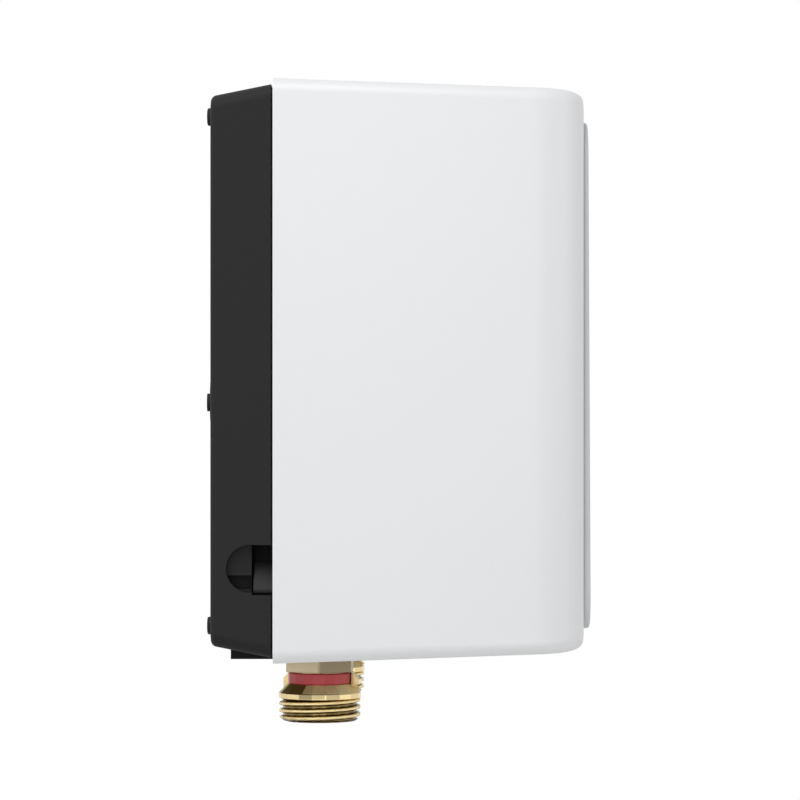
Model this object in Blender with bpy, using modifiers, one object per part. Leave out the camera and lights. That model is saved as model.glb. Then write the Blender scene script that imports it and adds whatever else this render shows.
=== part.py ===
"""Tankless water heater: a small wall-hung electric heater for one basin.

Frame: metres, +Z up, the wall is the plane y = 0 and the heater stands out from it
towards -Y. The origin is the face of the middle wall boss. +X is to the right as one
faces the heater. Most sizes are given as depth (out from the wall) and as height from
the housing's middle, which spot() turns into world places.
"""

import math

import bmesh
import bpy
from mathutils import Matrix, Vector

# Housing as a whole
COVER_WIDTH = 0.190
COVER_HEIGHT = 0.143
COVER_REAR = 0.0166
COVER_FRONT = 0.0925
MIDDLE_BOSS_DROP = 0.0082
TOUCH_GAP = 0.0003
OVERRUN = 0.002
HALF_WIDTH = COVER_WIDTH / 2
HALF_HEIGHT = COVER_HEIGHT / 2

# Places across and out that the connections and the heating block share
FITTING_SHARE = 10 / 19
FITTING_X = HALF_WIDTH * FITTING_SHARE
FITTING_DEPTH = 0.0272
BLOCK_SHARE = 27 / 95
BLOCK_HALF_WIDTH = HALF_WIDTH * BLOCK_SHARE

# Front cover
COVER_WALL = 0.0024
COVER_DRAFT_DEG = 2.1
COVER_CORNER = 0.0035
SIDE_ROUND = 0.013
END_ROUND_DEPTH = 0.011
END_ROUND_HEIGHT = 0.0041
END_ROUND_POWER = 2.4
FRONT_STEPS = 6
CORNER_STEPS = 3

# Front fascia and its pegs
FASCIA_SIDE_INSET = 0.013
FASCIA_TOP_MARGIN = 0.0095
FASCIA_TOP = HALF_HEIGHT - FASCIA_TOP_MARGIN
FASCIA_BOTTOM_MARGIN = 0.0075
FASCIA_BOTTOM = FASCIA_BOTTOM_MARGIN - HALF_HEIGHT
FASCIA_TOP_RISE = 0.0013
FASCIA_BOTTOM_RISE = 0.0023
FASCIA_CORNER = 0.009
FASCIA_EDGE = 0.0007
FASCIA_RECESS = 0.0006
FASCIA_RECESS_MARGIN = 0.0004
FASCIA_BODY = 0.0008
PEG_RADIUS = 0.0018
PEG_HEAD_RADIUS = 0.0026
PEG_HEAD_LENGTH = 0.0014
PEG_CLEARANCE = 0.0003
PEG_INSET = 0.014

# Back shell
SHELL_BACK = 0.0012
SHELL_WALL = 0.0022
SHELL_TAPER_DEG = 10.6
SHELL_RIM_STEP = 0.0014
SHELL_RIM_GAP = 0.0005
SHELL_CORNER = 0.0045
SHELL_BACK_EDGE = 0.0013
SHELL_LIP_FRONT = 0.026
LIP_CLEARANCE = 0.0004

# Pads and boss that bear on the wall
PAD_RADIUS = 0.0022
PAD_FACE_RADIUS = 0.0015
PAD_EDGE_RISE = 0.0003
PAD_SIDE_INSET = 0.0150
PAD_X = HALF_WIDTH - PAD_SIDE_INSET
PAD_END_INSET = 0.0087
PAD_Z = HALF_HEIGHT - PAD_END_INSET
PAD_MIDDLE_DROP = 0.0077
BOSS_DISC_RADIUS = 0.006
BOSS_DISC_RISE = 0.0003
BOSS_RADIUS = 0.0022

# Keyholes that hang the shell on two wall screws
KEYHOLE_SIDE_INSET = 0.0190
KEYHOLE_X = HALF_WIDTH - KEYHOLE_SIDE_INSET
KEYHOLE_TOP_INSET = 0.0235
KEYHOLE_Z = HALF_HEIGHT - KEYHOLE_TOP_INSET
KEYHOLE_HEAD_RADIUS = 0.0048
KEYHOLE_SLOT_RADIUS = 0.0023
KEYHOLE_SLOT_RISE = 0.0085
KEYHOLE_SEAT_RADIUS = 0.0085
KEYHOLE_SEAT_RISE = 0.0008

# Stiffening ribs on the floor of the shell
RIB_WIDTH = 0.0014
RIB_HEIGHT = 0.0035
RIB_OFFSET = 0.0115
RIB_X = BLOCK_HALF_WIDTH + RIB_OFFSET
RIB_TOP_INSET = 0.0095
RIB_TOP = HALF_HEIGHT - RIB_TOP_INSET
RIB_BOTTOM_INSET = 0.0135
RIB_BOTTOM = RIB_BOTTOM_INSET - HALF_HEIGHT

# Finger recess in each side of the shell
RECESS_RISE = 0.0232
RECESS_Z = RECESS_RISE - HALF_HEIGHT
RECESS_HALF_HEIGHT = 0.00585
RECESS_REAR = 0.0051
RECESS_DEPTH = 0.0030
RECESS_POCKET_INSET = 0.0135
RECESS_POCKET_X = HALF_WIDTH - RECESS_POCKET_INSET
RECESS_POCKET_WALL = 0.0016
RECESS_STEP_DROP = 0.0014
RECESS_STEP_TOP = RECESS_Z - RECESS_STEP_DROP
RECESS_STEP_DEPTH = 0.0050
RECESS_STEP_REAR = 0.0068
LATCH_SLOT_REAR = 0.0113

# Latch lever in each recess
LATCH_REAR = 0.0118
LATCH_FRONT = 0.0248
LATCH_REACH = 0.0059
LATCH_LOW = RECESS_Z - LATCH_REACH
LATCH_PAD_RISE = 0.0003
LATCH_PAD_TOP = RECESS_Z + LATCH_PAD_RISE
LATCH_FACE_INSET = 0.0038
LATCH_FACE_X = HALF_WIDTH - LATCH_FACE_INSET
LATCH_THICKNESS = 0.0020
LATCH_PIVOT_INSET = 0.0088
LATCH_PIVOT_X = HALF_WIDTH - LATCH_PIVOT_INSET
LATCH_PIVOT_RISE = 0.0078
LATCH_PIVOT_Z = RECESS_Z + LATCH_PIVOT_RISE
LATCH_EYE_RADIUS = 0.0022
LATCH_PIN_RADIUS = 0.0010
LATCH_PIN_CLEARANCE = 0.0001
LATCH_SLOT_CLEARANCE = 0.0007
NOSE_REAR = 0.0200
NOSE_FRONT = 0.0236
NOSE_DROP = 0.0049
NOSE_LOW = RECESS_Z - NOSE_DROP
NOSE_HEIGHT = 0.0042
NOSE_HIGH = NOSE_LOW + NOSE_HEIGHT
NOSE_POCKET_DEPTH = 0.0011
NOSE_POCKET_MARGIN = 0.0008
LATCH_SPRING_WIDTH = 0.0040
LATCH_SPRING_THICKNESS = 0.0004
LATCH_SPRING_RISE = 0.0021
LATCH_SPRING_TOP = RECESS_Z + LATCH_SPRING_RISE
LATCH_SPRING_LENGTH = 0.0072
LATCH_SPRING_LOW = LATCH_SPRING_TOP - LATCH_SPRING_LENGTH
LATCH_SPRING_BEND = 0.0022
LATCH_SPRING_TOUCH = LATCH_SPRING_LOW + LATCH_SPRING_BEND

# Connection plate below the shell
PLATE_PROUD = 0.0005
PLATE_BOTTOM = -HALF_HEIGHT - PLATE_PROUD
PLATE_REAR = 0.0052
PLATE_FRONT_GAP = 0.0006
PLATE_END_REACH = 0.0160
PLATE_HALF_WIDTH = FITTING_X + PLATE_END_REACH
TONGUE_HALF_WIDTH = 0.0120
TONGUE_REACH = 0.0108
TONGUE_FRONT = FITTING_DEPTH + TONGUE_REACH
TONGUE_CLEARANCE = 0.0005
PLATE_SCREW_SHARE = 24 / 95
PLATE_SCREW_X = HALF_WIDTH * PLATE_SCREW_SHARE
PLATE_SCREW_DEPTH = 0.0106
PLATE_BOSS_RADIUS = 0.0038
PLATE_BOSS_HEIGHT = 0.0160
PLATE_BOSS_TOP = PLATE_BOTTOM + PLATE_BOSS_HEIGHT

# Pipe fittings, hex neck and G 1/2 thread
THREAD_RADIUS = 0.0104775
FITTING_DROP = 0.0166
THREAD_END = PLATE_BOTTOM - FITTING_DROP
THREAD_END_CHAMFER = 0.0011
HEX_ACROSS_FLATS = 0.0165
HEX_DROP = 0.0040
HEX_BOTTOM = PLATE_BOTTOM - HEX_DROP
HEX_RISE = 0.0080
HEX_TOP = PLATE_BOTTOM + HEX_RISE
COLLAR_DROP = 0.0041
COLLAR_TOP = PLATE_BOTTOM - COLLAR_DROP
COLLAR_TOP_RADIUS = 0.0085
COLLAR_CHAMFER_DROP = 0.0023
LEDGE_EAR_HALF_WIDTH = 0.0022
LEDGE_DEPTH = 0.0031
LEDGE_BOTTOM = COLLAR_TOP - LEDGE_DEPTH
LEDGE_OUTER_DEPTH = 0.0054
LEDGE_OUTER_BOTTOM = COLLAR_TOP - LEDGE_OUTER_DEPTH
RING_GROOVE_RADIUS = 0.0071
RING_GROOVE_DEPTH = 0.0030
RING_GROOVE_BOTTOM = COLLAR_TOP - RING_GROOVE_DEPTH
RING_GROOVE_WALL = 0.0083
RING_RADIUS = 0.0080
RING_HEIGHT = 0.0029
FITTING_BORE = 0.0056
FITTING_BORE_RISE = 0.0060
FITTING_BORE_STEP = PLATE_BOTTOM + FITTING_BORE_RISE
SPIGOT_BORE = 0.0044
SPIGOT_RADIUS = 0.0072
SPIGOT_RISE = 0.0230
SPIGOT_TOP = PLATE_BOTTOM + SPIGOT_RISE
SPIGOT_FLANGE_RADIUS = 0.0094
SPIGOT_FLANGE_HEIGHT = 0.0015
SEAL_GROOVE_RADIUS = 0.0060
SEAL_GROOVE_DROP = 0.0020
SEAL_GROOVE_TOP = SPIGOT_TOP - SEAL_GROOVE_DROP
SEAL_GROOVE_HEIGHT = 0.0022
SEAL_CORD_RADIUS = 0.0005
SEAL_CORD_STEPS = 5
CLIP_GROOVE_RADIUS = 0.0062
CLIP_GROOVE_DROP = 0.0082
CLIP_GROOVE_TOP = SPIGOT_TOP - CLIP_GROOVE_DROP
CLIP_GROOVE_HEIGHT = 0.0022
FITTING_STEPS = 18

# Spring clips that hold the fittings in their sockets
CLIP_THICKNESS = 0.0012
CLIP_LEG_WIDTH = 0.0022
CLIP_REAR_REACH = 0.0050
CLIP_FRONT_REACH = 0.0125
CLIP_TAB_LENGTH = 0.0045
CLIP_TAB_HALF_WIDTH = 0.0045

# Strainer and flow limiter in the inlet
STRAINER_RADIUS = 0.0052
STRAINER_TIP_RADIUS = 0.0036
STRAINER_WALL = 0.0008
STRAINER_INSET = 0.0018
STRAINER_BOTTOM = THREAD_END + STRAINER_INSET
STRAINER_LENGTH = 0.0138
STRAINER_TOP = STRAINER_BOTTOM + STRAINER_LENGTH
STRAINER_RIM = 0.0016
LIMITER_GAP = 0.0008
LIMITER_LOW = STRAINER_TOP + LIMITER_GAP
LIMITER_LENGTH = 0.0054
LIMITER_HIGH = LIMITER_LOW + LIMITER_LENGTH
LIMITER_BORE = 0.0015

# Sockets above the fittings
SOCKET_RADIUS = 0.0110
SOCKET_RISE = 0.0102
SOCKET_LOW = PLATE_BOTTOM + SOCKET_RISE
SPIGOT_CLEARANCE = 0.0003

# Flow switch
DRUM_RISE = 0.0420
DRUM_Z = PLATE_BOTTOM + DRUM_RISE
DRUM_HALF = 0.0180
DRUM_CORNER = 0.0050
DRUM_REACH_BACK = 0.0092
DRUM_REAR = FITTING_DEPTH - DRUM_REACH_BACK
DRUM_REACH_OUT = 0.0068
DRUM_FRONT = FITTING_DEPTH + DRUM_REACH_OUT
CHAMBER_RADIUS = 0.0138
CHAMBER_WALL = 0.0020
CHAMBER_FLOOR = DRUM_REAR + CHAMBER_WALL
NECK_HALF_WIDTH = 0.0075
LID_THICKNESS = 0.0036
LID_DOME_RADIUS = 0.0138
LID_DOME_HEIGHT = 0.0105
LID_DOME_FRONT = DRUM_FRONT + LID_DOME_HEIGHT
LID_DOME_DRAFT = 0.0016
LID_WALL = 0.0018
LID_GUIDE_RADIUS = 0.0046
LID_GUIDE_LENGTH = 0.0035
LID_GUIDE_FRONT = LID_DOME_FRONT + LID_GUIDE_LENGTH
LID_SCREW_INSET = 0.0042
DIAPHRAGM_RADIUS = 0.0158
DIAPHRAGM_THICKNESS = 0.0006
PLUNGER_TRAVEL = 0.0016
PLUNGER_PLATE_RADIUS = 0.0098
PLUNGER_PLATE_THICKNESS = 0.0012
PLUNGER_RADIUS = 0.0019
PLUNGER_PROUD = 0.0025
PLUNGER_TIP = LID_GUIDE_FRONT + PLUNGER_PROUD
PLUNGER_CLEARANCE = 0.0002
SPRING_RADIUS = 0.0042
SPRING_WIRE_RADIUS = 0.0004
SPRING_TURNS = 4
SPRING_POINTS = 10
CRADLE_WALL = 0.0016
CRADLE_GAP = 0.0003
SWITCH_LENGTH = 0.0278
SWITCH_HEIGHT = 0.0103
SWITCH_GAP = 0.0021
SWITCH_REAR = PLUNGER_TIP + SWITCH_GAP
SWITCH_ROOM = COVER_FRONT - COVER_WALL - SWITCH_REAR
SWITCH_DEPTH_SHARE = 158 / 375
SWITCH_DEPTH = SWITCH_ROOM * SWITCH_DEPTH_SHARE
SWITCH_TAB_SHARE = 0.16
SWITCH_TAB_LENGTH = SWITCH_ROOM * SWITCH_TAB_SHARE
SWITCH_TAB_WIDTH = 0.0048
SWITCH_TAB_THICKNESS = 0.0008
SWITCH_TAB_PITCH = 0.0090
BUTTON_RADIUS = 0.0016
BUTTON_SEAT_DEPTH = 0.0042
BUTTON_CLEARANCE = 0.0001
ADJUSTER_RADIUS = 0.0030
ADJUSTER_HEAD_RADIUS = 0.0045
ADJUSTER_HEAD_LENGTH = 0.0030
ADJUSTER_LENGTH = 0.0090
ADJUSTER_CLEARANCE = 0.0002
ADJUSTER_SLOT_WIDTH = 0.0010
ADJUSTER_SLOT_DEPTH = 0.0014
ADJUSTER_BOSS_RADIUS = 0.0062
ADJUSTER_BOSS_LENGTH = 0.0030

# Link pipes between the block and the two manifolds
LINK_RADIUS = 0.0050
LINK_WALL = 0.0008
LINK_SOCKET_DEPTH = 0.0040
LINK_CLEARANCE = 0.0003
LINK_Z = DRUM_Z
LINK_DEPTH = FITTING_DEPTH

# Outlet manifold and its thermal cut-out
MANIFOLD_RADIUS = 0.0110
MANIFOLD_TOP_RISE = 0.0150
MANIFOLD_TOP = LINK_Z + MANIFOLD_TOP_RISE
MANIFOLD_BORE = 0.0056
MANIFOLD_ARM_RADIUS = 0.0080
MANIFOLD_ARM_REACH = 0.0165
CUTOUT_PAD_REACH = 0.0128
CUTOUT_PAD_FRONT = FITTING_DEPTH + CUTOUT_PAD_REACH
CUTOUT_PAD_HALF = 0.0085
CUTOUT_RADIUS = 0.0080
CUTOUT_LENGTH = 0.0085
CUTOUT_FLANGE_RADIUS = 0.0092
CUTOUT_FLANGE_THICKNESS = 0.0012
CUTOUT_BOSS_RADIUS = 0.0036
CUTOUT_BOSS_LENGTH = 0.0030
CUTOUT_TAB_WIDTH = 0.0048
CUTOUT_TAB_LENGTH = 0.0060
CUTOUT_TAB_THICKNESS = 0.0008
RESET_TRAVEL = 0.0012
RESET_RADIUS = 0.0020
RESET_PROUD = 0.0022
RESET_SEAT = 0.0045
RESET_CROWN_SHARE = 0.4
RESET_CLEARANCE = 0.0002

# Heating block
BLOCK_REAR = 0.0090
BLOCK_FRONT = FITTING_DEPTH * 2 - BLOCK_REAR
BLOCK_DROP = 0.0140
BLOCK_LOW = LINK_Z - BLOCK_DROP
BLOCK_TOP_INSET = 0.0355
BLOCK_HIGH = HALF_HEIGHT - BLOCK_TOP_INSET
BLOCK_CORNER = 0.0060
BORE_X_SHARE = 13 / 27
BORE_X = BLOCK_HALF_WIDTH * BORE_X_SHARE
BORE_SHARE = 1 / 3
BORE_RADIUS = BLOCK_HALF_WIDTH * BORE_SHARE
BORE_FLOOR_WALL = 0.0060
BORE_FLOOR = BLOCK_LOW + BORE_FLOOR_WALL
BLOCK_RIB_WIDTH = 0.0020
BLOCK_RIB_HEIGHT = 0.0025
BLOCK_RIB_COUNT = 5
BLOCK_RIB_MARGIN = 0.0060
FLANGE_REACH = 0.0040
FLANGE_HEIGHT = 0.0060
GASKET_THICKNESS = 0.0012
CAP_HEIGHT = 0.0100
CAP_CHANNEL_HEIGHT = 0.0040
CAP_SCREW_INSET = 0.0045
FOOT_RADIUS = 0.0045
FOOT_THICKNESS = 0.0050
FOOT_Z_SHARE = 0.72
FOOT_REACH = 0.0052
POST_RADIUS = 0.0042

# Heating coils, their studs and the strap between them
COIL_SHARE = 11 / 18
COIL_RADIUS = BORE_RADIUS * COIL_SHARE
COIL_WIRE_RADIUS = 0.0006
COIL_FLOOR_GAP = 0.0050
COIL_LOW = BORE_FLOOR + COIL_FLOOR_GAP
COIL_TOP_GAP = 0.0090
COIL_HIGH = BLOCK_HIGH - COIL_TOP_GAP
COIL_TURNS = 6
COIL_POINTS = 8
STUD_OFFSET = COIL_RADIUS
STUD_RADIUS = 0.0020
STUD_TOP_REACH = 0.0072
STUD_HOLE_CLEARANCE = 0.0002
NUT_ACROSS_FLATS = 0.0070
NUT_HEIGHT = 0.0032
STRAP_THICKNESS = 0.0010
STRAP_HALF_WIDTH = 0.0036

# Terminal block, grommet and earth screw
TERMINAL_SHIFT = 0.00385
TERMINAL_X = TERMINAL_SHIFT - (HALF_WIDTH + BLOCK_HALF_WIDTH + FOOT_REACH + FOOT_RADIUS) / 2
TERMINAL_TOP_INSET = 0.0585
TERMINAL_Z = HALF_HEIGHT - TERMINAL_TOP_INSET
TERMINAL_PITCH = 0.0110
TERMINAL_WAYS = 3
TERMINAL_HEIGHT = 0.0200
TERMINAL_DEPTH = 0.0170
TERMINAL_BASE = 0.0030
TERMINAL_EDGE = 0.0008
TERMINAL_ENTRY_RADIUS = 0.0021
TERMINAL_ENTRY_LENGTH = 0.0060
TERMINAL_ENTRY_FRONT = 0.0095
TERMINAL_SCREW_RADIUS = 0.0022
TERMINAL_WELL_RADIUS = 0.0028
TERMINAL_WELL_DEPTH = 0.0050
TERMINAL_SCREW_DROP = 0.0015
TERMINAL_SCREW_Z = 0.0045
GROMMET_X = TERMINAL_X
GROMMET_DROP = 0.0210
GROMMET_Z = TERMINAL_Z - GROMMET_DROP
GROMMET_RADIUS = 0.0090
GROMMET_HOLE_RADIUS = 0.0070
GROMMET_BORE = 0.0042
GROMMET_FLANGE = 0.0016
GROMMET_REAR_SHARE = 1 / 3
EARTH_OFFSET = 0.0060
EARTH_X = -BLOCK_HALF_WIDTH - EARTH_OFFSET
EARTH_TOP_INSET = 0.0155
EARTH_Z = HALF_HEIGHT - EARTH_TOP_INSET
EARTH_POST_RADIUS = 0.0045
EARTH_POST_FRONT = 0.0120
LUG_THICKNESS = 0.0008
LUG_RADIUS = 0.0040

# Insulated wires
WIRE_RADIUS = 0.0012
WIRE_GAP = 0.0004
WIRE_STEPS = 4
WIRE_LEAD = 0.0050

# Screws
SCREW_RADIUS = 0.0014
SCREW_HEAD_RADIUS = 0.0027
SCREW_HEAD_HEIGHT = 0.0015
SCREW_HEAD_CROWN = 0.0005
SCREW_LENGTH = 0.0080
SCREW_CLEARANCE = 0.0003
SCREW_STEPS = 8

ROUND_STEPS = 16
SMALL_ROUND_STEPS = 10
SMOOTH_ANGLE_DEG = 35.0

HOUSING_CENTRE_Z = MIDDLE_BOSS_DROP
COVER_DRAFT = math.tan(math.radians(COVER_DRAFT_DEG))
SHELL_TAPER = math.tan(math.radians(SHELL_TAPER_DEG))
SHELL_RIM = COVER_REAR - SHELL_RIM_GAP

OUT = Vector((0.0, -1.0, 0.0))
UP = Vector((0.0, 0.0, 1.0))
RIGHT = Vector((1.0, 0.0, 0.0))

COLOURS = {
    "white_plastic": ((0.83, 0.84, 0.85), 0.30, 0.0),
    "black_plastic": ((0.030, 0.030, 0.032), 0.55, 0.0),
    "grey_plastic": ((0.16, 0.17, 0.18), 0.50, 0.0),
    "pale_plastic": ((0.62, 0.60, 0.54), 0.45, 0.0),
    "red_plastic": ((0.45, 0.05, 0.06), 0.45, 0.0),
    "blue_plastic": ((0.04, 0.12, 0.45), 0.45, 0.0),
    "brass": ((0.66, 0.50, 0.25), 0.28, 1.0),
    "copper": ((0.72, 0.38, 0.24), 0.30, 1.0),
    "steel": ((0.60, 0.60, 0.61), 0.35, 1.0),
    "spring_steel": ((0.50, 0.50, 0.52), 0.30, 1.0),
    "rubber": ((0.025, 0.025, 0.025), 0.80, 0.0),
    "brown_wire": ((0.16, 0.06, 0.03), 0.45, 0.0),
    "blue_wire": ((0.04, 0.13, 0.50), 0.45, 0.0),
    "green_wire": ((0.10, 0.38, 0.06), 0.45, 0.0),
}


def spot(x, depth, z):
    """World place from across, depth out from the wall and height from the middle."""
    return Vector((x, -depth, z + HOUSING_CENTRE_Z))


def clear_scene():
    for item in list(bpy.data.objects):
        bpy.data.objects.remove(item, do_unlink=True)


def make_collection(name):
    collection = bpy.data.collections.new(name)
    bpy.context.scene.collection.children.link(collection)
    return collection


clear_scene()
PARTS = make_collection("tankless_water_heater")
CUTTERS = make_collection("cutters")
SIDES = ((-1, "left"), (1, "right"))


# Materials

def material(name, slot):
    colour, roughness, metallic = COLOURS[slot]
    made = bpy.data.materials.new(name)
    made.use_nodes = True
    shader = made.node_tree.nodes["Principled BSDF"]
    shader.inputs["Base Color"].default_value = (*colour, 1.0)
    shader.inputs["Roughness"].default_value = roughness
    shader.inputs["Metallic"].default_value = metallic
    made.diffuse_color = (*colour, 1.0)
    return made


def finish(piece, name, slot):
    """Name a finished piece, give it its material and put it among the parts."""
    piece.name = name
    piece.data.name = name
    piece.data.materials.clear()
    piece.data.materials.append(material(name, slot))
    for collection in list(piece.users_collection):
        collection.objects.unlink(piece)
    PARTS.objects.link(piece)
    return piece


# Modelling helpers

def object_from(name, mesh):
    piece = bpy.data.objects.new(name, mesh)
    PARTS.objects.link(piece)
    return piece


def smooth(piece):
    piece.data.shade_smooth()
    piece.data.set_sharp_from_angle(angle=math.radians(SMOOTH_ANGLE_DEG))
    return piece


def turn_to(piece, direction):
    piece.rotation_mode = "QUATERNION"
    piece.rotation_quaternion = UP.rotation_difference(direction)


def box(name, x_span, depth_span, z_span):
    """A box between three pairs of limits."""
    middle = [(low + high) / 2 for low, high in (x_span, depth_span, z_span)]
    size = [abs(high - low) for low, high in (x_span, depth_span, z_span)]
    work = bmesh.new()
    bmesh.ops.create_cube(work, size=1.0, matrix=Matrix.Diagonal((*size, 1.0)))
    mesh = bpy.data.meshes.new(name)
    work.to_mesh(mesh)
    work.free()
    piece = object_from(name, mesh)
    piece.location = spot(*middle)
    return piece


def rod(name, place, direction, radius, length, steps=ROUND_STEPS, far_radius=None):
    """A cylinder or cone that starts at a place and runs along a direction."""
    work = bmesh.new()
    bmesh.ops.create_cone(
        work, cap_ends=True, segments=steps, radius1=radius,
        radius2=radius if far_radius is None else far_radius, depth=length,
        matrix=Matrix.Translation(UP * length / 2))
    mesh = bpy.data.meshes.new(name)
    work.to_mesh(mesh)
    work.free()
    piece = object_from(name, mesh)
    piece.location = place
    turn_to(piece, direction)
    return smooth(piece)


def turned(name, profile, place, direction, steps=ROUND_STEPS, closed=True):
    """Turn a profile of (radius, height) points, top to bottom on its outer side."""
    mesh = bpy.data.meshes.new(name)
    points = [(radius, 0.0, height) for radius, height in profile]
    edges = [(index, index + 1) for index in range(len(points) - 1)]
    if closed:
        edges.append((len(points) - 1, 0))
    mesh.from_pydata(points, edges, [])
    piece = object_from(name, mesh)
    screw = piece.modifiers.new("turn", "SCREW")
    screw.axis = "Z"
    screw.angle = math.tau
    screw.steps = steps
    screw.render_steps = steps
    screw.use_merge_vertices = True
    screw.merge_threshold = 0.00001
    screw.use_smooth_shade = False
    piece.location = place
    turn_to(piece, direction)
    return piece


def frozen(piece, weld=False):
    """Replace an object by the plain mesh that its curve or modifiers give."""
    bpy.context.view_layer.update()
    graph = bpy.context.evaluated_depsgraph_get()
    mesh = bpy.data.meshes.new_from_object(piece.evaluated_get(graph))
    if weld:
        work = bmesh.new()
        work.from_mesh(mesh)
        bmesh.ops.remove_doubles(work, verts=work.verts, dist=0.000001)
        bmesh.ops.recalc_face_normals(work, faces=work.faces)
        work.to_mesh(mesh)
        work.free()
    made = object_from(piece.name, mesh)
    made.matrix_world = piece.matrix_world.copy()
    bpy.data.objects.remove(piece, do_unlink=True)
    return made


def slab(name, outline, span, plane):
    """A flat outline, filled and drawn out between two limits.

    FRONT outlines are (x, z), SIDE outlines are (depth, z), TOP outlines are (x, depth).
    """
    curve = bpy.data.curves.new(name, "CURVE")
    curve.dimensions = "2D"
    curve.fill_mode = "BOTH"
    curve.extrude = abs(span[1] - span[0]) / 2
    line = curve.splines.new("POLY")
    line.points.add(len(outline) - 1)
    for point, (across, along) in zip(line.points, outline):
        point.co = (across, along, 0.0, 1.0)
    line.use_cyclic_u = True
    piece = object_from(name, curve)
    middle = (span[0] + span[1]) / 2
    columns = {
        "FRONT": (RIGHT, UP, OUT, spot(0.0, middle, 0.0)),
        "SIDE": (OUT, UP, -RIGHT, spot(middle, 0.0, 0.0)),
        "TOP": (RIGHT, OUT, -UP, spot(0.0, 0.0, middle)),
    }[plane]
    turn = Matrix((columns[0], columns[1], columns[2])).transposed().to_4x4()
    piece.matrix_world = Matrix.Translation(columns[3]) @ turn
    return frozen(piece, weld=True)


def tube(name, points, radius, sides_step=2):
    """A round wire with filled ends along world points."""
    curve = bpy.data.curves.new(name, "CURVE")
    curve.dimensions = "3D"
    curve.bevel_depth = radius
    curve.bevel_resolution = sides_step
    curve.use_fill_caps = True
    line = curve.splines.new("POLY")
    line.points.add(len(points) - 1)
    for point, place in zip(line.points, points):
        point.co = (*place, 1.0)
    piece = object_from(name, curve)
    return smooth(frozen(piece, weld=True))


def loft(name, rings):
    """Skin a row of equal rings of world points and close both ends."""
    work = bmesh.new()
    rows = [[work.verts.new(point) for point in ring] for ring in rings]
    for first, second in zip(rows, rows[1:]):
        for index in range(len(first)):
            following = (index + 1) % len(first)
            work.faces.new((first[index], first[following], second[following], second[index]))
    work.faces.new(rows[0])
    work.faces.new(list(reversed(rows[-1])))
    bmesh.ops.recalc_face_normals(work, faces=work.faces)
    mesh = bpy.data.meshes.new(name)
    work.to_mesh(mesh)
    work.free()
    return object_from(name, mesh)


def use_tool(piece, tool, operation):
    boolean = piece.modifiers.new(tool.name, "BOOLEAN")
    boolean.operation = operation
    boolean.solver = "EXACT"
    boolean.object = tool
    tool.hide_render = True
    tool.display_type = "WIRE"
    for collection in list(tool.users_collection):
        collection.objects.unlink(tool)
    CUTTERS.objects.link(tool)
    return piece


def cut(piece, *tools):
    for tool in tools:
        use_tool(piece, tool, "DIFFERENCE")
    return piece


def join(piece, *tools):
    for tool in tools:
        use_tool(piece, tool, "UNION")
    return piece


def soften(piece, width, segments=2, angle_deg=40.0):
    """Round a piece's own edges."""
    bevel = piece.modifiers.new("soften", "BEVEL")
    bevel.width = width
    bevel.segments = segments
    bevel.limit_method = "ANGLE"
    bevel.angle_limit = math.radians(angle_deg)
    return piece


def arc(centre, radius, start_deg, end_deg, steps):
    """Points on a circle, both ends included."""
    found = []
    for step in range(steps + 1):
        angle = math.radians(start_deg + (end_deg - start_deg) * step / steps)
        found.append((centre[0] + radius * math.cos(angle), centre[1] + radius * math.sin(angle)))
    return found


def rounded_rectangle(half_x, half_z, radius, centre=(0.0, 0.0), steps=CORNER_STEPS):
    """A rectangle's outline with round corners."""
    found = []
    corners = ((1, 1, 0), (-1, 1, 90), (-1, -1, 180), (1, -1, 270))
    for side_x, side_z, start in corners:
        middle = (centre[0] + side_x * (half_x - radius), centre[1] + side_z * (half_z - radius))
        found += arc(middle, radius, start, start + 90, steps)
    return found


def section(half_x, half_z, radius, depth):
    """A rounded section of the housing at one depth, as world points."""
    return [spot(x, depth, z) for x, z in rounded_rectangle(half_x, half_z, radius)]


def hexagon(centre, across_flats, start_deg):
    radius = across_flats / math.sqrt(3)
    return arc(centre, radius, start_deg, start_deg + 300, 5)


def circle(centre, radius, steps):
    return arc(centre, radius, 0.0, 360.0, steps)[:-1]


def screw(name, seat, direction, length=SCREW_LENGTH):
    """A pan-head screw: seat is under its head, direction is the way that it points."""
    profile = [
        (0.0, SCREW_HEAD_HEIGHT),
        (SCREW_HEAD_RADIUS - SCREW_HEAD_CROWN, SCREW_HEAD_HEIGHT),
        (SCREW_HEAD_RADIUS, SCREW_HEAD_HEIGHT - SCREW_HEAD_CROWN),
        (SCREW_HEAD_RADIUS, 0.0),
        (SCREW_RADIUS, 0.0),
        (SCREW_RADIUS, -length),
        (0.0, -length),
    ]
    return turned(name, profile, seat, -direction, SCREW_STEPS, closed=False)


def smooth_route(points, steps=WIRE_STEPS):
    """A smooth curve through a wire's own points, straight in its first and last stretch."""
    last = len(points) - 1
    found = [points[0]]
    for index in range(1, last - 1):
        before, start, end, after = points[index - 1:index + 3]
        for step in range(steps):
            t = step / steps
            pull_in = (end - before) / 2
            pull_out = (after - start) / 2
            found.append(
                start * (2 * t ** 3 - 3 * t ** 2 + 1) + pull_in * (t ** 3 - 2 * t ** 2 + t)
                + end * (3 * t ** 2 - 2 * t ** 3) + pull_out * (t ** 3 - t ** 2))
    return found + points[last - 1:]


# Housing surfaces that several pieces share

def cover_half(full, depth):
    """Half the cover's outer width or height at a depth, before the front rounding."""
    return full / 2 - COVER_DRAFT * (depth - COVER_REAR)


def lip_half(full, depth):
    """Half the outer width or height of the lip that goes inside the cover."""
    return cover_half(full, depth) - COVER_WALL - LIP_CLEARANCE


def shell_half(full, depth):
    """Half the shell's outer width or height behind the cover's rim."""
    return full / 2 - SHELL_RIM_STEP - SHELL_TAPER * (SHELL_RIM - depth)


# Casing

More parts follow.
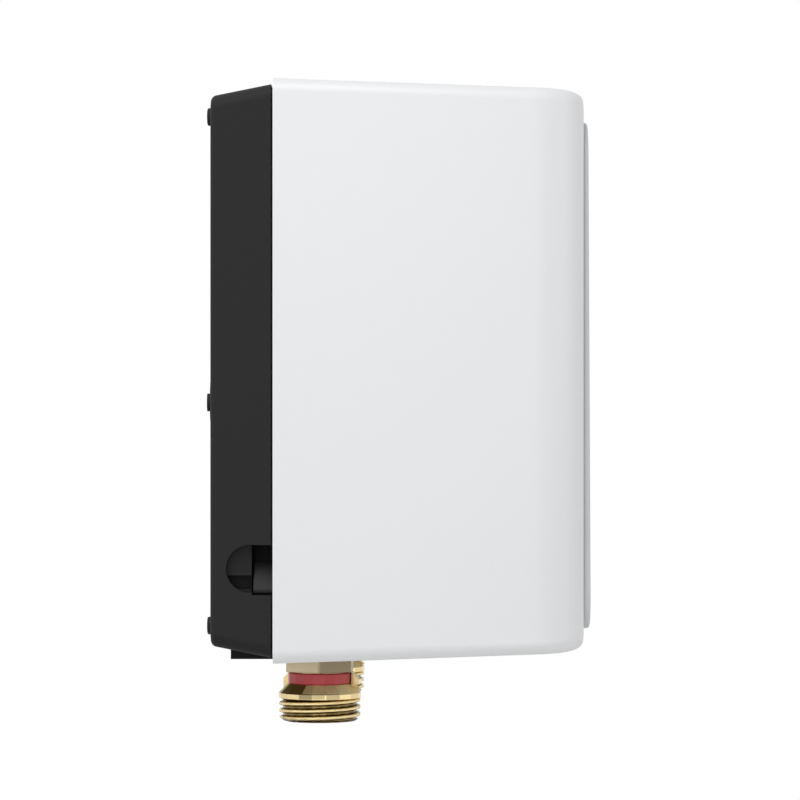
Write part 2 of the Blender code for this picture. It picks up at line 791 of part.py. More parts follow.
def cover_rings(inset):
    """Sections of the cover from its rear rim to its front, drawn in by a wall."""
    front = COVER_FRONT - inset
    rings = [section(
        cover_half(COVER_WIDTH, COVER_REAR) - inset, cover_half(COVER_HEIGHT, COVER_REAR) - inset,
        COVER_CORNER - inset, COVER_REAR)]
    side_start = front - (SIDE_ROUND - inset)
    end_start = front - (END_ROUND_DEPTH - inset)
    side_radius = SIDE_ROUND - inset
    for step in range(FRONT_STEPS + 1):
        turn = math.pi / 2 * step / FRONT_STEPS
        depth = side_start + side_radius * math.sin(turn)
        half_x = cover_half(COVER_WIDTH, depth) - inset - side_radius * (1 - math.cos(turn))
        along = max(0.0, (depth - end_start) / (front - end_start))
        fall = 1 - (1 - min(along, 1.0) ** END_ROUND_POWER) ** (1 / END_ROUND_POWER)
        half_z = cover_half(COVER_HEIGHT, depth) - inset - END_ROUND_HEIGHT * fall
        rings.append(section(half_x, half_z, COVER_CORNER - inset, depth))
    return rings


def build_cover():
    outer = loft("front_cover", cover_rings(0.0))
    inner = loft("cover_hollow", cover_rings(COVER_WALL))
    mouth = box(
        "cover_mouth", (-lip_half(COVER_WIDTH, COVER_REAR), lip_half(COVER_WIDTH, COVER_REAR)),
        (COVER_REAR - OVERRUN, COVER_REAR + OVERRUN),
        (-lip_half(COVER_HEIGHT, COVER_REAR), lip_half(COVER_HEIGHT, COVER_REAR)))
    cut(outer, inner, mouth)
    for side in (-1, 1):
        tongue = TONGUE_HALF_WIDTH + TONGUE_CLEARANCE
        front = TONGUE_FRONT + TONGUE_CLEARANCE
        outline = [(side * FITTING_X + tongue, COVER_REAR - OVERRUN)]
        outline += [(x, depth) for x, depth in arc(
            (side * FITTING_X, front - tongue), tongue, 0.0, 180.0, CORNER_STEPS * 2)]
        outline += [(side * FITTING_X - tongue, COVER_REAR - OVERRUN)]
        cut(outer, slab(
            "cover_notch", outline,
            (-COVER_HEIGHT / 2 - OVERRUN, -COVER_HEIGHT / 2 + COVER_WALL + OVERRUN), "TOP"))
        face = cover_half(COVER_WIDTH, NOSE_REAR) - COVER_WALL
        cut(outer, box(
            "nose_pocket", (side * (face - OVERRUN), side * (face + NOSE_POCKET_DEPTH)),
            (NOSE_REAR - NOSE_POCKET_MARGIN, NOSE_FRONT + NOSE_POCKET_MARGIN),
            (NOSE_LOW - NOSE_POCKET_MARGIN, NOSE_HIGH + NOSE_POCKET_MARGIN)))
    cut(outer, slab(
        "fascia_recess", fascia_outline(FASCIA_RECESS_MARGIN),
        (COVER_FRONT - FASCIA_RECESS, COVER_FRONT + OVERRUN), "FRONT"))
    for x, z in peg_places():
        cut(outer, rod(
            "peg_hole", spot(x, COVER_FRONT - COVER_WALL - OVERRUN, z), OUT,
            PEG_RADIUS + PEG_CLEARANCE, COVER_WALL + OVERRUN * 2, SMALL_ROUND_STEPS))
    finish(outer, "front_cover", "white_plastic")


def fascia_outline(margin):
    half_x = COVER_WIDTH / 2 - COVER_DRAFT * (COVER_FRONT - COVER_REAR) - FASCIA_SIDE_INSET
    half_z = (FASCIA_TOP - FASCIA_BOTTOM) / 2
    centre = (0.0, (FASCIA_TOP + FASCIA_BOTTOM) / 2)
    return rounded_rectangle(
        half_x + margin, half_z + margin, FASCIA_CORNER + margin, centre, CORNER_STEPS + 1)


def peg_places():
    half_x = COVER_WIDTH / 2 - FASCIA_SIDE_INSET - PEG_INSET
    return [(side * half_x, z) for side in (-1, 1)
            for z in (FASCIA_TOP - PEG_INSET, FASCIA_BOTTOM + PEG_INSET)]


def fascia_front(z):
    share = (z - FASCIA_BOTTOM) / (FASCIA_TOP - FASCIA_BOTTOM)
    return COVER_FRONT + FASCIA_BOTTOM_RISE + (FASCIA_TOP_RISE - FASCIA_BOTTOM_RISE) * share


def build_fascia():
    back = COVER_FRONT - FASCIA_RECESS + TOUCH_GAP
    outline = fascia_outline(0.0)
    narrow = fascia_outline(-FASCIA_EDGE)
    narrower = fascia_outline(-FASCIA_EDGE * 2)
    rings = [
        [spot(x, back, z) for x, z in outline],
        [spot(x, fascia_front(z) - FASCIA_EDGE, z) for x, z in outline],
        [spot(x, fascia_front(z) - FASCIA_EDGE * (1 - math.sin(math.radians(45))), z)
         for x, z in fascia_outline(-FASCIA_EDGE * (1 - math.cos(math.radians(45))))],
        [spot(x, fascia_front(z), z) for x, z in narrow],
        [spot(x, fascia_front(z), z) for x, z in narrower],
    ]
    fascia = loft("front_fascia", rings)
    for x, z in peg_places():
        inside = COVER_FRONT - COVER_WALL - TOUCH_GAP
        join(fascia, turned(
            "fascia_peg",
            [(0.0, back + FASCIA_BODY), (PEG_RADIUS, back + FASCIA_BODY), (PEG_RADIUS, inside),
             (PEG_HEAD_RADIUS, inside), (PEG_RADIUS, inside - PEG_HEAD_LENGTH),
             (0.0, inside - PEG_HEAD_LENGTH)],
            spot(x, 0.0, z), OUT, SMALL_ROUND_STEPS, closed=False))
    finish(fascia, "front_fascia", "white_plastic")


def shell_rings():
    """Sections of the shell: back face, tapered outside, lip, then the inside."""
    def ring(depth, half, change, radius):
        return section(half(COVER_WIDTH, depth) - change, half(COVER_HEIGHT, depth) - change,
                       radius, depth)
    edge = SHELL_BACK_EDGE
    rings = []
    for step in range(4):
        turn = math.pi / 2 * step / 3
        depth = SHELL_BACK + edge * (1 - math.sin(turn))
        change = edge * (1 - math.cos(turn))
        rings.append(ring(depth, shell_half, change, SHELL_CORNER - change))
    rings.reverse()
    floor = SHELL_BACK + SHELL_WALL
    rings.append(ring(SHELL_RIM, shell_half, 0.0, SHELL_CORNER))
    rings.append(ring(SHELL_RIM, lip_half, 0.0, SHELL_CORNER - SHELL_RIM_STEP))
    rings.append(ring(SHELL_LIP_FRONT, lip_half, 0.0, SHELL_CORNER - SHELL_RIM_STEP))
    inner = SHELL_CORNER - SHELL_WALL
    rings.append(ring(SHELL_LIP_FRONT, lip_half, SHELL_WALL, inner))
    rings.append(ring(SHELL_RIM, lip_half, SHELL_WALL, inner))
    rings.append(ring(floor, shell_half, SHELL_WALL, inner))
    return rings


def recess_outline(rear, half_height, centre_z):
    """A slot outline in the side, round at the wall end and open at the cover end."""
    centre = (rear + half_height, centre_z)
    front = SHELL_RIM + OVERRUN
    outline = arc(centre, half_height, 90.0, 270.0, CORNER_STEPS * 3)
    outline += [(front, centre_z - half_height), (front, centre_z + half_height)]
    return outline


def build_shell():
    shell = loft("back_shell", shell_rings())
    floor = SHELL_BACK + SHELL_WALL
    bury = SHELL_WALL / 2
    for side in (-1, 1):
        for z in (PAD_Z, -PAD_Z):
            profile = [(0.0, 0.0), (PAD_FACE_RADIUS, 0.0), (PAD_RADIUS - PAD_EDGE_RISE, PAD_EDGE_RISE),
                       (PAD_RADIUS, SHELL_BACK), (PAD_RADIUS, SHELL_BACK + bury),
                       (0.0, SHELL_BACK + bury)]
            profile = [(radius, -height) for radius, height in profile]
            join(shell, turned("wall_pad", profile, spot(side * PAD_X, 0.0, z),
                               -OUT, SMALL_ROUND_STEPS, closed=False))
    boss = [(0.0, 0.0), (BOSS_RADIUS, 0.0), (BOSS_RADIUS, SHELL_BACK - BOSS_DISC_RISE),
            (BOSS_DISC_RADIUS, SHELL_BACK - BOSS_DISC_RISE), (BOSS_DISC_RADIUS, SHELL_BACK + bury),
            (0.0, SHELL_BACK + bury)]
    boss = [(radius, -height) for radius, height in boss]
    for x, drop in ((-PAD_X, PAD_MIDDLE_DROP), (0.0, MIDDLE_BOSS_DROP), (PAD_X, PAD_MIDDLE_DROP)):
        join(shell, turned("wall_boss", boss, spot(x, 0.0, -drop), -OUT, ROUND_STEPS,
                           closed=False))
    for side in (-1, 1):
        join(shell, box("floor_rib", (side * RIB_X - RIB_WIDTH / 2, side * RIB_X + RIB_WIDTH / 2),
                        (floor - bury, floor + RIB_HEIGHT), (RIB_BOTTOM, RIB_TOP)))
    for x, z in block_foot_places():
        join(shell, rod("block_post", spot(x, floor - bury, z), OUT, POST_RADIUS,
                        BLOCK_REAR - TOUCH_GAP - floor + bury, SMALL_ROUND_STEPS))
    join(shell, rod("earth_post", spot(EARTH_X, floor - bury, EARTH_Z), OUT, EARTH_POST_RADIUS,
                    EARTH_POST_FRONT - floor + bury, SMALL_ROUND_STEPS))
    for side in (-1, 1):
        join(shell, rod("plate_boss", spot(side * PLATE_SCREW_X, PLATE_SCREW_DEPTH,
                                           -shell_half(COVER_HEIGHT, PLATE_SCREW_DEPTH) + bury),
                        UP, PLATE_BOSS_RADIUS,
                        PLATE_BOSS_TOP + shell_half(COVER_HEIGHT, PLATE_SCREW_DEPTH) - bury,
                        SMALL_ROUND_STEPS))
        join(shell, rod("keyhole_seat", spot(side * KEYHOLE_X, floor - bury, KEYHOLE_Z), OUT,
                        KEYHOLE_SEAT_RADIUS, KEYHOLE_SEAT_RISE + bury))
        build_recess(shell, side)
        cut(shell, box("neck_notch",
                       (side * FITTING_X - THREAD_RADIUS, side * FITTING_X + THREAD_RADIUS),
                       (FITTING_DEPTH - THREAD_RADIUS, SHELL_LIP_FRONT + OVERRUN),
                       (-COVER_HEIGHT / 2, -COVER_HEIGHT / 2 + COVER_WALL + SHELL_WALL + OVERRUN)))
        head = rod("keyhole_head", spot(side * KEYHOLE_X, SHELL_BACK - OVERRUN,
                                        KEYHOLE_Z - KEYHOLE_SLOT_RISE / 2), OUT,
                   KEYHOLE_HEAD_RADIUS, SHELL_WALL + KEYHOLE_SEAT_RISE + OVERRUN * 2,
                   SMALL_ROUND_STEPS)
        slot_top = KEYHOLE_Z + KEYHOLE_SLOT_RISE / 2
        outline = [(side * KEYHOLE_X + KEYHOLE_SLOT_RADIUS, KEYHOLE_Z - KEYHOLE_SLOT_RISE / 2)]
        outline += arc((side * KEYHOLE_X, slot_top - KEYHOLE_SLOT_RADIUS), KEYHOLE_SLOT_RADIUS,
                       0.0, 180.0, CORNER_STEPS * 2)
        outline += [(side * KEYHOLE_X - KEYHOLE_SLOT_RADIUS, KEYHOLE_Z - KEYHOLE_SLOT_RISE / 2)]
        slot = slab("keyhole_slot", outline,
                    (SHELL_BACK - OVERRUN, floor + KEYHOLE_SEAT_RISE + OVERRUN), "FRONT")
        cut(shell, head, slot)
        cut(shell, rod("plate_screw_hole",
                       spot(side * PLATE_SCREW_X, PLATE_SCREW_DEPTH, PLATE_BOTTOM), UP,
                       SCREW_RADIUS + SCREW_CLEARANCE, SCREW_LENGTH + SCREW_HEAD_RADIUS * 2,
                       SCREW_STEPS))
    for x, z in block_foot_places():
        cut(shell, rod("post_hole", spot(x, floor, z), OUT, SCREW_RADIUS + SCREW_CLEARANCE,
                       BLOCK_REAR, SCREW_STEPS))
    cut(shell, rod("earth_hole", spot(EARTH_X, floor, EARTH_Z), OUT,
                   SCREW_RADIUS + SCREW_CLEARANCE, EARTH_POST_FRONT, SCREW_STEPS))
    cut(shell, rod("cable_hole", spot(GROMMET_X, SHELL_BACK - OVERRUN, GROMMET_Z), OUT,
                   GROMMET_HOLE_RADIUS, SHELL_WALL + OVERRUN * 2))
    finish(shell, "back_shell", "black_plastic")


def build_recess(shell, side):
    """A finger recess with a stepped floor and the slot in which the latch swings."""
    surface = shell_half(COVER_WIDTH, RECESS_REAR + RECESS_HALF_HEIGHT)
    pocket_low = LATCH_LOW - LATCH_SLOT_CLEARANCE - RECESS_POCKET_WALL
    pocket_high = LATCH_PIVOT_Z + LATCH_EYE_RADIUS + LATCH_SLOT_CLEARANCE + RECESS_POCKET_WALL
    floor = SHELL_BACK + SHELL_WALL
    rear = floor - SHELL_WALL / 2
    bury = SHELL_WALL / 2
    pocket = [
        (RECESS_POCKET_X, rear), (shell_half(COVER_WIDTH, rear) - bury, rear),
        (shell_half(COVER_WIDTH, SHELL_RIM) - bury, SHELL_RIM),
        (lip_half(COVER_WIDTH, SHELL_RIM) - bury, SHELL_RIM),
        (lip_half(COVER_WIDTH, SHELL_LIP_FRONT) - bury, SHELL_LIP_FRONT),
        (RECESS_POCKET_X, SHELL_LIP_FRONT)]
    join(shell, slab("recess_pocket", [(side * x, depth) for x, depth in pocket],
                     (pocket_low, pocket_high), "TOP"))
    cut(shell, slab(
        "finger_recess", recess_outline(RECESS_REAR, RECESS_HALF_HEIGHT, RECESS_Z),
        sorted((side * (surface - RECESS_DEPTH), side * (surface + OVERRUN * 2))), "SIDE"))
    step_half = (RECESS_STEP_TOP - RECESS_Z + RECESS_HALF_HEIGHT) / 2
    cut(shell, box(
        "recess_step", (side * (surface - RECESS_STEP_DEPTH), side * (surface + OVERRUN)),
        (RECESS_STEP_REAR, SHELL_RIM), (RECESS_STEP_TOP - step_half * 2, RECESS_STEP_TOP)))
    slot_high = LATCH_PIVOT_Z + LATCH_EYE_RADIUS + LATCH_SLOT_CLEARANCE
    cut(shell, box(
        "latch_slot",
        (side * (RECESS_POCKET_X + RECESS_POCKET_WALL), side * (surface - SHELL_WALL)),
        (LATCH_SLOT_REAR, SHELL_LIP_FRONT + OVERRUN),
        (LATCH_LOW - LATCH_SLOT_CLEARANCE, slot_high)))
    cut(shell, box(
        "latch_window", (side * (surface - SHELL_WALL * 2), side * (surface + OVERRUN * 2)),
        (LATCH_SLOT_REAR, SHELL_LIP_FRONT + OVERRUN),
        (LATCH_LOW - LATCH_SLOT_CLEARANCE, RECESS_Z + RECESS_HALF_HEIGHT)))
    cut(shell, rod(
        "latch_pin_hole", spot(side * LATCH_PIVOT_X, floor + SHELL_WALL / 2, LATCH_PIVOT_Z), OUT,
        LATCH_PIN_RADIUS + TOUCH_GAP, SHELL_LIP_FRONT, SCREW_STEPS))


# Cover latches

def latch_outline(side):
    """The lever seen from the front: an eye, a bent arm and a finger pad."""
    eye = (LATCH_PIVOT_X, LATCH_PIVOT_Z)
    inner = LATCH_FACE_X - LATCH_THICKNESS
    neck = LATCH_EYE_RADIUS * math.cos(math.radians(45))
    outline = arc(eye, LATCH_EYE_RADIUS, -45.0, 225.0, CORNER_STEPS * 3)
    outline += [
        (LATCH_PIVOT_X - neck, LATCH_PIVOT_Z - LATCH_EYE_RADIUS * 2),
        (inner, LATCH_PAD_TOP - LATCH_THICKNESS / 2),
        (inner, LATCH_LOW),
        (LATCH_FACE_X, LATCH_LOW),
        (LATCH_FACE_X, LATCH_PAD_TOP),
        (LATCH_PIVOT_X + neck, LATCH_PIVOT_Z - LATCH_EYE_RADIUS * 2),
    ]
    return [(side * x, z) for x, z in outline]


def build_latch(side, word):
    eye_hole = rod("latch_eye", spot(side * LATCH_PIVOT_X, LATCH_REAR - OVERRUN, LATCH_PIVOT_Z),
                   OUT, LATCH_PIN_RADIUS + LATCH_PIN_CLEARANCE,
                   LATCH_FRONT - LATCH_REAR + OVERRUN * 2, SMALL_ROUND_STEPS)
    lever = slab("latch_" + word, latch_outline(side), (LATCH_REAR, LATCH_FRONT), "FRONT")
    tip = cover_half(COVER_WIDTH, NOSE_FRONT) - COVER_WALL - TOUCH_GAP
    slope = (NOSE_FRONT - NOSE_REAR) / 2
    bury = LATCH_FACE_X - LATCH_THICKNESS / 2
    nose = slab("latch_nose", [(side * bury, NOSE_REAR), (side * tip, NOSE_REAR),
                               (side * tip, NOSE_REAR + slope), (side * bury, NOSE_FRONT)],
                (NOSE_LOW, NOSE_HIGH), "TOP")
    join(lever, nose)
    cut(lever, eye_hole)
    finish(lever, "latch_" + word, "grey_plastic")
    pivot_on(lever, spot(side * LATCH_PIVOT_X, LATCH_REAR, LATCH_PIVOT_Z))
    pin = rod("latch_pin_" + word,
              spot(side * LATCH_PIVOT_X, SHELL_BACK + SHELL_WALL * 2, LATCH_PIVOT_Z), OUT,
              LATCH_PIN_RADIUS, SHELL_LIP_FRONT - SHELL_BACK - SHELL_WALL * 2, SMALL_ROUND_STEPS)
    finish(pin, "latch_pin_" + word, "steel")
    build_latch_spring(side, word)


def pivot_on(piece, place):
    """Put an object's origin on its joint's axis without moving the shape."""
    bpy.context.view_layer.update()
    shift = piece.matrix_world.inverted() @ place
    piece.data.transform(Matrix.Translation(-shift))
    piece.matrix_world = piece.matrix_world @ Matrix.Translation(shift)


def build_latch_spring(side, word):
    """A bent leaf spring between the pocket's wall and the lever."""
    wall = RECESS_POCKET_X + RECESS_POCKET_WALL + TOUCH_GAP
    lever = LATCH_FACE_X - LATCH_THICKNESS - TOUCH_GAP
    thick = LATCH_SPRING_THICKNESS
    bend = LATCH_SPRING_TOUCH
    outline = [
        (wall, LATCH_SPRING_TOP), (wall, LATCH_SPRING_LOW), (wall + thick * 2, LATCH_SPRING_LOW),
        (lever, bend), (lever, bend + thick), (lever - thick, bend + thick),
        (wall + thick * 2, LATCH_SPRING_LOW + thick), (wall + thick, LATCH_SPRING_LOW + thick),
        (wall + thick, LATCH_SPRING_TOP),
    ]
    middle = (LATCH_REAR + LATCH_FRONT) / 2
    leaf = slab("latch_spring_" + word, [(side * x, z) for x, z in outline],
                (middle - LATCH_SPRING_WIDTH / 2, middle + LATCH_SPRING_WIDTH / 2), "FRONT")
    finish(leaf, "latch_spring_" + word, "spring_steel")


# Connections

def plate_top(depth):
    """The plate's upper face, just under the sloping bottom of the shell."""
    return -shell_half(COVER_HEIGHT, depth) - TOUCH_GAP


def build_connection_plate():
    front = COVER_REAR - PLATE_FRONT_GAP
    bar = slab(
        "connection_plate",
        [(PLATE_REAR, PLATE_BOTTOM), (front, PLATE_BOTTOM), (front, plate_top(front)),
         (PLATE_REAR, plate_top(PLATE_REAR))],
        (-PLATE_HALF_WIDTH, PLATE_HALF_WIDTH), "SIDE")
    under_lip = -lip_half(COVER_HEIGHT, SHELL_RIM) - TOUCH_GAP
    root = front - PLATE_FRONT_GAP * 2
    step = SHELL_RIM + TOUCH_GAP
    for side in (-1, 1):
        outline = [(side * FITTING_X + TONGUE_HALF_WIDTH, root)]
        outline += arc((side * FITTING_X, TONGUE_FRONT - TONGUE_HALF_WIDTH), TONGUE_HALF_WIDTH,
                       0.0, 180.0, CORNER_STEPS * 2)
        outline += [(side * FITTING_X - TONGUE_HALF_WIDTH, root)]
        join(bar, slab("tongue_foot", outline, (PLATE_BOTTOM, plate_top(front)), "TOP"))
        raised = [(x, max(depth, step)) for x, depth in outline]
        middle = (PLATE_BOTTOM + plate_top(front)) / 2
        join(bar, slab("tongue_top", raised, (middle, under_lip), "TOP"))
    for side in (-1, 1):
        centre = (side * FITTING_X, FITTING_DEPTH)
        cut(bar, slab("neck_hole", hexagon(centre, HEX_ACROSS_FLATS + TOUCH_GAP * 2, 0.0),
                      (PLATE_BOTTOM - OVERRUN, under_lip + OVERRUN), "TOP"))
        place = spot(side * PLATE_SCREW_X, PLATE_SCREW_DEPTH, PLATE_BOTTOM - OVERRUN)
        cut(bar, rod("plate_screw_way", place, UP, SCREW_RADIUS + SCREW_CLEARANCE,
                     SCREW_LENGTH, SCREW_STEPS))
        cut(bar, rod("plate_screw_seat", place, UP, SCREW_HEAD_RADIUS + SCREW_CLEARANCE,
                     OVERRUN + SCREW_HEAD_HEIGHT + SCREW_HEAD_CROWN, SMALL_ROUND_STEPS))
    finish(bar, "connection_plate", "black_plastic")
    seat = PLATE_BOTTOM + SCREW_HEAD_HEIGHT + SCREW_HEAD_CROWN - TOUCH_GAP
    for side, word in SIDES:
        fixing = screw("plate_screw", spot(side * PLATE_SCREW_X, PLATE_SCREW_DEPTH, seat), UP)
        finish(fixing, "plate_screw_" + word, "steel")


def fitting_profile():
    """Half-section of a fitting, from the spigot's top down its outer side and up the bore."""
    chamfer = THREAD_RADIUS - COLLAR_TOP_RADIUS
    return [
        (SPIGOT_BORE, SPIGOT_TOP),
        (SPIGOT_RADIUS - SEAL_CORD_RADIUS, SPIGOT_TOP),
        (SPIGOT_RADIUS, SPIGOT_TOP - SEAL_CORD_RADIUS),
        (SPIGOT_RADIUS, SEAL_GROOVE_TOP),
        (SEAL_GROOVE_RADIUS, SEAL_GROOVE_TOP),
        (SEAL_GROOVE_RADIUS, SEAL_GROOVE_TOP - SEAL_GROOVE_HEIGHT),
        (SPIGOT_RADIUS, SEAL_GROOVE_TOP - SEAL_GROOVE_HEIGHT),
        (SPIGOT_RADIUS, CLIP_GROOVE_TOP),
        (CLIP_GROOVE_RADIUS, CLIP_GROOVE_TOP),
        (CLIP_GROOVE_RADIUS, CLIP_GROOVE_TOP - CLIP_GROOVE_HEIGHT),
        (SPIGOT_RADIUS, CLIP_GROOVE_TOP - CLIP_GROOVE_HEIGHT),
        (SPIGOT_RADIUS, SOCKET_LOW - TOUCH_GAP),
        (SPIGOT_FLANGE_RADIUS, SOCKET_LOW - TOUCH_GAP),
        (SPIGOT_FLANGE_RADIUS, SOCKET_LOW - TOUCH_GAP - SPIGOT_FLANGE_HEIGHT),
        (RING_GROOVE_RADIUS, HEX_TOP),
        (RING_GROOVE_RADIUS, RING_GROOVE_BOTTOM),
        (RING_GROOVE_WALL, RING_GROOVE_BOTTOM),
        (RING_GROOVE_WALL, COLLAR_TOP),
        (COLLAR_TOP_RADIUS, COLLAR_TOP),
        (COLLAR_TOP_RADIUS + chamfer, COLLAR_TOP - COLLAR_CHAMFER_DROP),
        (THREAD_RADIUS, THREAD_END + THREAD_END_CHAMFER),
        (THREAD_RADIUS - THREAD_END_CHAMFER, THREAD_END),
        (FITTING_BORE, THREAD_END),
        (FITTING_BORE, FITTING_BORE_STEP),
        (SPIGOT_BORE, FITTING_BORE_STEP),
    ]


def build_fitting(side, name, ring_name, ring_slot):
    axis = spot(side * FITTING_X, FITTING_DEPTH, 0.0)
    centre = (side * FITTING_X, FITTING_DEPTH)
    body = turned(name, fitting_profile(), axis, UP, FITTING_STEPS)
    flange_low = SOCKET_LOW - TOUCH_GAP - SPIGOT_FLANGE_HEIGHT / 2
    neck = slab("hex_neck", hexagon(centre, HEX_ACROSS_FLATS, 0.0), (HEX_BOTTOM, flange_low), "TOP")
    cut(neck, rod("neck_bore", spot(*centre, THREAD_END), UP, (FITTING_BORE + SPIGOT_RADIUS) / 2,
                  SPIGOT_TOP - THREAD_END, ROUND_STEPS))
    join(body, neck)
    ledge = turned("spanner_ledge", [
        (RING_RADIUS, HEX_BOTTOM + OVERRUN), (THREAD_RADIUS + OVERRUN, HEX_BOTTOM + OVERRUN),
        (THREAD_RADIUS + OVERRUN, LEDGE_OUTER_BOTTOM), (THREAD_RADIUS, LEDGE_OUTER_BOTTOM),
        (RING_RADIUS, LEDGE_BOTTOM)], axis, UP, FITTING_STEPS)
    cut(ledge, box(
        "collar_ears",
        (side * FITTING_X - LEDGE_EAR_HALF_WIDTH, side * FITTING_X + LEDGE_EAR_HALF_WIDTH),
        (FITTING_DEPTH - THREAD_RADIUS * 2, FITTING_DEPTH + THREAD_RADIUS * 2),
        (LEDGE_OUTER_BOTTOM - OVERRUN, HEX_BOTTOM + OVERRUN * 2)))
    cut(body, ledge)
    finish(body, name, "brass")
    low = RING_GROOVE_BOTTOM + TOUCH_GAP / 2
    inner = RING_GROOVE_RADIUS + TOUCH_GAP / 2
    ring = turned(ring_name, [(inner, low + RING_HEIGHT), (RING_RADIUS, low + RING_HEIGHT),
                              (RING_RADIUS, low), (inner, low)], axis, UP, FITTING_STEPS)
    finish(ring, ring_name, ring_slot)


def build_seal(side, word):
    centre_radius = (SEAL_GROOVE_RADIUS + SPIGOT_RADIUS + SPIGOT_CLEARANCE) / 2
    height = SEAL_GROOVE_TOP - SEAL_GROOVE_HEIGHT / 2
    cord = circle((centre_radius, height), SEAL_CORD_RADIUS, SEAL_CORD_STEPS)
    seal = turned("fitting_seal", list(reversed(cord)), spot(side * FITTING_X, FITTING_DEPTH, 0.0),
                  UP, ROUND_STEPS)
    finish(seal, "fitting_seal_" + word, "rubber")


def build_clip(side, word):
    """A sprung U that is pushed through the socket into the spigot's groove."""
    inner = CLIP_GROOVE_RADIUS + TOUCH_GAP
    outer = inner + CLIP_LEG_WIDTH
    x = side * FITTING_X
    rear = FITTING_DEPTH - CLIP_REAR_REACH
    front = FITTING_DEPTH + CLIP_FRONT_REACH
    outline = [(x - outer, rear), (x - inner, rear)]
    outline += arc((x, FITTING_DEPTH), inner, 180.0, 0.0, CORNER_STEPS * 2)
    outline += [
        (x + inner, rear), (x + outer, rear), (x + outer, front),
        (x + CLIP_TAB_HALF_WIDTH, front), (x + CLIP_TAB_HALF_WIDTH, front + CLIP_TAB_LENGTH),
        (x - CLIP_TAB_HALF_WIDTH, front + CLIP_TAB_LENGTH), (x - CLIP_TAB_HALF_WIDTH, front),
        (x - outer, front),
    ]
    middle = CLIP_GROOVE_TOP - CLIP_GROOVE_HEIGHT / 2
    clip = slab("fitting_clip", outline,
                (middle - CLIP_THICKNESS / 2, middle + CLIP_THICKNESS / 2), "TOP")
    finish(clip, "fitting_clip_" + word, "spring_steel")


def build_inlet_inserts():
    axis = spot(FITTING_X, FITTING_DEPTH, 0.0)
    strainer = turned("inlet_strainer", [
        (0.0, STRAINER_TOP), (STRAINER_TIP_RADIUS, STRAINER_TOP),
        (STRAINER_RADIUS - STRAINER_WALL, STRAINER_BOTTOM + STRAINER_RIM),
        (STRAINER_RADIUS, STRAINER_BOTTOM + STRAINER_RIM), (STRAINER_RADIUS, STRAINER_BOTTOM),
        (STRAINER_RADIUS - STRAINER_WALL * 2, STRAINER_BOTTOM),
        (STRAINER_TIP_RADIUS - STRAINER_WALL, STRAINER_TOP - STRAINER_WALL),
        (0.0, STRAINER_TOP - STRAINER_WALL)], axis, UP, SMALL_ROUND_STEPS, closed=False)
    finish(strainer, "inlet_strainer", "pale_plastic")
    radius = FITTING_BORE - TOUCH_GAP
    limiter = turned("flow_limiter", [
        (LIMITER_BORE, LIMITER_HIGH), (radius - LIMITER_BORE / 2, LIMITER_HIGH),
        (radius, LIMITER_HIGH - LIMITER_BORE / 2), (radius, LIMITER_LOW),
        (LIMITER_BORE * 2, LIMITER_LOW), (LIMITER_BORE, (LIMITER_LOW + LIMITER_HIGH) / 2)],
        axis, UP, SMALL_ROUND_STEPS)
    finish(limiter, "flow_limiter", "blue_plastic")


def socket_cuts(piece, side):
    """The spigot's bore and the clip's slot in a manifold's socket."""
    axis_x = side * FITTING_X
    cut(piece, rod("spigot_way", spot(axis_x, FITTING_DEPTH, SOCKET_LOW - OVERRUN), UP,
                   SPIGOT_RADIUS + SPIGOT_CLEARANCE,
                   SPIGOT_TOP + TOUCH_GAP - SOCKET_LOW + OVERRUN))
    reach = CLIP_GROOVE_RADIUS + TOUCH_GAP * 2 + CLIP_LEG_WIDTH
    middle = CLIP_GROOVE_TOP - CLIP_GROOVE_HEIGHT / 2
    cut(piece, box("clip_slot", (axis_x - reach, axis_x + reach),
                   (FITTING_DEPTH - CLIP_REAR_REACH - TOUCH_GAP,
                    FITTING_DEPTH + SOCKET_RADIUS + OVERRUN),
                   (middle - CLIP_THICKNESS / 2 - TOUCH_GAP, middle + CLIP_THICKNESS / 2 + TOUCH_GAP)))


# Flow switch

def lid_screw_places():
    reach = DRUM_HALF - LID_SCREW_INSET
    return [(FITTING_X + side_x * reach, DRUM_Z + side_z * reach)
            for side_x in (-1, 1) for side_z in (-1, 1)]


def drum_outline():
    return rounded_rectangle(DRUM_HALF, DRUM_HALF, DRUM_CORNER, (FITTING_X, DRUM_Z))


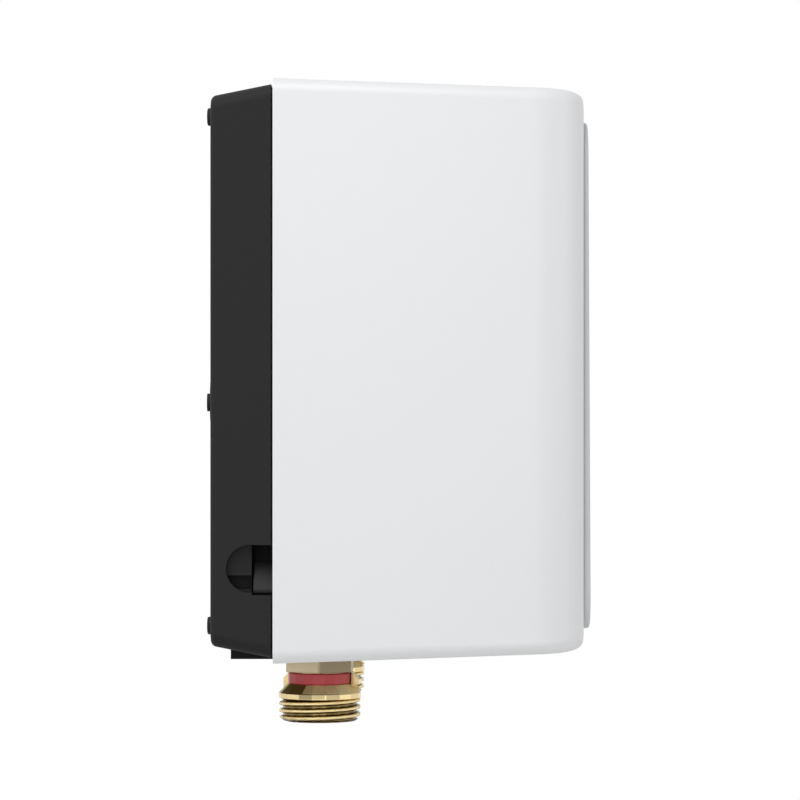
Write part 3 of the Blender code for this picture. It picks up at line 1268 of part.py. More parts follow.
def build_flow_switch_body():
    body = slab("flow_switch_body", drum_outline(), (DRUM_REAR, DRUM_FRONT), "FRONT")
    socket_top = DRUM_Z - DRUM_HALF - TOUCH_GAP
    join(body, rod("inlet_socket", spot(FITTING_X, FITTING_DEPTH, SOCKET_LOW), UP,
                   SOCKET_RADIUS, socket_top - SOCKET_LOW))
    join(body, box("socket_neck", (FITTING_X - NECK_HALF_WIDTH, FITTING_X + NECK_HALF_WIDTH),
                   (FITTING_DEPTH - NECK_HALF_WIDTH, DRUM_FRONT - OVERRUN),
                   (socket_top - OVERRUN, DRUM_Z - CHAMBER_RADIUS)))
    right = FITTING_X + DRUM_HALF
    join(body, rod("adjuster_boss", spot(right - OVERRUN, LINK_DEPTH, DRUM_Z), RIGHT,
                   ADJUSTER_BOSS_RADIUS, ADJUSTER_BOSS_LENGTH + OVERRUN, SMALL_ROUND_STEPS))
    cut(body, rod("chamber", spot(FITTING_X, CHAMBER_FLOOR, DRUM_Z), OUT, CHAMBER_RADIUS,
                  DRUM_FRONT - CHAMBER_FLOOR + OVERRUN))
    cut(body, rod("feed_way", spot(FITTING_X, FITTING_DEPTH, SPIGOT_TOP), UP, SPIGOT_BORE,
                  DRUM_Z - CHAMBER_RADIUS / 2 - SPIGOT_TOP, SMALL_ROUND_STEPS))
    left = FITTING_X - DRUM_HALF
    cut(body, rod("link_socket", spot(left - OVERRUN, LINK_DEPTH, LINK_Z), RIGHT,
                  LINK_RADIUS + LINK_CLEARANCE, LINK_SOCKET_DEPTH + OVERRUN))
    cut(body, rod("adjuster_way",
                  spot(right + ADJUSTER_BOSS_LENGTH + OVERRUN, LINK_DEPTH, DRUM_Z), -RIGHT,
                  ADJUSTER_RADIUS + ADJUSTER_CLEARANCE,
                  ADJUSTER_BOSS_LENGTH + ADJUSTER_LENGTH))
    for x, z in lid_screw_places():
        cut(body, rod("lid_screw_pilot", spot(x, DRUM_FRONT - SCREW_LENGTH, z), OUT,
                      SCREW_RADIUS + SCREW_CLEARANCE, SCREW_LENGTH * 2, SCREW_STEPS))
    socket_cuts(body, 1)
    finish(body, "flow_switch_body", "grey_plastic")


def lid_rear():
    return DRUM_FRONT + DIAPHRAGM_THICKNESS + TOUCH_GAP * 2


def build_lid():
    rear = lid_rear()
    lid = slab("flow_switch_lid", drum_outline(), (rear, rear + LID_THICKNESS), "FRONT")
    axis = spot(FITTING_X, 0.0, DRUM_Z)
    join(lid, turned("lid_dome", [
        (0.0, LID_GUIDE_FRONT), (LID_GUIDE_RADIUS, LID_GUIDE_FRONT),
        (LID_GUIDE_RADIUS, LID_DOME_FRONT), (LID_DOME_RADIUS - LID_DOME_DRAFT, LID_DOME_FRONT),
        (LID_DOME_RADIUS, rear + LID_THICKNESS / 2), (0.0, rear + LID_THICKNESS / 2)],
        axis, OUT, ROUND_STEPS, closed=False))
    half = SWITCH_HEIGHT / 2 + CRADLE_GAP
    for side in (-1, 1):
        low = DRUM_Z + side * half
        high = DRUM_Z + side * (half + CRADLE_WALL)
        join(lid, box("switch_cradle",
                      (FITTING_X - LID_DOME_RADIUS / 2, FITTING_X + LID_DOME_RADIUS / 2),
                      (LID_DOME_FRONT - LID_WALL / 2, SWITCH_REAR + SWITCH_DEPTH / 2), (low, high)))
        join(lid, box("cradle_shoulder",
                      (FITTING_X - LID_DOME_RADIUS / 2, FITTING_X + LID_DOME_RADIUS / 2),
                      (SWITCH_REAR - CRADLE_GAP - CRADLE_WALL, SWITCH_REAR - CRADLE_GAP),
                      (DRUM_Z + side * (half - CRADLE_WALL), DRUM_Z + side * (half + CRADLE_WALL / 2))))
    cut(lid, turned("lid_hollow", [
        (0.0, LID_DOME_FRONT - LID_WALL), (LID_DOME_RADIUS - LID_DOME_DRAFT - LID_WALL,
                                           LID_DOME_FRONT - LID_WALL),
        (LID_DOME_RADIUS - LID_WALL, rear - OVERRUN), (0.0, rear - OVERRUN)],
        axis, OUT, ROUND_STEPS, closed=False))
    cut(lid, rod("guide_way", spot(FITTING_X, rear, DRUM_Z), OUT,
                 PLUNGER_RADIUS + PLUNGER_CLEARANCE, LID_GUIDE_FRONT, SMALL_ROUND_STEPS))
    for x, z in lid_screw_places():
        cut(lid, rod("lid_screw_way", spot(x, rear - OVERRUN, z), OUT,
                     SCREW_RADIUS + SCREW_CLEARANCE, LID_THICKNESS + OVERRUN * 2, SCREW_STEPS))
    finish(lid, "flow_switch_lid", "grey_plastic")
    seat = rear + LID_THICKNESS + TOUCH_GAP
    for index, (x, z) in enumerate(lid_screw_places()):
        fixing = screw("lid_screw", spot(x, seat, z), -OUT, SCREW_LENGTH)
        finish(fixing, "lid_screw_" + str(index + 1), "steel")


def build_plunger():
    low = DRUM_FRONT + TOUCH_GAP
    disc = rod("diaphragm", spot(FITTING_X, low, DRUM_Z), OUT, DIAPHRAGM_RADIUS,
               DIAPHRAGM_THICKNESS, ROUND_STEPS)
    finish(disc, "diaphragm", "rubber")
    plate = low + DIAPHRAGM_THICKNESS + TOUCH_GAP
    front = plate + PLUNGER_PLATE_THICKNESS
    plunger = turned("switch_plunger", [
        (0.0, PLUNGER_TIP), (PLUNGER_RADIUS / 2, PLUNGER_TIP),
        (PLUNGER_RADIUS, PLUNGER_TIP - PLUNGER_RADIUS / 2), (PLUNGER_RADIUS, front),
        (PLUNGER_PLATE_RADIUS, front), (PLUNGER_PLATE_RADIUS, plate), (0.0, plate)],
        spot(FITTING_X, 0.0, DRUM_Z), OUT, SMALL_ROUND_STEPS, closed=False)
    finish(plunger, "switch_plunger", "pale_plastic")
    start = front + TOUCH_GAP + SPRING_WIRE_RADIUS
    end = LID_DOME_FRONT - LID_WALL - TOUCH_GAP - SPRING_WIRE_RADIUS
    count = SPRING_TURNS * SPRING_POINTS
    points = []
    for step in range(count + 1):
        turn = math.tau * step / SPRING_POINTS
        share = step / count
        points.append(spot(FITTING_X + SPRING_RADIUS * math.cos(turn), start + (end - start) * share,
                           DRUM_Z + SPRING_RADIUS * math.sin(turn)))
    gap = (end - start) / SPRING_TURNS - SPRING_WIRE_RADIUS * 2
    print("plunger spring, least gap between turns, mm:", round(gap * 1000, 2))
    finish(tube("plunger_spring", points, SPRING_WIRE_RADIUS, 1), "plunger_spring", "spring_steel")


def switch_tab_places():
    return [FITTING_X + share * SWITCH_TAB_PITCH for share in (-1, 0, 1)]


def build_microswitch():
    front = SWITCH_REAR + SWITCH_DEPTH
    switch = box("microswitch", (FITTING_X - SWITCH_LENGTH / 2, FITTING_X + SWITCH_LENGTH / 2),
                 (SWITCH_REAR, front), (DRUM_Z - SWITCH_HEIGHT / 2, DRUM_Z + SWITCH_HEIGHT / 2))
    for x in switch_tab_places():
        join(switch, box("switch_tab", (x - SWITCH_TAB_WIDTH / 2, x + SWITCH_TAB_WIDTH / 2),
                         (front - OVERRUN, front + SWITCH_TAB_LENGTH),
                         (DRUM_Z - SWITCH_TAB_THICKNESS / 2, DRUM_Z + SWITCH_TAB_THICKNESS / 2)))
    cut(switch, rod("button_way", spot(FITTING_X, SWITCH_REAR - OVERRUN, DRUM_Z), OUT,
                    BUTTON_RADIUS + BUTTON_CLEARANCE,
                    OVERRUN + BUTTON_SEAT_DEPTH + PLUNGER_TRAVEL + TOUCH_GAP, SMALL_ROUND_STEPS))
    finish(switch, "microswitch", "black_plastic")
    button = rod("microswitch_button", spot(FITTING_X, PLUNGER_TIP + TOUCH_GAP, DRUM_Z), OUT,
                 BUTTON_RADIUS, SWITCH_REAR + BUTTON_SEAT_DEPTH - PLUNGER_TIP - TOUCH_GAP,
                 SMALL_ROUND_STEPS)
    finish(button, "microswitch_button", "red_plastic")


def build_adjuster():
    outer = FITTING_X + DRUM_HALF + ADJUSTER_BOSS_LENGTH + TOUCH_GAP
    adjuster = turned("flow_adjuster", [
        (0.0, ADJUSTER_HEAD_LENGTH), (ADJUSTER_HEAD_RADIUS - ADJUSTER_SLOT_WIDTH / 2,
                                      ADJUSTER_HEAD_LENGTH),
        (ADJUSTER_HEAD_RADIUS, ADJUSTER_HEAD_LENGTH - ADJUSTER_SLOT_WIDTH / 2),
        (ADJUSTER_HEAD_RADIUS, 0.0), (ADJUSTER_RADIUS, 0.0),
        (ADJUSTER_RADIUS, ADJUSTER_RADIUS - ADJUSTER_LENGTH),
        (ADJUSTER_RADIUS / 2, -ADJUSTER_LENGTH), (0.0, -ADJUSTER_LENGTH)],
        spot(outer, LINK_DEPTH, DRUM_Z), RIGHT, ROUND_STEPS, closed=False)
    cut(adjuster, box("adjuster_slot",
                      (outer + ADJUSTER_HEAD_LENGTH - ADJUSTER_SLOT_DEPTH,
                       outer + ADJUSTER_HEAD_LENGTH + OVERRUN),
                      (LINK_DEPTH - ADJUSTER_SLOT_WIDTH / 2, LINK_DEPTH + ADJUSTER_SLOT_WIDTH / 2),
                      (DRUM_Z - ADJUSTER_HEAD_RADIUS * 2, DRUM_Z + ADJUSTER_HEAD_RADIUS * 2)))
    finish(adjuster, "flow_adjuster", "brass")


# Hot side

def build_link_pipes():
    for side, name in ((1, "cold_link_pipe"), (-1, "hot_link_pipe")):
        start = side * (BLOCK_HALF_WIDTH - LINK_SOCKET_DEPTH + TOUCH_GAP)
        if side > 0:
            end = FITTING_X - DRUM_HALF + LINK_SOCKET_DEPTH - TOUCH_GAP
        else:
            end = -FITTING_X + MANIFOLD_ARM_REACH - LINK_SOCKET_DEPTH + TOUCH_GAP
        length = abs(end - start)
        pipe = turned(name, [
            (LINK_RADIUS - LINK_WALL, length), (LINK_RADIUS, length), (LINK_RADIUS, 0.0),
            (LINK_RADIUS - LINK_WALL, 0.0)], spot(start, LINK_DEPTH, LINK_Z), RIGHT * side,
            ROUND_STEPS)
        finish(pipe, name, "copper")


def build_outlet_manifold():
    x = -FITTING_X
    body = turned("outlet_manifold", [
        (0.0, MANIFOLD_TOP), (MANIFOLD_RADIUS - LID_WALL, MANIFOLD_TOP),
        (MANIFOLD_RADIUS, MANIFOLD_TOP - LID_WALL), (MANIFOLD_RADIUS, SOCKET_LOW),
        (0.0, SOCKET_LOW)], spot(x, FITTING_DEPTH, 0.0), UP, ROUND_STEPS, closed=False)
    join(body, rod("outlet_arm", spot(x, LINK_DEPTH, LINK_Z), RIGHT, MANIFOLD_ARM_RADIUS,
                   MANIFOLD_ARM_REACH))
    join(body, box("cutout_pad", (x - CUTOUT_PAD_HALF, x + CUTOUT_PAD_HALF),
                   (FITTING_DEPTH, CUTOUT_PAD_FRONT),
                   (LINK_Z - CUTOUT_PAD_HALF, LINK_Z + CUTOUT_PAD_HALF)))
    cut(body, rod("hot_way", spot(x, FITTING_DEPTH, SPIGOT_TOP), UP, MANIFOLD_BORE,
                  MANIFOLD_TOP - LID_WALL * 2 - SPIGOT_TOP, ROUND_STEPS))
    cut(body, rod("arm_way", spot(x + MANIFOLD_ARM_REACH + OVERRUN, LINK_DEPTH, LINK_Z), -RIGHT,
                  LINK_RADIUS + LINK_CLEARANCE, LINK_SOCKET_DEPTH + OVERRUN))
    cut(body, rod("arm_feed", spot(x, LINK_DEPTH, LINK_Z), RIGHT, LINK_RADIUS - LINK_WALL,
                  MANIFOLD_ARM_REACH, SMALL_ROUND_STEPS))
    socket_cuts(body, -1)
    finish(body, "outlet_manifold", "grey_plastic")


def build_cutout():
    x = -FITTING_X
    seat = CUTOUT_PAD_FRONT + TOUCH_GAP
    front = seat + CUTOUT_LENGTH
    tip = front + CUTOUT_BOSS_LENGTH
    body = turned("thermal_cutout", [
        (0.0, tip), (CUTOUT_BOSS_RADIUS, tip), (CUTOUT_BOSS_RADIUS, front),
        (CUTOUT_RADIUS - CUTOUT_FLANGE_THICKNESS / 2, front),
        (CUTOUT_RADIUS, front - CUTOUT_FLANGE_THICKNESS / 2),
        (CUTOUT_RADIUS, seat + CUTOUT_FLANGE_THICKNESS), (CUTOUT_FLANGE_RADIUS,
                                                          seat + CUTOUT_FLANGE_THICKNESS),
        (CUTOUT_FLANGE_RADIUS, seat), (0.0, seat)],
        spot(x, 0.0, LINK_Z), OUT, ROUND_STEPS, closed=False)
    for side in (-1, 1):
        low = LINK_Z + side * (CUTOUT_RADIUS - OVERRUN)
        high = LINK_Z + side * (CUTOUT_RADIUS + CUTOUT_TAB_LENGTH)
        middle = (seat + front) / 2
        join(body, box("cutout_tab", (x - CUTOUT_TAB_WIDTH / 2, x + CUTOUT_TAB_WIDTH / 2),
                       (middle, middle + CUTOUT_TAB_THICKNESS), (low, high)))
    cut(body, rod("reset_way", spot(x, tip - RESET_SEAT - RESET_TRAVEL - TOUCH_GAP, LINK_Z), OUT,
                  RESET_RADIUS + RESET_CLEARANCE, RESET_SEAT * 2, SMALL_ROUND_STEPS))
    finish(body, "thermal_cutout", "pale_plastic")
    button = turned("reset_button", [
        (0.0, tip + RESET_PROUD), (RESET_RADIUS * (1 - RESET_CROWN_SHARE), tip + RESET_PROUD),
        (RESET_RADIUS, tip + RESET_PROUD - RESET_RADIUS * RESET_CROWN_SHARE),
        (RESET_RADIUS, tip - RESET_SEAT),
        (0.0, tip - RESET_SEAT)], spot(x, 0.0, LINK_Z), OUT, SMALL_ROUND_STEPS, closed=False)
    finish(button, "reset_button", "red_plastic")


# Heating block

def block_foot_places():
    middle = (BLOCK_LOW + BLOCK_HIGH) / 2
    half = (BLOCK_HIGH - BLOCK_LOW) / 2 * FOOT_Z_SHARE
    reach = BLOCK_HALF_WIDTH + FOOT_REACH
    return [(side * reach, middle + end * half) for side in (-1, 1) for end in (-1, 1)]


def block_outline(grow):
    centre = (0.0, (BLOCK_REAR + BLOCK_FRONT) / 2)
    return rounded_rectangle(BLOCK_HALF_WIDTH + grow, (BLOCK_FRONT - BLOCK_REAR) / 2 + grow / 2,
                             BLOCK_CORNER, centre)


def cap_screw_places():
    middle = (BLOCK_REAR + BLOCK_FRONT) / 2
    reach_x = BLOCK_HALF_WIDTH + FLANGE_REACH - CAP_SCREW_INSET
    reach = (BLOCK_FRONT - BLOCK_REAR) / 2 - CAP_SCREW_INSET + FLANGE_REACH / 2
    return [(x, middle + side * reach) for x in (-reach_x, 0.0, reach_x) for side in (-1, 1)]


def build_block():
    block = slab("heating_block", block_outline(0.0), (BLOCK_LOW, BLOCK_HIGH), "TOP")
    join(block, slab("block_flange", block_outline(FLANGE_REACH),
                     (BLOCK_HIGH - FLANGE_HEIGHT, BLOCK_HIGH), "TOP"))
    span = BLOCK_HALF_WIDTH * 2 - BLOCK_RIB_MARGIN * 2
    for index in range(BLOCK_RIB_COUNT):
        x = -span / 2 + span * index / (BLOCK_RIB_COUNT - 1)
        join(block, box("block_rib", (x - BLOCK_RIB_WIDTH / 2, x + BLOCK_RIB_WIDTH / 2),
                        (BLOCK_FRONT - OVERRUN, BLOCK_FRONT + BLOCK_RIB_HEIGHT),
                        (BLOCK_LOW + BLOCK_RIB_MARGIN, BLOCK_HIGH - FLANGE_HEIGHT - BLOCK_RIB_MARGIN)))
    for x, z in block_foot_places():
        inward = math.copysign(FOOT_REACH + OVERRUN, -x)
        join(block, slab("block_foot", [
            (x + inward, z - FOOT_RADIUS), (x + inward, z + FOOT_RADIUS),
            *arc((x, z), FOOT_RADIUS, 90.0, 90.0 - math.copysign(180.0, x), CORNER_STEPS * 2)],
            (BLOCK_REAR, BLOCK_REAR + FOOT_THICKNESS), "FRONT"))
        join(block, screw("foot_screw", spot(x, BLOCK_REAR + FOOT_THICKNESS - TOUCH_GAP, z), -OUT,
                          FOOT_THICKNESS + SCREW_LENGTH / 2))
    middle = (BLOCK_REAR + BLOCK_FRONT) / 2
    for side in (-1, 1):
        cut(block, rod("coil_bore", spot(side * BORE_X, middle, BORE_FLOOR), UP, BORE_RADIUS,
                       BLOCK_HIGH - BORE_FLOOR + OVERRUN))
        cut(block, rod("block_port", spot(side * (BLOCK_HALF_WIDTH + OVERRUN), LINK_DEPTH, LINK_Z),
                       -RIGHT * side, LINK_RADIUS + LINK_CLEARANCE, LINK_SOCKET_DEPTH + OVERRUN))
        cut(block, rod("port_feed", spot(side * BLOCK_HALF_WIDTH, LINK_DEPTH, LINK_Z),
                       -RIGHT * side, LINK_RADIUS - LINK_WALL, BLOCK_HALF_WIDTH - BORE_X,
                       SMALL_ROUND_STEPS))
    for x, depth in cap_screw_places():
        cut(block, rod("cap_pilot", spot(x, depth, BLOCK_HIGH - SCREW_LENGTH), UP,
                       SCREW_RADIUS + SCREW_CLEARANCE, SCREW_LENGTH * 2, SCREW_STEPS))
    finish(block, "heating_block", "grey_plastic")


def build_gasket():
    low = BLOCK_HIGH + TOUCH_GAP
    high = low + GASKET_THICKNESS
    gasket = slab("block_gasket", block_outline(FLANGE_REACH), (low, high), "TOP")
    middle = (BLOCK_REAR + BLOCK_FRONT) / 2
    for side in (-1, 1):
        cut(gasket, rod("gasket_hole", spot(side * BORE_X, middle, low - OVERRUN), UP, BORE_RADIUS,
                        GASKET_THICKNESS + OVERRUN * 2))
    for x, depth in cap_screw_places():
        cut(gasket, rod("gasket_screw_hole", spot(x, depth, low - OVERRUN), UP,
                        SCREW_RADIUS + SCREW_CLEARANCE, GASKET_THICKNESS + OVERRUN * 2,
                        SCREW_STEPS))
    finish(gasket, "block_gasket", "rubber")


def cap_low():
    return BLOCK_HIGH + GASKET_THICKNESS + TOUCH_GAP * 2


def stud_places():
    return [side * BORE_X + offset * STUD_OFFSET for side in (-1, 1) for offset in (-1, 1)]


def build_cap():
    low = cap_low()
    high = low + CAP_HEIGHT
    middle = (BLOCK_REAR + BLOCK_FRONT) / 2
    cap = slab("block_cap", block_outline(FLANGE_REACH), (low, low + CAP_HEIGHT / 2), "TOP")
    raised = rounded_rectangle(BLOCK_HALF_WIDTH - CAP_SCREW_INSET / 2, BORE_RADIUS + LID_WALL,
                               BLOCK_CORNER, (0.0, middle))
    join(cap, slab("cap_crown", raised, (low + CAP_HEIGHT / 4, high), "TOP"))
    channel = rounded_rectangle(BORE_X + BORE_RADIUS, BORE_RADIUS, BORE_RADIUS - TOUCH_GAP,
                                (0.0, middle))
    cut(cap, slab("cap_channel", channel, (low - OVERRUN, low + CAP_CHANNEL_HEIGHT), "TOP"))
    for x in stud_places():
        cut(cap, rod("stud_way", spot(x, middle, low), UP, STUD_RADIUS + STUD_HOLE_CLEARANCE,
                     CAP_HEIGHT + OVERRUN, SMALL_ROUND_STEPS))
    for x, depth in cap_screw_places():
        join(cap, screw("cap_screw", spot(x, depth, low + CAP_HEIGHT / 2 - TOUCH_GAP), -UP,
                        SCREW_LENGTH + CAP_HEIGHT / 2))
    finish(cap, "block_cap", "grey_plastic")


def coil_points(side):
    """Down one helix and straight back up its middle, as one unbroken wire."""
    middle = (BLOCK_REAR + BLOCK_FRONT) / 2
    centre_x = side * BORE_X
    count = COIL_TURNS * COIL_POINTS
    lead = cap_low() + CAP_CHANNEL_HEIGHT / 4
    points = [spot(centre_x + STUD_OFFSET, middle, lead)]
    for step in range(count + 1):
        turn = math.tau * step / COIL_POINTS
        height = COIL_HIGH + (COIL_LOW - COIL_HIGH) * step / count
        points.append(spot(centre_x + COIL_RADIUS * math.cos(turn),
                           middle + COIL_RADIUS * math.sin(turn), height))
    points.append(spot(centre_x + COIL_RADIUS / 2, middle, COIL_LOW - COIL_WIRE_RADIUS * 2))
    points.append(spot(centre_x, middle, COIL_LOW))
    points.append(spot(centre_x, middle, COIL_HIGH))
    points.append(spot(centre_x - STUD_OFFSET / 2, middle, (COIL_HIGH + BLOCK_HIGH) / 2))
    points.append(spot(centre_x - STUD_OFFSET, middle, BLOCK_HIGH))
    points.append(spot(centre_x - STUD_OFFSET, middle, lead))
    return points


def build_coils():
    pitch_gap = (COIL_HIGH - COIL_LOW) / COIL_TURNS - COIL_WIRE_RADIUS * 2
    middle_gap = COIL_RADIUS - COIL_WIRE_RADIUS * 2
    print("heating coils, least gap of a coil to itself, mm:",
          round(min(pitch_gap, middle_gap) * 1000, 2))
    for side, word in SIDES:
        coil = tube("heating_coil", coil_points(side), COIL_WIRE_RADIUS, 1)
        finish(coil, "heating_coil_" + word, "steel")


def build_studs():
    """Four studs with their nuts, and the strap that links the two inner ones."""
    middle = (BLOCK_REAR + BLOCK_FRONT) / 2
    low = cap_low() + CAP_CHANNEL_HEIGHT / 4 + TOUCH_GAP
    seat = cap_low() + CAP_HEIGHT + TOUCH_GAP
    strap_top = seat + STRAP_THICKNESS
    nut_low = strap_top + TOUCH_GAP
    top = cap_low() + CAP_HEIGHT + STUD_TOP_REACH
    for index, x in enumerate(stud_places()):
        stud = rod("terminal_stud", spot(x, middle, low), UP, STUD_RADIUS, top - low,
                   SMALL_ROUND_STEPS)
        join(stud, slab("stud_nut", hexagon((x, middle), NUT_ACROSS_FLATS, 30.0),
                        (nut_low, nut_low + NUT_HEIGHT), "TOP"))
        finish(stud, "terminal_stud_" + str(index + 1), "brass")
    inner_studs = stud_places()[1:3]
    outline = rounded_rectangle(inner_studs[1] + STRAP_HALF_WIDTH, STRAP_HALF_WIDTH,
                                STRAP_HALF_WIDTH - TOUCH_GAP, (0.0, middle), 3)
    strap = slab("bridge_strap", outline, (seat, strap_top), "TOP")
    for x in inner_studs:
        cut(strap, rod("strap_hole", spot(x, middle, seat - OVERRUN), UP,
                       STUD_RADIUS + STUD_HOLE_CLEARANCE, STRAP_THICKNESS + OVERRUN * 2,
                       SMALL_ROUND_STEPS))
    finish(strap, "bridge_strap", "copper")


# Electrical connections

def terminal_ways():
    return [TERMINAL_X + (index - (TERMINAL_WAYS - 1) / 2) * TERMINAL_PITCH
            for index in range(TERMINAL_WAYS)]


def build_terminal_block():
    floor = SHELL_BACK + SHELL_WALL + TOUCH_GAP
    front = floor + TERMINAL_BASE + TERMINAL_DEPTH
    half = TERMINAL_PITCH * TERMINAL_WAYS / 2
    body = box("terminal_block", (TERMINAL_X - half, TERMINAL_X + half), (floor, front),
               (TERMINAL_Z, TERMINAL_Z + TERMINAL_HEIGHT))
    soften(body, TERMINAL_EDGE, 1)
    for x in terminal_ways()[:-1]:
        groove = x + TERMINAL_PITCH / 2
        cut(body, box("way_groove", (groove - TERMINAL_EDGE, groove + TERMINAL_EDGE),
                      (floor + TERMINAL_BASE, front + OVERRUN),
                      (TERMINAL_Z - OVERRUN, TERMINAL_Z + TERMINAL_HEIGHT + OVERRUN)))
    entry_depth = front - TERMINAL_ENTRY_FRONT - TERMINAL_ENTRY_RADIUS
    middle = TERMINAL_Z + TERMINAL_HEIGHT / 2
    for x in terminal_ways():
        cut(body, rod("lower_entry", spot(x, entry_depth, TERMINAL_Z - OVERRUN), UP,
                      TERMINAL_ENTRY_RADIUS, TERMINAL_ENTRY_LENGTH + OVERRUN, SCREW_STEPS))
        cut(body, rod("upper_entry",
                      spot(x, entry_depth, TERMINAL_Z + TERMINAL_HEIGHT + OVERRUN), -UP,
                      TERMINAL_ENTRY_RADIUS, TERMINAL_ENTRY_LENGTH + OVERRUN, SCREW_STEPS))
        for way in (-1, 1):
            z = middle + way * TERMINAL_SCREW_Z
            cut(body, rod("screw_well", spot(x, front - TERMINAL_WELL_DEPTH, z), OUT,
                          TERMINAL_WELL_RADIUS, TERMINAL_WELL_DEPTH + OVERRUN, SCREW_STEPS))
            low = front - TERMINAL_WELL_DEPTH - TERMINAL_EDGE
            join(body, rod("clamp_screw", spot(x, low, z), OUT, TERMINAL_SCREW_RADIUS,
                           TERMINAL_WELL_DEPTH + TERMINAL_EDGE - TERMINAL_SCREW_DROP, SCREW_STEPS))
    finish(body, "terminal_block", "pale_plastic")


def build_grommet():
    back = SHELL_BACK
    front = SHELL_BACK + SHELL_WALL
    neck = GROMMET_HOLE_RADIUS - TOUCH_GAP
    high = front + TOUCH_GAP + GROMMET_FLANGE
    low = back - TOUCH_GAP - GROMMET_FLANGE * GROMMET_REAR_SHARE
    grommet = turned("cable_grommet", [
        (GROMMET_BORE, high), (GROMMET_RADIUS - GROMMET_FLANGE / 2, high),
        (GROMMET_RADIUS, high - GROMMET_FLANGE / 2), (GROMMET_RADIUS, front + TOUCH_GAP),
        (neck, front + TOUCH_GAP), (neck, back - TOUCH_GAP),
        (GROMMET_RADIUS - GROMMET_FLANGE / 2, back - TOUCH_GAP),
        (GROMMET_RADIUS - GROMMET_FLANGE / 2, low), (GROMMET_BORE, low)],
        spot(GROMMET_X, 0.0, GROMMET_Z), OUT, ROUND_STEPS)
    finish(grommet, "cable_grommet", "rubber")


def earth_seat():
    return EARTH_POST_FRONT + TOUCH_GAP * 2 + LUG_THICKNESS


def build_earth():
    low = EARTH_POST_FRONT + TOUCH_GAP
    lug = slab("earth_lug", circle((EARTH_X, EARTH_Z), LUG_RADIUS, SMALL_ROUND_STEPS),
               (low, low + LUG_THICKNESS), "FRONT")
    join(lug, box("lug_tail", (EARTH_X - LUG_RADIUS * 2, EARTH_X - LUG_RADIUS / 2),
                  (low, low + LUG_THICKNESS), (EARTH_Z - WIRE_RADIUS, EARTH_Z + WIRE_RADIUS)))
    cut(lug, rod("lug_hole", spot(EARTH_X, low - OVERRUN, EARTH_Z), OUT,
                 SCREW_RADIUS + SCREW_CLEARANCE, LUG_THICKNESS + OVERRUN * 2, SCREW_STEPS))
    finish(lug, "earth_lug", "brass")
    finish(frozen(screw("earth_screw", spot(EARTH_X, earth_seat(), EARTH_Z), -OUT)),
           "earth_screw", "steel")


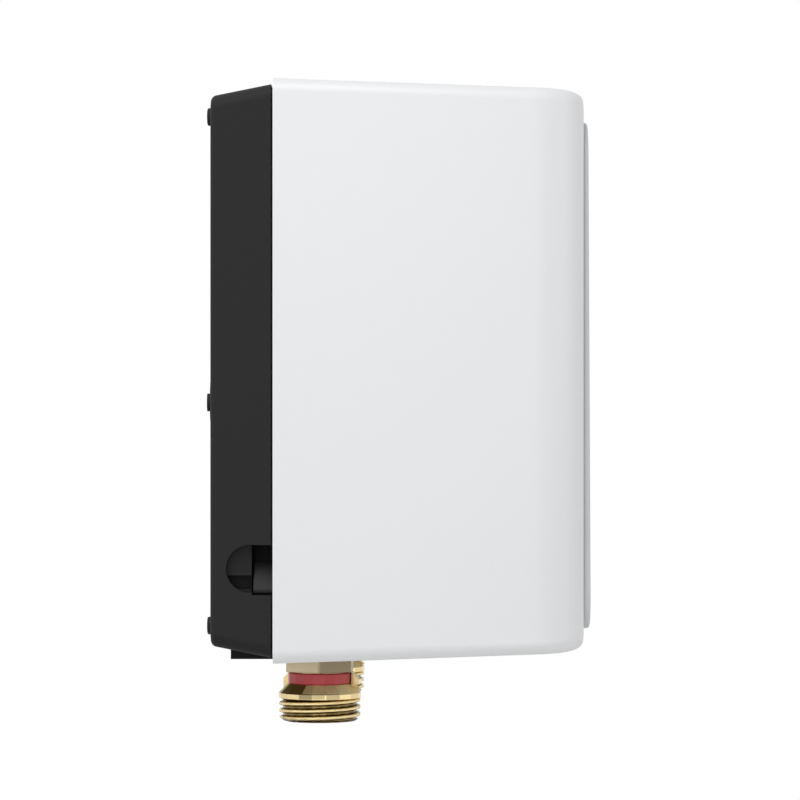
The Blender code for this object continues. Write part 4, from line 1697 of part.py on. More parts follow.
def build_wires():
    """Five insulated wires, each from its terminal's mouth to the face of what it feeds."""
    floor = SHELL_BACK + SHELL_WALL + TOUCH_GAP
    entry = floor + TERMINAL_BASE + TERMINAL_DEPTH - TERMINAL_ENTRY_FRONT - TERMINAL_ENTRY_RADIUS
    top = TERMINAL_Z + TERMINAL_HEIGHT
    inside = top - TERMINAL_ENTRY_LENGTH + WIRE_GAP
    live, neutral, earth = terminal_ways()
    middle = (BLOCK_REAR + BLOCK_FRONT) / 2
    studs = stud_places()
    on_stud = cap_low() + CAP_HEIGHT + STUD_TOP_REACH + WIRE_GAP
    over = on_stud + WIRE_LEAD
    cutout = CUTOUT_PAD_FRONT + TOUCH_GAP + (CUTOUT_LENGTH + CUTOUT_TAB_THICKNESS) / 2
    tab_reach = CUTOUT_RADIUS + CUTOUT_TAB_LENGTH + WIRE_GAP
    tabs = switch_tab_places()
    tab_front = SWITCH_REAR + SWITCH_DEPTH + SWITCH_TAB_LENGTH + WIRE_GAP
    turned_down = tab_front + WIRE_LEAD
    low = LINK_Z - tab_reach - WIRE_LEAD
    lug = EARTH_POST_FRONT + TOUCH_GAP + LUG_THICKNESS / 2
    lug_end = EARTH_X - LUG_RADIUS * 2 - WIRE_GAP
    routes = {
        "live_wire": ("brown_wire", [
            spot(live, entry, inside),
            spot(live, entry, top + WIRE_LEAD),
            spot(live - WIRE_LEAD, (entry + cutout) / 2, top + WIRE_LEAD),
            spot(live - WIRE_LEAD, cutout, TERMINAL_Z + WIRE_LEAD),
            spot((live - FITTING_X) / 2, cutout + WIRE_LEAD, 0.0),
            spot(-FITTING_X, cutout, LINK_Z + tab_reach + WIRE_LEAD),
            spot(-FITTING_X, cutout, LINK_Z + tab_reach)]),
        "neutral_wire": ("blue_wire", [
            spot(neutral, entry, inside),
            spot(neutral, entry, top + WIRE_LEAD),
            spot((neutral + earth) / 2, (entry + middle) / 2, EARTH_Z - WIRE_LEAD * 2),
            spot((earth + studs[0]) / 2, middle, over),
            spot(studs[0] - WIRE_LEAD / 2, middle, over + WIRE_LEAD / 2),
            spot(studs[0], middle, over),
            spot(studs[0], middle, on_stud)]),
        "earth_wire": ("green_wire", [
            spot(earth, entry, inside),
            spot(earth, entry, top + WIRE_LEAD),
            spot(earth, lug, EARTH_Z - WIRE_LEAD * 3 / 2),
            spot(lug_end - WIRE_LEAD, lug, EARTH_Z),
            spot(lug_end, lug, EARTH_Z)]),
        "cutout_wire": ("brown_wire", [
            spot(-FITTING_X, cutout, LINK_Z - tab_reach),
            spot(-FITTING_X, cutout, low),
            spot(-BLOCK_HALF_WIDTH, BLOCK_FRONT + WIRE_LEAD * 2, low - WIRE_LEAD),
            spot(0.0, BLOCK_FRONT + WIRE_LEAD * 3, low),
            spot(BLOCK_HALF_WIDTH, tab_front, LINK_Z - WIRE_LEAD * 2),
            spot(tabs[0], turned_down, LINK_Z),
            spot(tabs[0], tab_front, LINK_Z)]),
        "switch_wire": ("brown_wire", [
            spot(tabs[2], tab_front, DRUM_Z),
            spot(tabs[2], turned_down, DRUM_Z),
            spot(tabs[2] + WIRE_LEAD, turned_down, DRUM_Z + WIRE_LEAD * 3),
            spot(tabs[2], (turned_down + middle) / 2, BLOCK_HIGH - WIRE_LEAD * 2),
            spot((tabs[2] + studs[3]) / 2, middle, over - WIRE_LEAD),
            spot(studs[3] + WIRE_LEAD / 2, middle, over + WIRE_LEAD / 2),
            spot(studs[3], middle, over),
            spot(studs[3], middle, on_stud)]),
    }
    for name, (slot, points) in routes.items():
        finish(tube(name, smooth_route(points), WIRE_RADIUS, 1), name, slot)


build_shell()
build_cover()
build_fascia()
for side, word in SIDES:
    build_latch(side, word)
    build_seal(side, word)
    build_clip(side, word)
build_connection_plate()
build_fitting(1, "inlet_fitting", "cold_ring", "blue_plastic")
build_fitting(-1, "outlet_fitting", "hot_ring", "red_plastic")
build_inlet_inserts()
build_flow_switch_body()
build_lid()
build_plunger()
build_microswitch()
build_adjuster()
build_link_pipes()
build_outlet_manifold()
build_cutout()
build_block()
build_gasket()
build_cap()
build_coils()
build_studs()
build_terminal_block()
build_grommet()
build_earth()
build_wires()
print("pieces:", len(PARTS.objects))
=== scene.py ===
# %% [markdown]
# # A tankless water heater for one basin
# The heater hangs on a wall and is seen from its left side: a white cover, a black
# tray behind it, and a brass pipe fitting with a red ring below.
# The CAD model gives every place and size. This script dresses it: each main piece
# is modelled again with softer edges and finer detail, and each gets its own finish.

import math

import bmesh
import bpy
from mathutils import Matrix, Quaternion, Vector


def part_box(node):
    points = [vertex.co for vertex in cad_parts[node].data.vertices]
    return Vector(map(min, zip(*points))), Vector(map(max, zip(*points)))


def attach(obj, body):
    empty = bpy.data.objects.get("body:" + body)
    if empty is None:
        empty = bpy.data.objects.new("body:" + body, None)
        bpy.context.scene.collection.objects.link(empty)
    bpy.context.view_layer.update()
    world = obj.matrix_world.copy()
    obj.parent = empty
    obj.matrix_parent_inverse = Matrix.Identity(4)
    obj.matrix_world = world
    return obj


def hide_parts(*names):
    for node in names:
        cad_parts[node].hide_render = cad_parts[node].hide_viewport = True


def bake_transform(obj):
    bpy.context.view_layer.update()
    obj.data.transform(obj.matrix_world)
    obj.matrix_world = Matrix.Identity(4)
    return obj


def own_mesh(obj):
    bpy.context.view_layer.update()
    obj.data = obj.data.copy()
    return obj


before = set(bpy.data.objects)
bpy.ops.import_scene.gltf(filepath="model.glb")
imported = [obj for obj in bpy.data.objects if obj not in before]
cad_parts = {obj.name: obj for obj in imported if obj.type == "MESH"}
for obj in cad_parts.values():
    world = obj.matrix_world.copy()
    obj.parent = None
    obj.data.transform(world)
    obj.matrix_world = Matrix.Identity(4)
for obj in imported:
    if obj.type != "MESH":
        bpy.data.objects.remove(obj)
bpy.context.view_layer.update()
print("CAD nodes:", len(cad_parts))

# %% [markdown]
# The camera stands level with the housing, a metre to its left, with a long lens, so
# that the side is seen almost without perspective. A 180 mm lens on a 36 mm sensor
# is 4000 pixels of focal length in an 800 pixel picture.

# %% Camera
CAMERA_PLACE = (-1.068, -0.0476, 0.0011)
LENS_MM = 180.0
SENSOR_MM = 36.0


def linked(name, data):
    """A new object for some data, put in the scene."""
    made = bpy.data.objects.new(name, data)
    bpy.context.scene.collection.objects.link(made)
    return made


camera = linked("camera", bpy.data.cameras.new("camera"))
camera.data.lens = LENS_MM
camera.data.sensor_width = SENSOR_MM
camera.location = CAMERA_PLACE
camera.rotation_euler = (math.radians(90), 0.0, math.radians(-90))
bpy.context.scene.camera = camera
bpy.context.scene.view_settings.view_transform = "Standard"
print("camera at", CAMERA_PLACE)

# %% [markdown]
# Operators act on whatever is selected, so these helpers keep the selection in
# hand: one clears it, one adds a primitive and names it, and one picks faces, edges
# or corners by a rule about their place, as a hand would click them.

# %% Helpers for selecting
HOUSING_MIDDLE = (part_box("front_cover")[0].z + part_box("front_cover")[1].z) / 2
SQUARE_ON = 0.9


def at(across, depth, height):
    """World place from across, depth out from the wall and height from the middle."""
    return Vector((across, -depth, height + HOUSING_MIDDLE))


def clear_selection():
    if bpy.context.object and bpy.context.object.mode == "EDIT":
        bpy.ops.object.mode_set(mode="OBJECT")
    bpy.ops.object.select_all(action="DESELECT")


def take(piece):
    """Make one object the selected and active one."""
    clear_selection()
    piece.select_set(True)
    bpy.context.view_layer.objects.active = piece
    return piece


def apply_place():
    """Put the active object's place, turn and scale into its mesh."""
    bpy.ops.object.transform_apply(location=True, rotation=True, scale=True)
    return bpy.context.object


def settle(name):
    """Name the new primitive and put its place into its mesh."""
    piece = bpy.context.object
    piece.name = name
    piece.data.name = name
    return apply_place()


def open_up(piece):
    """Go into edit mode with everything selected."""
    take(piece)
    bpy.ops.object.mode_set(mode="EDIT")
    bpy.ops.mesh.select_mode(type="FACE")
    bpy.ops.mesh.select_all(action="SELECT")


def close_up():
    bpy.ops.object.mode_set(mode="OBJECT")


def pick(piece, kind, rule):
    """Select the faces, edges or corners of a piece in edit mode for which a rule holds."""
    bpy.ops.mesh.select_mode(type=kind)
    bpy.ops.mesh.select_all(action="DESELECT")
    shape = bmesh.from_edit_mesh(piece.data)
    parts = {"FACE": shape.faces, "EDGE": shape.edges, "VERT": shape.verts}[kind]
    found = [part for part in parts if rule(part)]
    for part in found:
        part.select_set(True)
    shape.select_flush_mode()
    bmesh.update_edit_mesh(piece.data)
    return len(found)


def middle_of(face):
    return sum((corner.co for corner in face.verts), Vector()) / len(face.verts)


# %% [markdown]
# Most mouldings are a flat outline that grows in steps. These helpers extrude the
# selected face to a new depth and resize it there, which is what one does by hand
# with E and then S. A turned metal piece is the same thing with a round outline.

# %% Helpers for growing a shape in steps
LEFT, RIGHT = -1, 1
SIDES = ((LEFT, "left"), (RIGHT, "right"))
UP = Vector((0.0, 0.0, 1.0))
OUT = Vector((0.0, -1.0, 0.0))
ACROSS = Vector((1.0, 0.0, 0.0))
LYING = (0.0, 0.0, 0.0)
UPRIGHT = (math.radians(90), 0.0, 0.0)
CORNER_SEGMENTS = 8


def outward(piece):
    """Turn every face of a closed mesh outwards."""
    open_up(piece)
    bpy.ops.mesh.normals_make_consistent(inside=False)
    close_up()
    return piece


def outline(name, foot, half, corner, facing, segments):
    """A rounded rectangle about a foot, left in edit mode with its face selected."""
    clear_selection()
    bpy.ops.mesh.primitive_plane_add(size=2.0, location=foot, rotation=facing)
    bpy.context.object.scale = (half[0], half[1], 1.0)
    piece = settle(name)
    open_up(piece)
    bpy.ops.mesh.bevel(offset=corner, segments=segments, affect="VERTICES")
    bpy.ops.mesh.select_all(action="SELECT")
    return piece


def draw_out(reach):
    """Extrude the selected face by a reach."""
    bpy.ops.mesh.extrude_region_move(TRANSFORM_OT_translate={"value": reach})


def prism(name, foot, half, corner, reach, facing=LYING, segments=CORNER_SEGMENTS):
    """A rounded rectangle at a foot, drawn out by a reach."""
    piece = outline(name, foot, half, corner, facing, segments)
    draw_out(reach)
    close_up()
    return outward(piece)


def grown(name, steps, corner):
    """An upright rounded rectangle grown through (depth, half width, half height) steps."""
    piece = outline(name, at(0.0, steps[0][0], 0.0), steps[0][1:], corner, UPRIGHT,
                    CORNER_SEGMENTS)
    for before, after in zip(steps, steps[1:]):
        draw_out((0.0, before[0] - after[0], 0.0))
        bpy.ops.transform.resize(
            value=(after[1] / before[1], 1.0, after[2] / before[2]),
            center_override=at(0.0, after[0], 0.0))
    close_up()
    return outward(piece)


def turn_for(axis, spin_deg=0.0):
    """The turn that brings +Z onto an axis, after a spin about +Z."""
    spin = Quaternion(UP, math.radians(spin_deg))
    return (UP.rotation_difference(axis) @ spin).to_euler()


def turned(name, foot, axis, profile, sides=64, spin_deg=0.0):
    """A solid of revolution: a disc at the foot, grown through (radius, height) steps."""
    start_radius, start_height = profile[0]
    clear_selection()
    bpy.ops.mesh.primitive_circle_add(
        vertices=sides, radius=start_radius, fill_type="NGON",
        location=foot + axis * start_height, rotation=turn_for(axis, spin_deg))
    piece = settle(name)
    open_up(piece)
    for before, after in zip(profile, profile[1:]):
        draw_out(axis * (after[1] - before[1]))
        share = after[0] / before[0]
        bpy.ops.transform.resize(value=(share, share, share),
                                 center_override=foot + axis * after[1])
    close_up()
    return outward(piece)


def cylinder(name, foot, axis, radius, length, sides=24, spin_deg=0.0):
    return turned(name, foot, axis, [(radius, 0.0), (radius, length)], sides, spin_deg)


def block(name, across, depth, height):
    """A box between two values each way, as the start of a piece or a cutter."""
    low = at(across[0], depth[0], height[0])
    high = at(across[1], depth[1], height[1])
    clear_selection()
    bpy.ops.mesh.primitive_cube_add(
        size=1.0, location=(low + high) / 2, scale=[abs(size) for size in high - low])
    return settle(name)


def about(middle, half):
    """The two ends of a stretch, from its middle."""
    return (middle - half, middle + half)


def sideways(side, near, far):
    """The two ends of a stretch across, on one side of the heater."""
    return sorted((side * near, side * far))


# %% [markdown]
# Cutting and joining use the Boolean modifier, applied at once, and a Bevel modifier
# then takes every hard edge down by a few tenths of a millimetre, as a mould does.
# Shading by angle keeps the flat faces looking flat beside those round edges.

# %% Helpers for cutting, joining and rounding
SLIVER = 0.00001


def apply_modifier(piece, kind, **settings):
    take(piece)
    modifier = piece.modifiers.new(kind.lower(), kind)
    for key, value in settings.items():
        setattr(modifier, key, value)
    bpy.ops.object.modifier_apply(modifier=modifier.name)
    return piece


def combine(piece, others, operation):
    """Boolean a piece with other objects in turn and delete them."""
    for other in others:
        apply_modifier(piece, "BOOLEAN", object=other, operation=operation)
        bpy.data.objects.remove(other)
    return piece


def carve(piece, *cutters):
    return combine(piece, cutters, "DIFFERENCE")


def keep_inside(piece, *limits):
    return combine(piece, limits, "INTERSECT")


def weld(piece, *others):
    return combine(piece, others, "UNION")


def merge_slivers(piece):
    """Take out the tiny edges that a cut can leave, so that the next cut holds."""
    open_up(piece)
    bpy.ops.mesh.remove_doubles(threshold=SLIVER)
    bpy.ops.mesh.dissolve_degenerate(threshold=SLIVER)
    close_up()
    return piece


def smooth(piece, angle_deg=40.0):
    take(piece)
    bpy.ops.object.shade_smooth_by_angle(angle=math.radians(angle_deg))
    return piece


def soften(piece, width, segments=2, angle_deg=32.0):
    """Round every hard edge and shade the piece smooth."""
    apply_modifier(piece, "BEVEL", width=width, segments=segments, limit_method="ANGLE",
                   angle_limit=math.radians(angle_deg), use_clamp_overlap=True)
    return smooth(piece)


def heap(name, *pieces):
    """Join loose objects into one, without cutting them."""
    take(pieces[0])
    for piece in pieces[1:]:
        piece.select_set(True)
    bpy.ops.object.join()
    pieces[0].name = name
    pieces[0].data.name = name
    return pieces[0]


# %% [markdown]
# A finished piece is dressed and takes the place of its CAD node, riding on the body
# that the node moves with. Nearly everything belongs to the housing. Some pieces are
# parts of a node that another piece stands for, and a few have two finishes.

# %% Helpers for dressing a piece
def dress(piece, *finishes):
    piece.data.materials.clear()
    for finish in finishes:
        piece.data.materials.append(finish)
    return piece


def paint_part(piece, first, second, rule):
    """Two finishes on one piece: the faces for which the rule holds get the second."""
    dress(piece, first, second)
    open_up(piece)
    print("second finish on", pick(piece, "FACE", rule), "faces of", piece.name)
    piece.active_material_index = 1
    bpy.ops.object.material_slot_assign()
    close_up()
    return piece


def stand_for(piece, finish, *nodes, body="housing"):
    """Let a piece ride on a body and take the place of CAD nodes; no finish keeps its own."""
    if finish:
        dress(piece, finish)
    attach(piece, body)
    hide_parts(*nodes)
    print(piece.name, "has", len(piece.data.polygons), "faces")
    return piece


def add_to(piece, finish):
    """A piece over a CAD node that another piece stands for, dressed and riding on the housing.
    """
    dress(piece, finish)
    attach(piece, "housing")
    return piece


# %% [markdown]
# Shader maths is easier to read as Python. A Signal wraps one output socket, and an
# expression such as 1 - mask * 0.5 adds the Math nodes for it. Nodes writes a node
# tree; its node() method makes any other node from its settings and values. A Finish
# is the tree of one material.

# %% Finishes: the small classes
class Signal:
    """One value that varies over a surface."""

    def __init__(self, nodes, socket):
        self.nodes = nodes
        self.socket = socket

    def __add__(self, other):
        return self.nodes.maths("ADD", self, other)

    def __rsub__(self, other):
        return self.nodes.maths("SUBTRACT", other, self)

    def __mul__(self, other):
        return self.nodes.maths("MULTIPLY", self, other)


class Nodes:
    """The node tree of a material or world, cleared and written anew."""

    def __init__(self, owner):
        owner.use_nodes = True
        self.tree = owner.node_tree
        self.tree.nodes.clear()

    def plug(self, socket, value):
        if isinstance(value, Signal):
            self.tree.links.new(value.socket, socket)
        else:
            socket.default_value = value

    def node(self, kind, settings=None, values=None, output=0):
        made = self.tree.nodes.new(kind)
        for key, value in (settings or {}).items():
            setattr(made, key, value)
        for key, value in (values or {}).items():
            self.plug(made.inputs[key], value)
        return Signal(self, made.outputs[output])

    def maths(self, operation, *values):
        return self.node("ShaderNodeMath", {"operation": operation}, dict(enumerate(values)))


class Finish(Nodes):
    """One procedural material."""

    def __init__(self, name, roughness, metallic=0.0, specular=0.5):
        self.material = bpy.data.materials.new(name)
        super().__init__(self.material)
        output = self.tree.nodes.new("ShaderNodeOutputMaterial")
        self.shader = self.tree.nodes.new("ShaderNodeBsdfPrincipled")
        self.tree.links.new(self.shader.outputs[0], output.inputs[0])
        self.feed("Roughness", roughness)
        self.feed("Metallic", metallic)
        self.feed("Specular IOR Level", specular)

    def feed(self, name, value):
        self.plug(self.shader.inputs[name], value)

    def stretch(self, vector, scale):
        return self.node("ShaderNodeMapping", {}, {"Vector": vector, "Scale": scale})

    def place(self, centre=(0.0, 0.0, 0.0)):
        """Object coordinates, counted from a centre."""
        spot = self.node("ShaderNodeTexCoord", output="Object")
        return self.node("ShaderNodeMapping", {},
                         {"Vector": spot, "Location": tuple(-value for value in centre)})

    def parts(self, vector):
        """The X, Y and Z of a vector."""
        made = self.tree.nodes.new("ShaderNodeSeparateXYZ")
        self.plug(made.inputs[0], vector)
        return [Signal(self, socket) for socket in made.outputs]

    def noise(self, vector, size, detail=3.0, rough=0.5):
        """Noise whose blobs are about size metres across, from 0 to 1."""
        return self.node("ShaderNodeTexNoise", {}, {
            "Vector": vector, "Scale": 1.0 / size, "Detail": detail, "Roughness": rough})

    def blend(self, share, first, second):
        """A colour between two, by a share."""
        return self.node("ShaderNodeMix", {"data_type": "RGBA"},
                         {0: share, 6: first, 7: second}, output=2)

    def between(self, value, low, high):
        """0 below low, 1 above high, and a smooth step in between."""
        return self.node("ShaderNodeMapRange", {"interpolation_type": "SMOOTHSTEP"},
                         {"Value": value, "From Min": low, "From Max": high})

    def relief(self, height, depth, strength=0.6):
        """Small bumps and hollows, depth metres from lowest to highest."""
        self.feed("Normal", self.node("ShaderNodeBump", {}, {
            "Strength": strength, "Distance": depth, "Height": height}))


def colour(red, green, blue):
    """A colour read from a picture as 0 to 255, as the linear colour a shader takes."""
    def linear(value):
        share = value / 255
        return share / 12.92 if share <= 0.04045 else ((share + 0.055) / 1.055) ** 2.4
    return (linear(red), linear(green), linear(blue), 1.0)


# %% [markdown]
# Moulded plastic is never one flat colour. The mould's sparked surface gives a grain
# of a few tenths of a millimetre, handling polishes some places a little, and the
# colour drifts by a few percent. One function makes all the plastics from these.

# %% Plastic finishes
CLOUD_SIZE = 0.03


def moulded(name, base, roughness, depth, drift, specular=0.5, grain=0.0003):
    """Plastic with a fine grain of a depth and a colour that drifts by a share."""
    finish = Finish(name, roughness, specular=specular)
    place = finish.place()
    fine = finish.noise(place, grain, 2.0)
    cloud = finish.noise(place, CLOUD_SIZE, 4.0)
    deeper = tuple(value * (1 - drift) for value in base[:3]) + (1.0,)
    lighter = tuple(min(value * (1 + drift), 1.0) for value in base[:3]) + (1.0,)
    finish.feed("Base Color", finish.blend(cloud * 0.7 + fine * 0.3, deeper, lighter))
    finish.feed("Roughness", cloud * 0.10 + fine * 0.06 + (roughness - 0.08))
    finish.relief(fine + cloud * 0.2, depth)
    return finish.material


WHITE = moulded("satin_white_plastic", colour(237, 238, 240), 0.42, 0.000006, 0.012)
# Painted shade: the front plate's white is greyer than the cover's, for the dimmer light on its
# edge.
SHADED_FRONT_WHITE = moulded("front_plate_shaded_plastic", colour(214, 216, 218), 0.60, 0.000005, 0.012, 0.2)
BLACK = moulded("matt_black_plastic", colour(30, 30, 31), 0.62, 0.00003, 0.14, 0.22)
# Painted shade: the connection plate's black is darker than the tray's, for the shade under the
# housing.
SHADED_PLATE_BLACK = moulded("shaded_black_plastic", colour(14, 14, 15), 0.62, 0.00003, 0.14, 0.18)
LATCH_GREY = moulded("latch_black_plastic", colour(21, 21, 22), 0.52, 0.00001, 0.12, 0.25)
# Painted shade: the latch arm's near-black stands in for the shade deep in the recess.
ARM_PAINTED_SHADE = moulded("latch_arm_painted_shade", colour(7, 7, 7), 0.66, 0.00001, 0.10, 0.12)
DARK_GREY = moulded("glass_filled_grey", colour(78, 80, 83), 0.50, 0.00002, 0.10, 0.35, 0.0006)
LIGHT_GREY = moulded("fine_grey_plastic", colour(112, 115, 120), 0.45, 0.00001, 0.07, 0.4)
CREAM = moulded("cream_plastic", colour(206, 202, 188), 0.42, 0.000008, 0.05)
RED = moulded("red_plastic", colour(190, 70, 74), 0.42, 0.000006, 0.08, 0.4)
BLUE = moulded("blue_plastic", colour(52, 98, 176), 0.42, 0.000006, 0.08, 0.4)
RUBBER = moulded("black_rubber", colour(30, 30, 30), 0.85, 0.00002, 0.20, 0.2, 0.0005)
print("plastics made")

# %% [markdown]
# Metals: brass shows the fine rings of the turning tool and darkens in its
# hollows, copper and steel are drawn or rolled and show faint streaks, and
# zinc-plated screws are a little bluish. The rings are a sine of the height or the
# radius, bent by noise so that they don't look printed.

# %% Metal finishes
STREAK_SHARE = 0.06
ALONG_X = (STREAK_SHARE, 1.0, 1.0)
ALONG_Z = (1.0, 1.0, STREAK_SHARE)


def drawn_metal(name, base, dark, roughness, drawn=ALONG_Z):
    """Metal with fine streaks along one axis and a cloudy tarnish."""
    finish = Finish(name, roughness, metallic=1.0)
    place = finish.place()
    streak = finish.noise(finish.stretch(place, drawn), 0.00025, 3.0)
    cloud = finish.noise(place, 0.006, 4.0)
    share = finish.between(cloud, 0.35, 0.75) * 0.35 + streak * 0.15
    finish.feed("Base Color", finish.blend(share, base, dark))
    finish.feed("Roughness", streak * 0.12 + cloud * 0.14 + (roughness - 0.10))
    finish.relief(streak, 0.000008, 0.5)
    return finish.material


COPPER = drawn_metal("copper_tube", colour(222, 158, 124), colour(150, 88, 64), 0.30, ALONG_X)
STEEL = drawn_metal("zinc_plated_steel", colour(206, 208, 212), colour(134, 136, 140), 0.32)
SPRING_STEEL = drawn_metal("spring_steel", colour(190, 190, 194), colour(110, 108, 106), 0.28)
PLAIN_BRASS = drawn_metal("terminal_brass", colour(228, 202, 146), colour(140, 112, 62), 0.30)
print("drawn metals made")

# %% [markdown]
# The fittings' brass is lit by a white room, so what a camera sees of it is mostly
# its colour, and its shade and reflections are painted into that colour. The worn
# crests are pale, the thread's roots get a painted brown shade, the collar's band a
# painted dull reflection towards the camera, the milled ledge is lighter with a painted
# dark reflection on its facets towards the wall, and the neck is greyer with a painted
# shade on its front side, each placed by its height, its radius or its direction from
# the axis.

# %% Brass finish
NEAR_ROOT, PAST_ROOT = 0.0097, 0.0102
NECK_ABOVE_LEDGE = 0.0029
EDGE = 0.0003


def turned_brass(name, centre, band_low, ledge_low, ledge_high):
    """Brass that was turned, milled and handled: fine rings, bright crests, painted shade and
    reflections.
    """
    finish = Finish(name, 0.26, metallic=1.0)
    place = finish.place(centre)
    x, y, z = finish.parts(place)
    radius = finish.maths("POWER", x * x + y * y, 0.5)
    around = finish.maths("ARCTAN2", y, x * -1.0)

    def part(value, low, high, edge):
        return finish.between(value, low, low + edge) * (
            1 - finish.between(value, high - edge, high))

    def sector(low_deg, high_deg):
        return part(around, math.radians(low_deg), math.radians(high_deg), math.radians(1.5))

    wander = finish.noise(place, 0.004, 2.0)
    rings = finish.maths("SINE", z * 26000.0 + radius * 9000.0 + wander * 7.0) * 0.5 + 0.5
    scratches = finish.noise(finish.stretch(place, (1.0, 1.0, 9.0)), 0.0007, 4.0, 0.6)
    cloud = finish.noise(place, 0.005, 4.0, 0.6)
    # Painted shade: the thread's roots, found by their radius, are darkened to brown for the
    # shade in the grooves.
    root = (1 - finish.between(radius, NEAR_ROOT, PAST_ROOT)) * (
        1 - finish.between(z, band_low - EDGE, band_low))
    band = part(z, band_low, ledge_low + 0.0002, 0.0002)
    ledge = part(z, ledge_low, ledge_high + 0.0002, EDGE)
    neck_low = ledge_high + NECK_ABOVE_LEDGE
    neck = finish.between(z, neck_low, neck_low + EDGE)
    # Painted shade: the neck's side towards the front gets a darker colour.
    painted_shade_side = 1 - finish.between(y, -0.0005, 0.0003)
    shades = (
        # Painted reflection: the collar band's facets towards the camera get a dull, darker
        # colour.
        (band * (sector(-9, 30) * 0.80 + sector(-30, -8) * 0.30), colour(152, 138, 102)),
        (root * 0.90, colour(100, 80, 36)),
        (ledge * 0.9, colour(232, 214, 166)),
        # Painted reflection: the ledge's facets turned from the camera towards the wall get a
        # dark colour.
        (ledge * sector(24, 72) * 0.95, colour(118, 92, 30)),
        (neck * 0.85, colour(174, 162, 140)),
        (neck * painted_shade_side * 0.85, colour(142, 128, 104)))
    # The wear is the brass's own; the blends below add the painted shade and reflections.
    wear_and_painted_shade = finish.blend(cloud * 0.5 + scratches * 0.2, colour(248, 229, 178),
                        colour(212, 184, 124))
    for share, shade in shades:
        wear_and_painted_shade = finish.blend(share, wear_and_painted_shade, shade)
    finish.feed("Base Color", wear_and_painted_shade)
    finish.feed("Roughness", cloud * 0.16 + rings * 0.06 + neck * 0.12 + ledge * 0.3 + 0.14)
    finish.relief(rings * 0.5 + scratches * 0.6, 0.000012, 0.55)
    return finish.material


# %% [markdown]
# The front cover is a deep moulded box, open at the back. Its sides lean in by about
# two degrees so that it leaves the mould, its front edges are softly round at the
# sides and tighter at the top and bottom. It is grown from a rounded plane at the
# rim, then the rear face is taken off and Solidify gives it its wall.

# %% Front cover
cover_low, cover_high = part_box("front_cover")
COVER_REAR = -cover_high.y
COVER_FULLER = 0.0005
COVER_FRONT = -cover_low.y + COVER_FULLER
COVER_HALF_WIDTH = cover_high.x
COVER_HALF_HEIGHT = (cover_high.z - cover_low.z) / 2
COVER_WALL = 0.0024
COVER_DRAFT = math.tan(math.radians(1.90))
COVER_CORNER = 0.0035
SIDE_ROUND = 0.013
END_ROUND_DEPTH = 0.011
END_ROUND_HEIGHT = 0.0035
END_ROUND_POWER = 3.4
ROUND_SHARES = 22


def cover_half(half, depth):
    """Half the cover's width or height at a depth, before its front edges turn in."""
    return half - COVER_DRAFT * (depth - COVER_REAR)


def cover_steps():
    steps = [(COVER_REAR, COVER_HALF_WIDTH, COVER_HALF_HEIGHT)]
    start = COVER_FRONT - SIDE_ROUND
    end_start = COVER_FRONT - END_ROUND_DEPTH
    for step in range(ROUND_SHARES + 1):
        turn = math.pi / 2 * step / ROUND_SHARES
        depth = start + SIDE_ROUND * math.sin(turn)
        half_width = cover_half(COVER_HALF_WIDTH, depth) - SIDE_ROUND * (1 - math.cos(turn))
        along = min(max(0.0, (depth - end_start) / END_ROUND_DEPTH), 1.0)
        fall = 1 - (1 - along ** END_ROUND_POWER) ** (1 / END_ROUND_POWER)
        half_height = cover_half(COVER_HALF_HEIGHT, depth) - END_ROUND_HEIGHT * fall
        steps.append((depth, half_width, half_height))
    return steps


cover = grown("cover_shell", cover_steps(), COVER_CORNER)
open_up(cover)
pick(cover, "FACE", lambda face: face.normal.y > SQUARE_ON)
bpy.ops.mesh.delete(type="FACE")
close_up()
apply_modifier(cover, "SOLIDIFY", thickness=COVER_WALL, offset=-1.0, use_even_offset=True)
print("cover wall", COVER_WALL, "faces", len(cover.data.polygons))

# %% [markdown]
# Details cut into the cover: the shallow bed of the front plate, the two notches
# that let the pipe fittings pass, and the pockets for the noses of the latches. Each
# cutter is a primitive at its size and place.

# %% Cuts in the cover
FASCIA_TOP = 0.062
FASCIA_BOTTOM = -0.064
FASCIA_MIDDLE = (FASCIA_TOP + FASCIA_BOTTOM) / 2
FASCIA_HALF_HEIGHT = (FASCIA_TOP - FASCIA_BOTTOM) / 2
FASCIA_HALF_WIDTH = 0.07922
FASCIA_CORNER = 0.009
FASCIA_SEGMENTS = 12
FASCIA_RECESS = 0.0006
FASCIA_MARGIN = 0.0004
FITTING_X = 0.050
FITTING_DEPTH = 0.0272
TONGUE_HALF_WIDTH = 0.0120
TONGUE_FRONT = 0.0380
TONGUE_CLEARANCE = 0.0005
NOSE_MIDDLE_DEPTH = 0.0200
NOSE_POCKET_REACH = 0.0011
NOSE_POCKET_DEPTHS = (0.0192, 0.0244)
NOSE_POCKET_HEIGHTS = (-0.0540, -0.0482)
CUT_OVER = 0.002
tongue_centre = TONGUE_FRONT - TONGUE_HALF_WIDTH


def fascia_plate(name, margin, back, front):
    """A flat plate with the front plate's round corners."""
    return prism(name, at(0.0, back, FASCIA_MIDDLE),
                 (FASCIA_HALF_WIDTH + margin, FASCIA_HALF_HEIGHT + margin),
                 FASCIA_CORNER + margin, (0.0, back - front, 0.0), UPRIGHT, FASCIA_SEGMENTS)


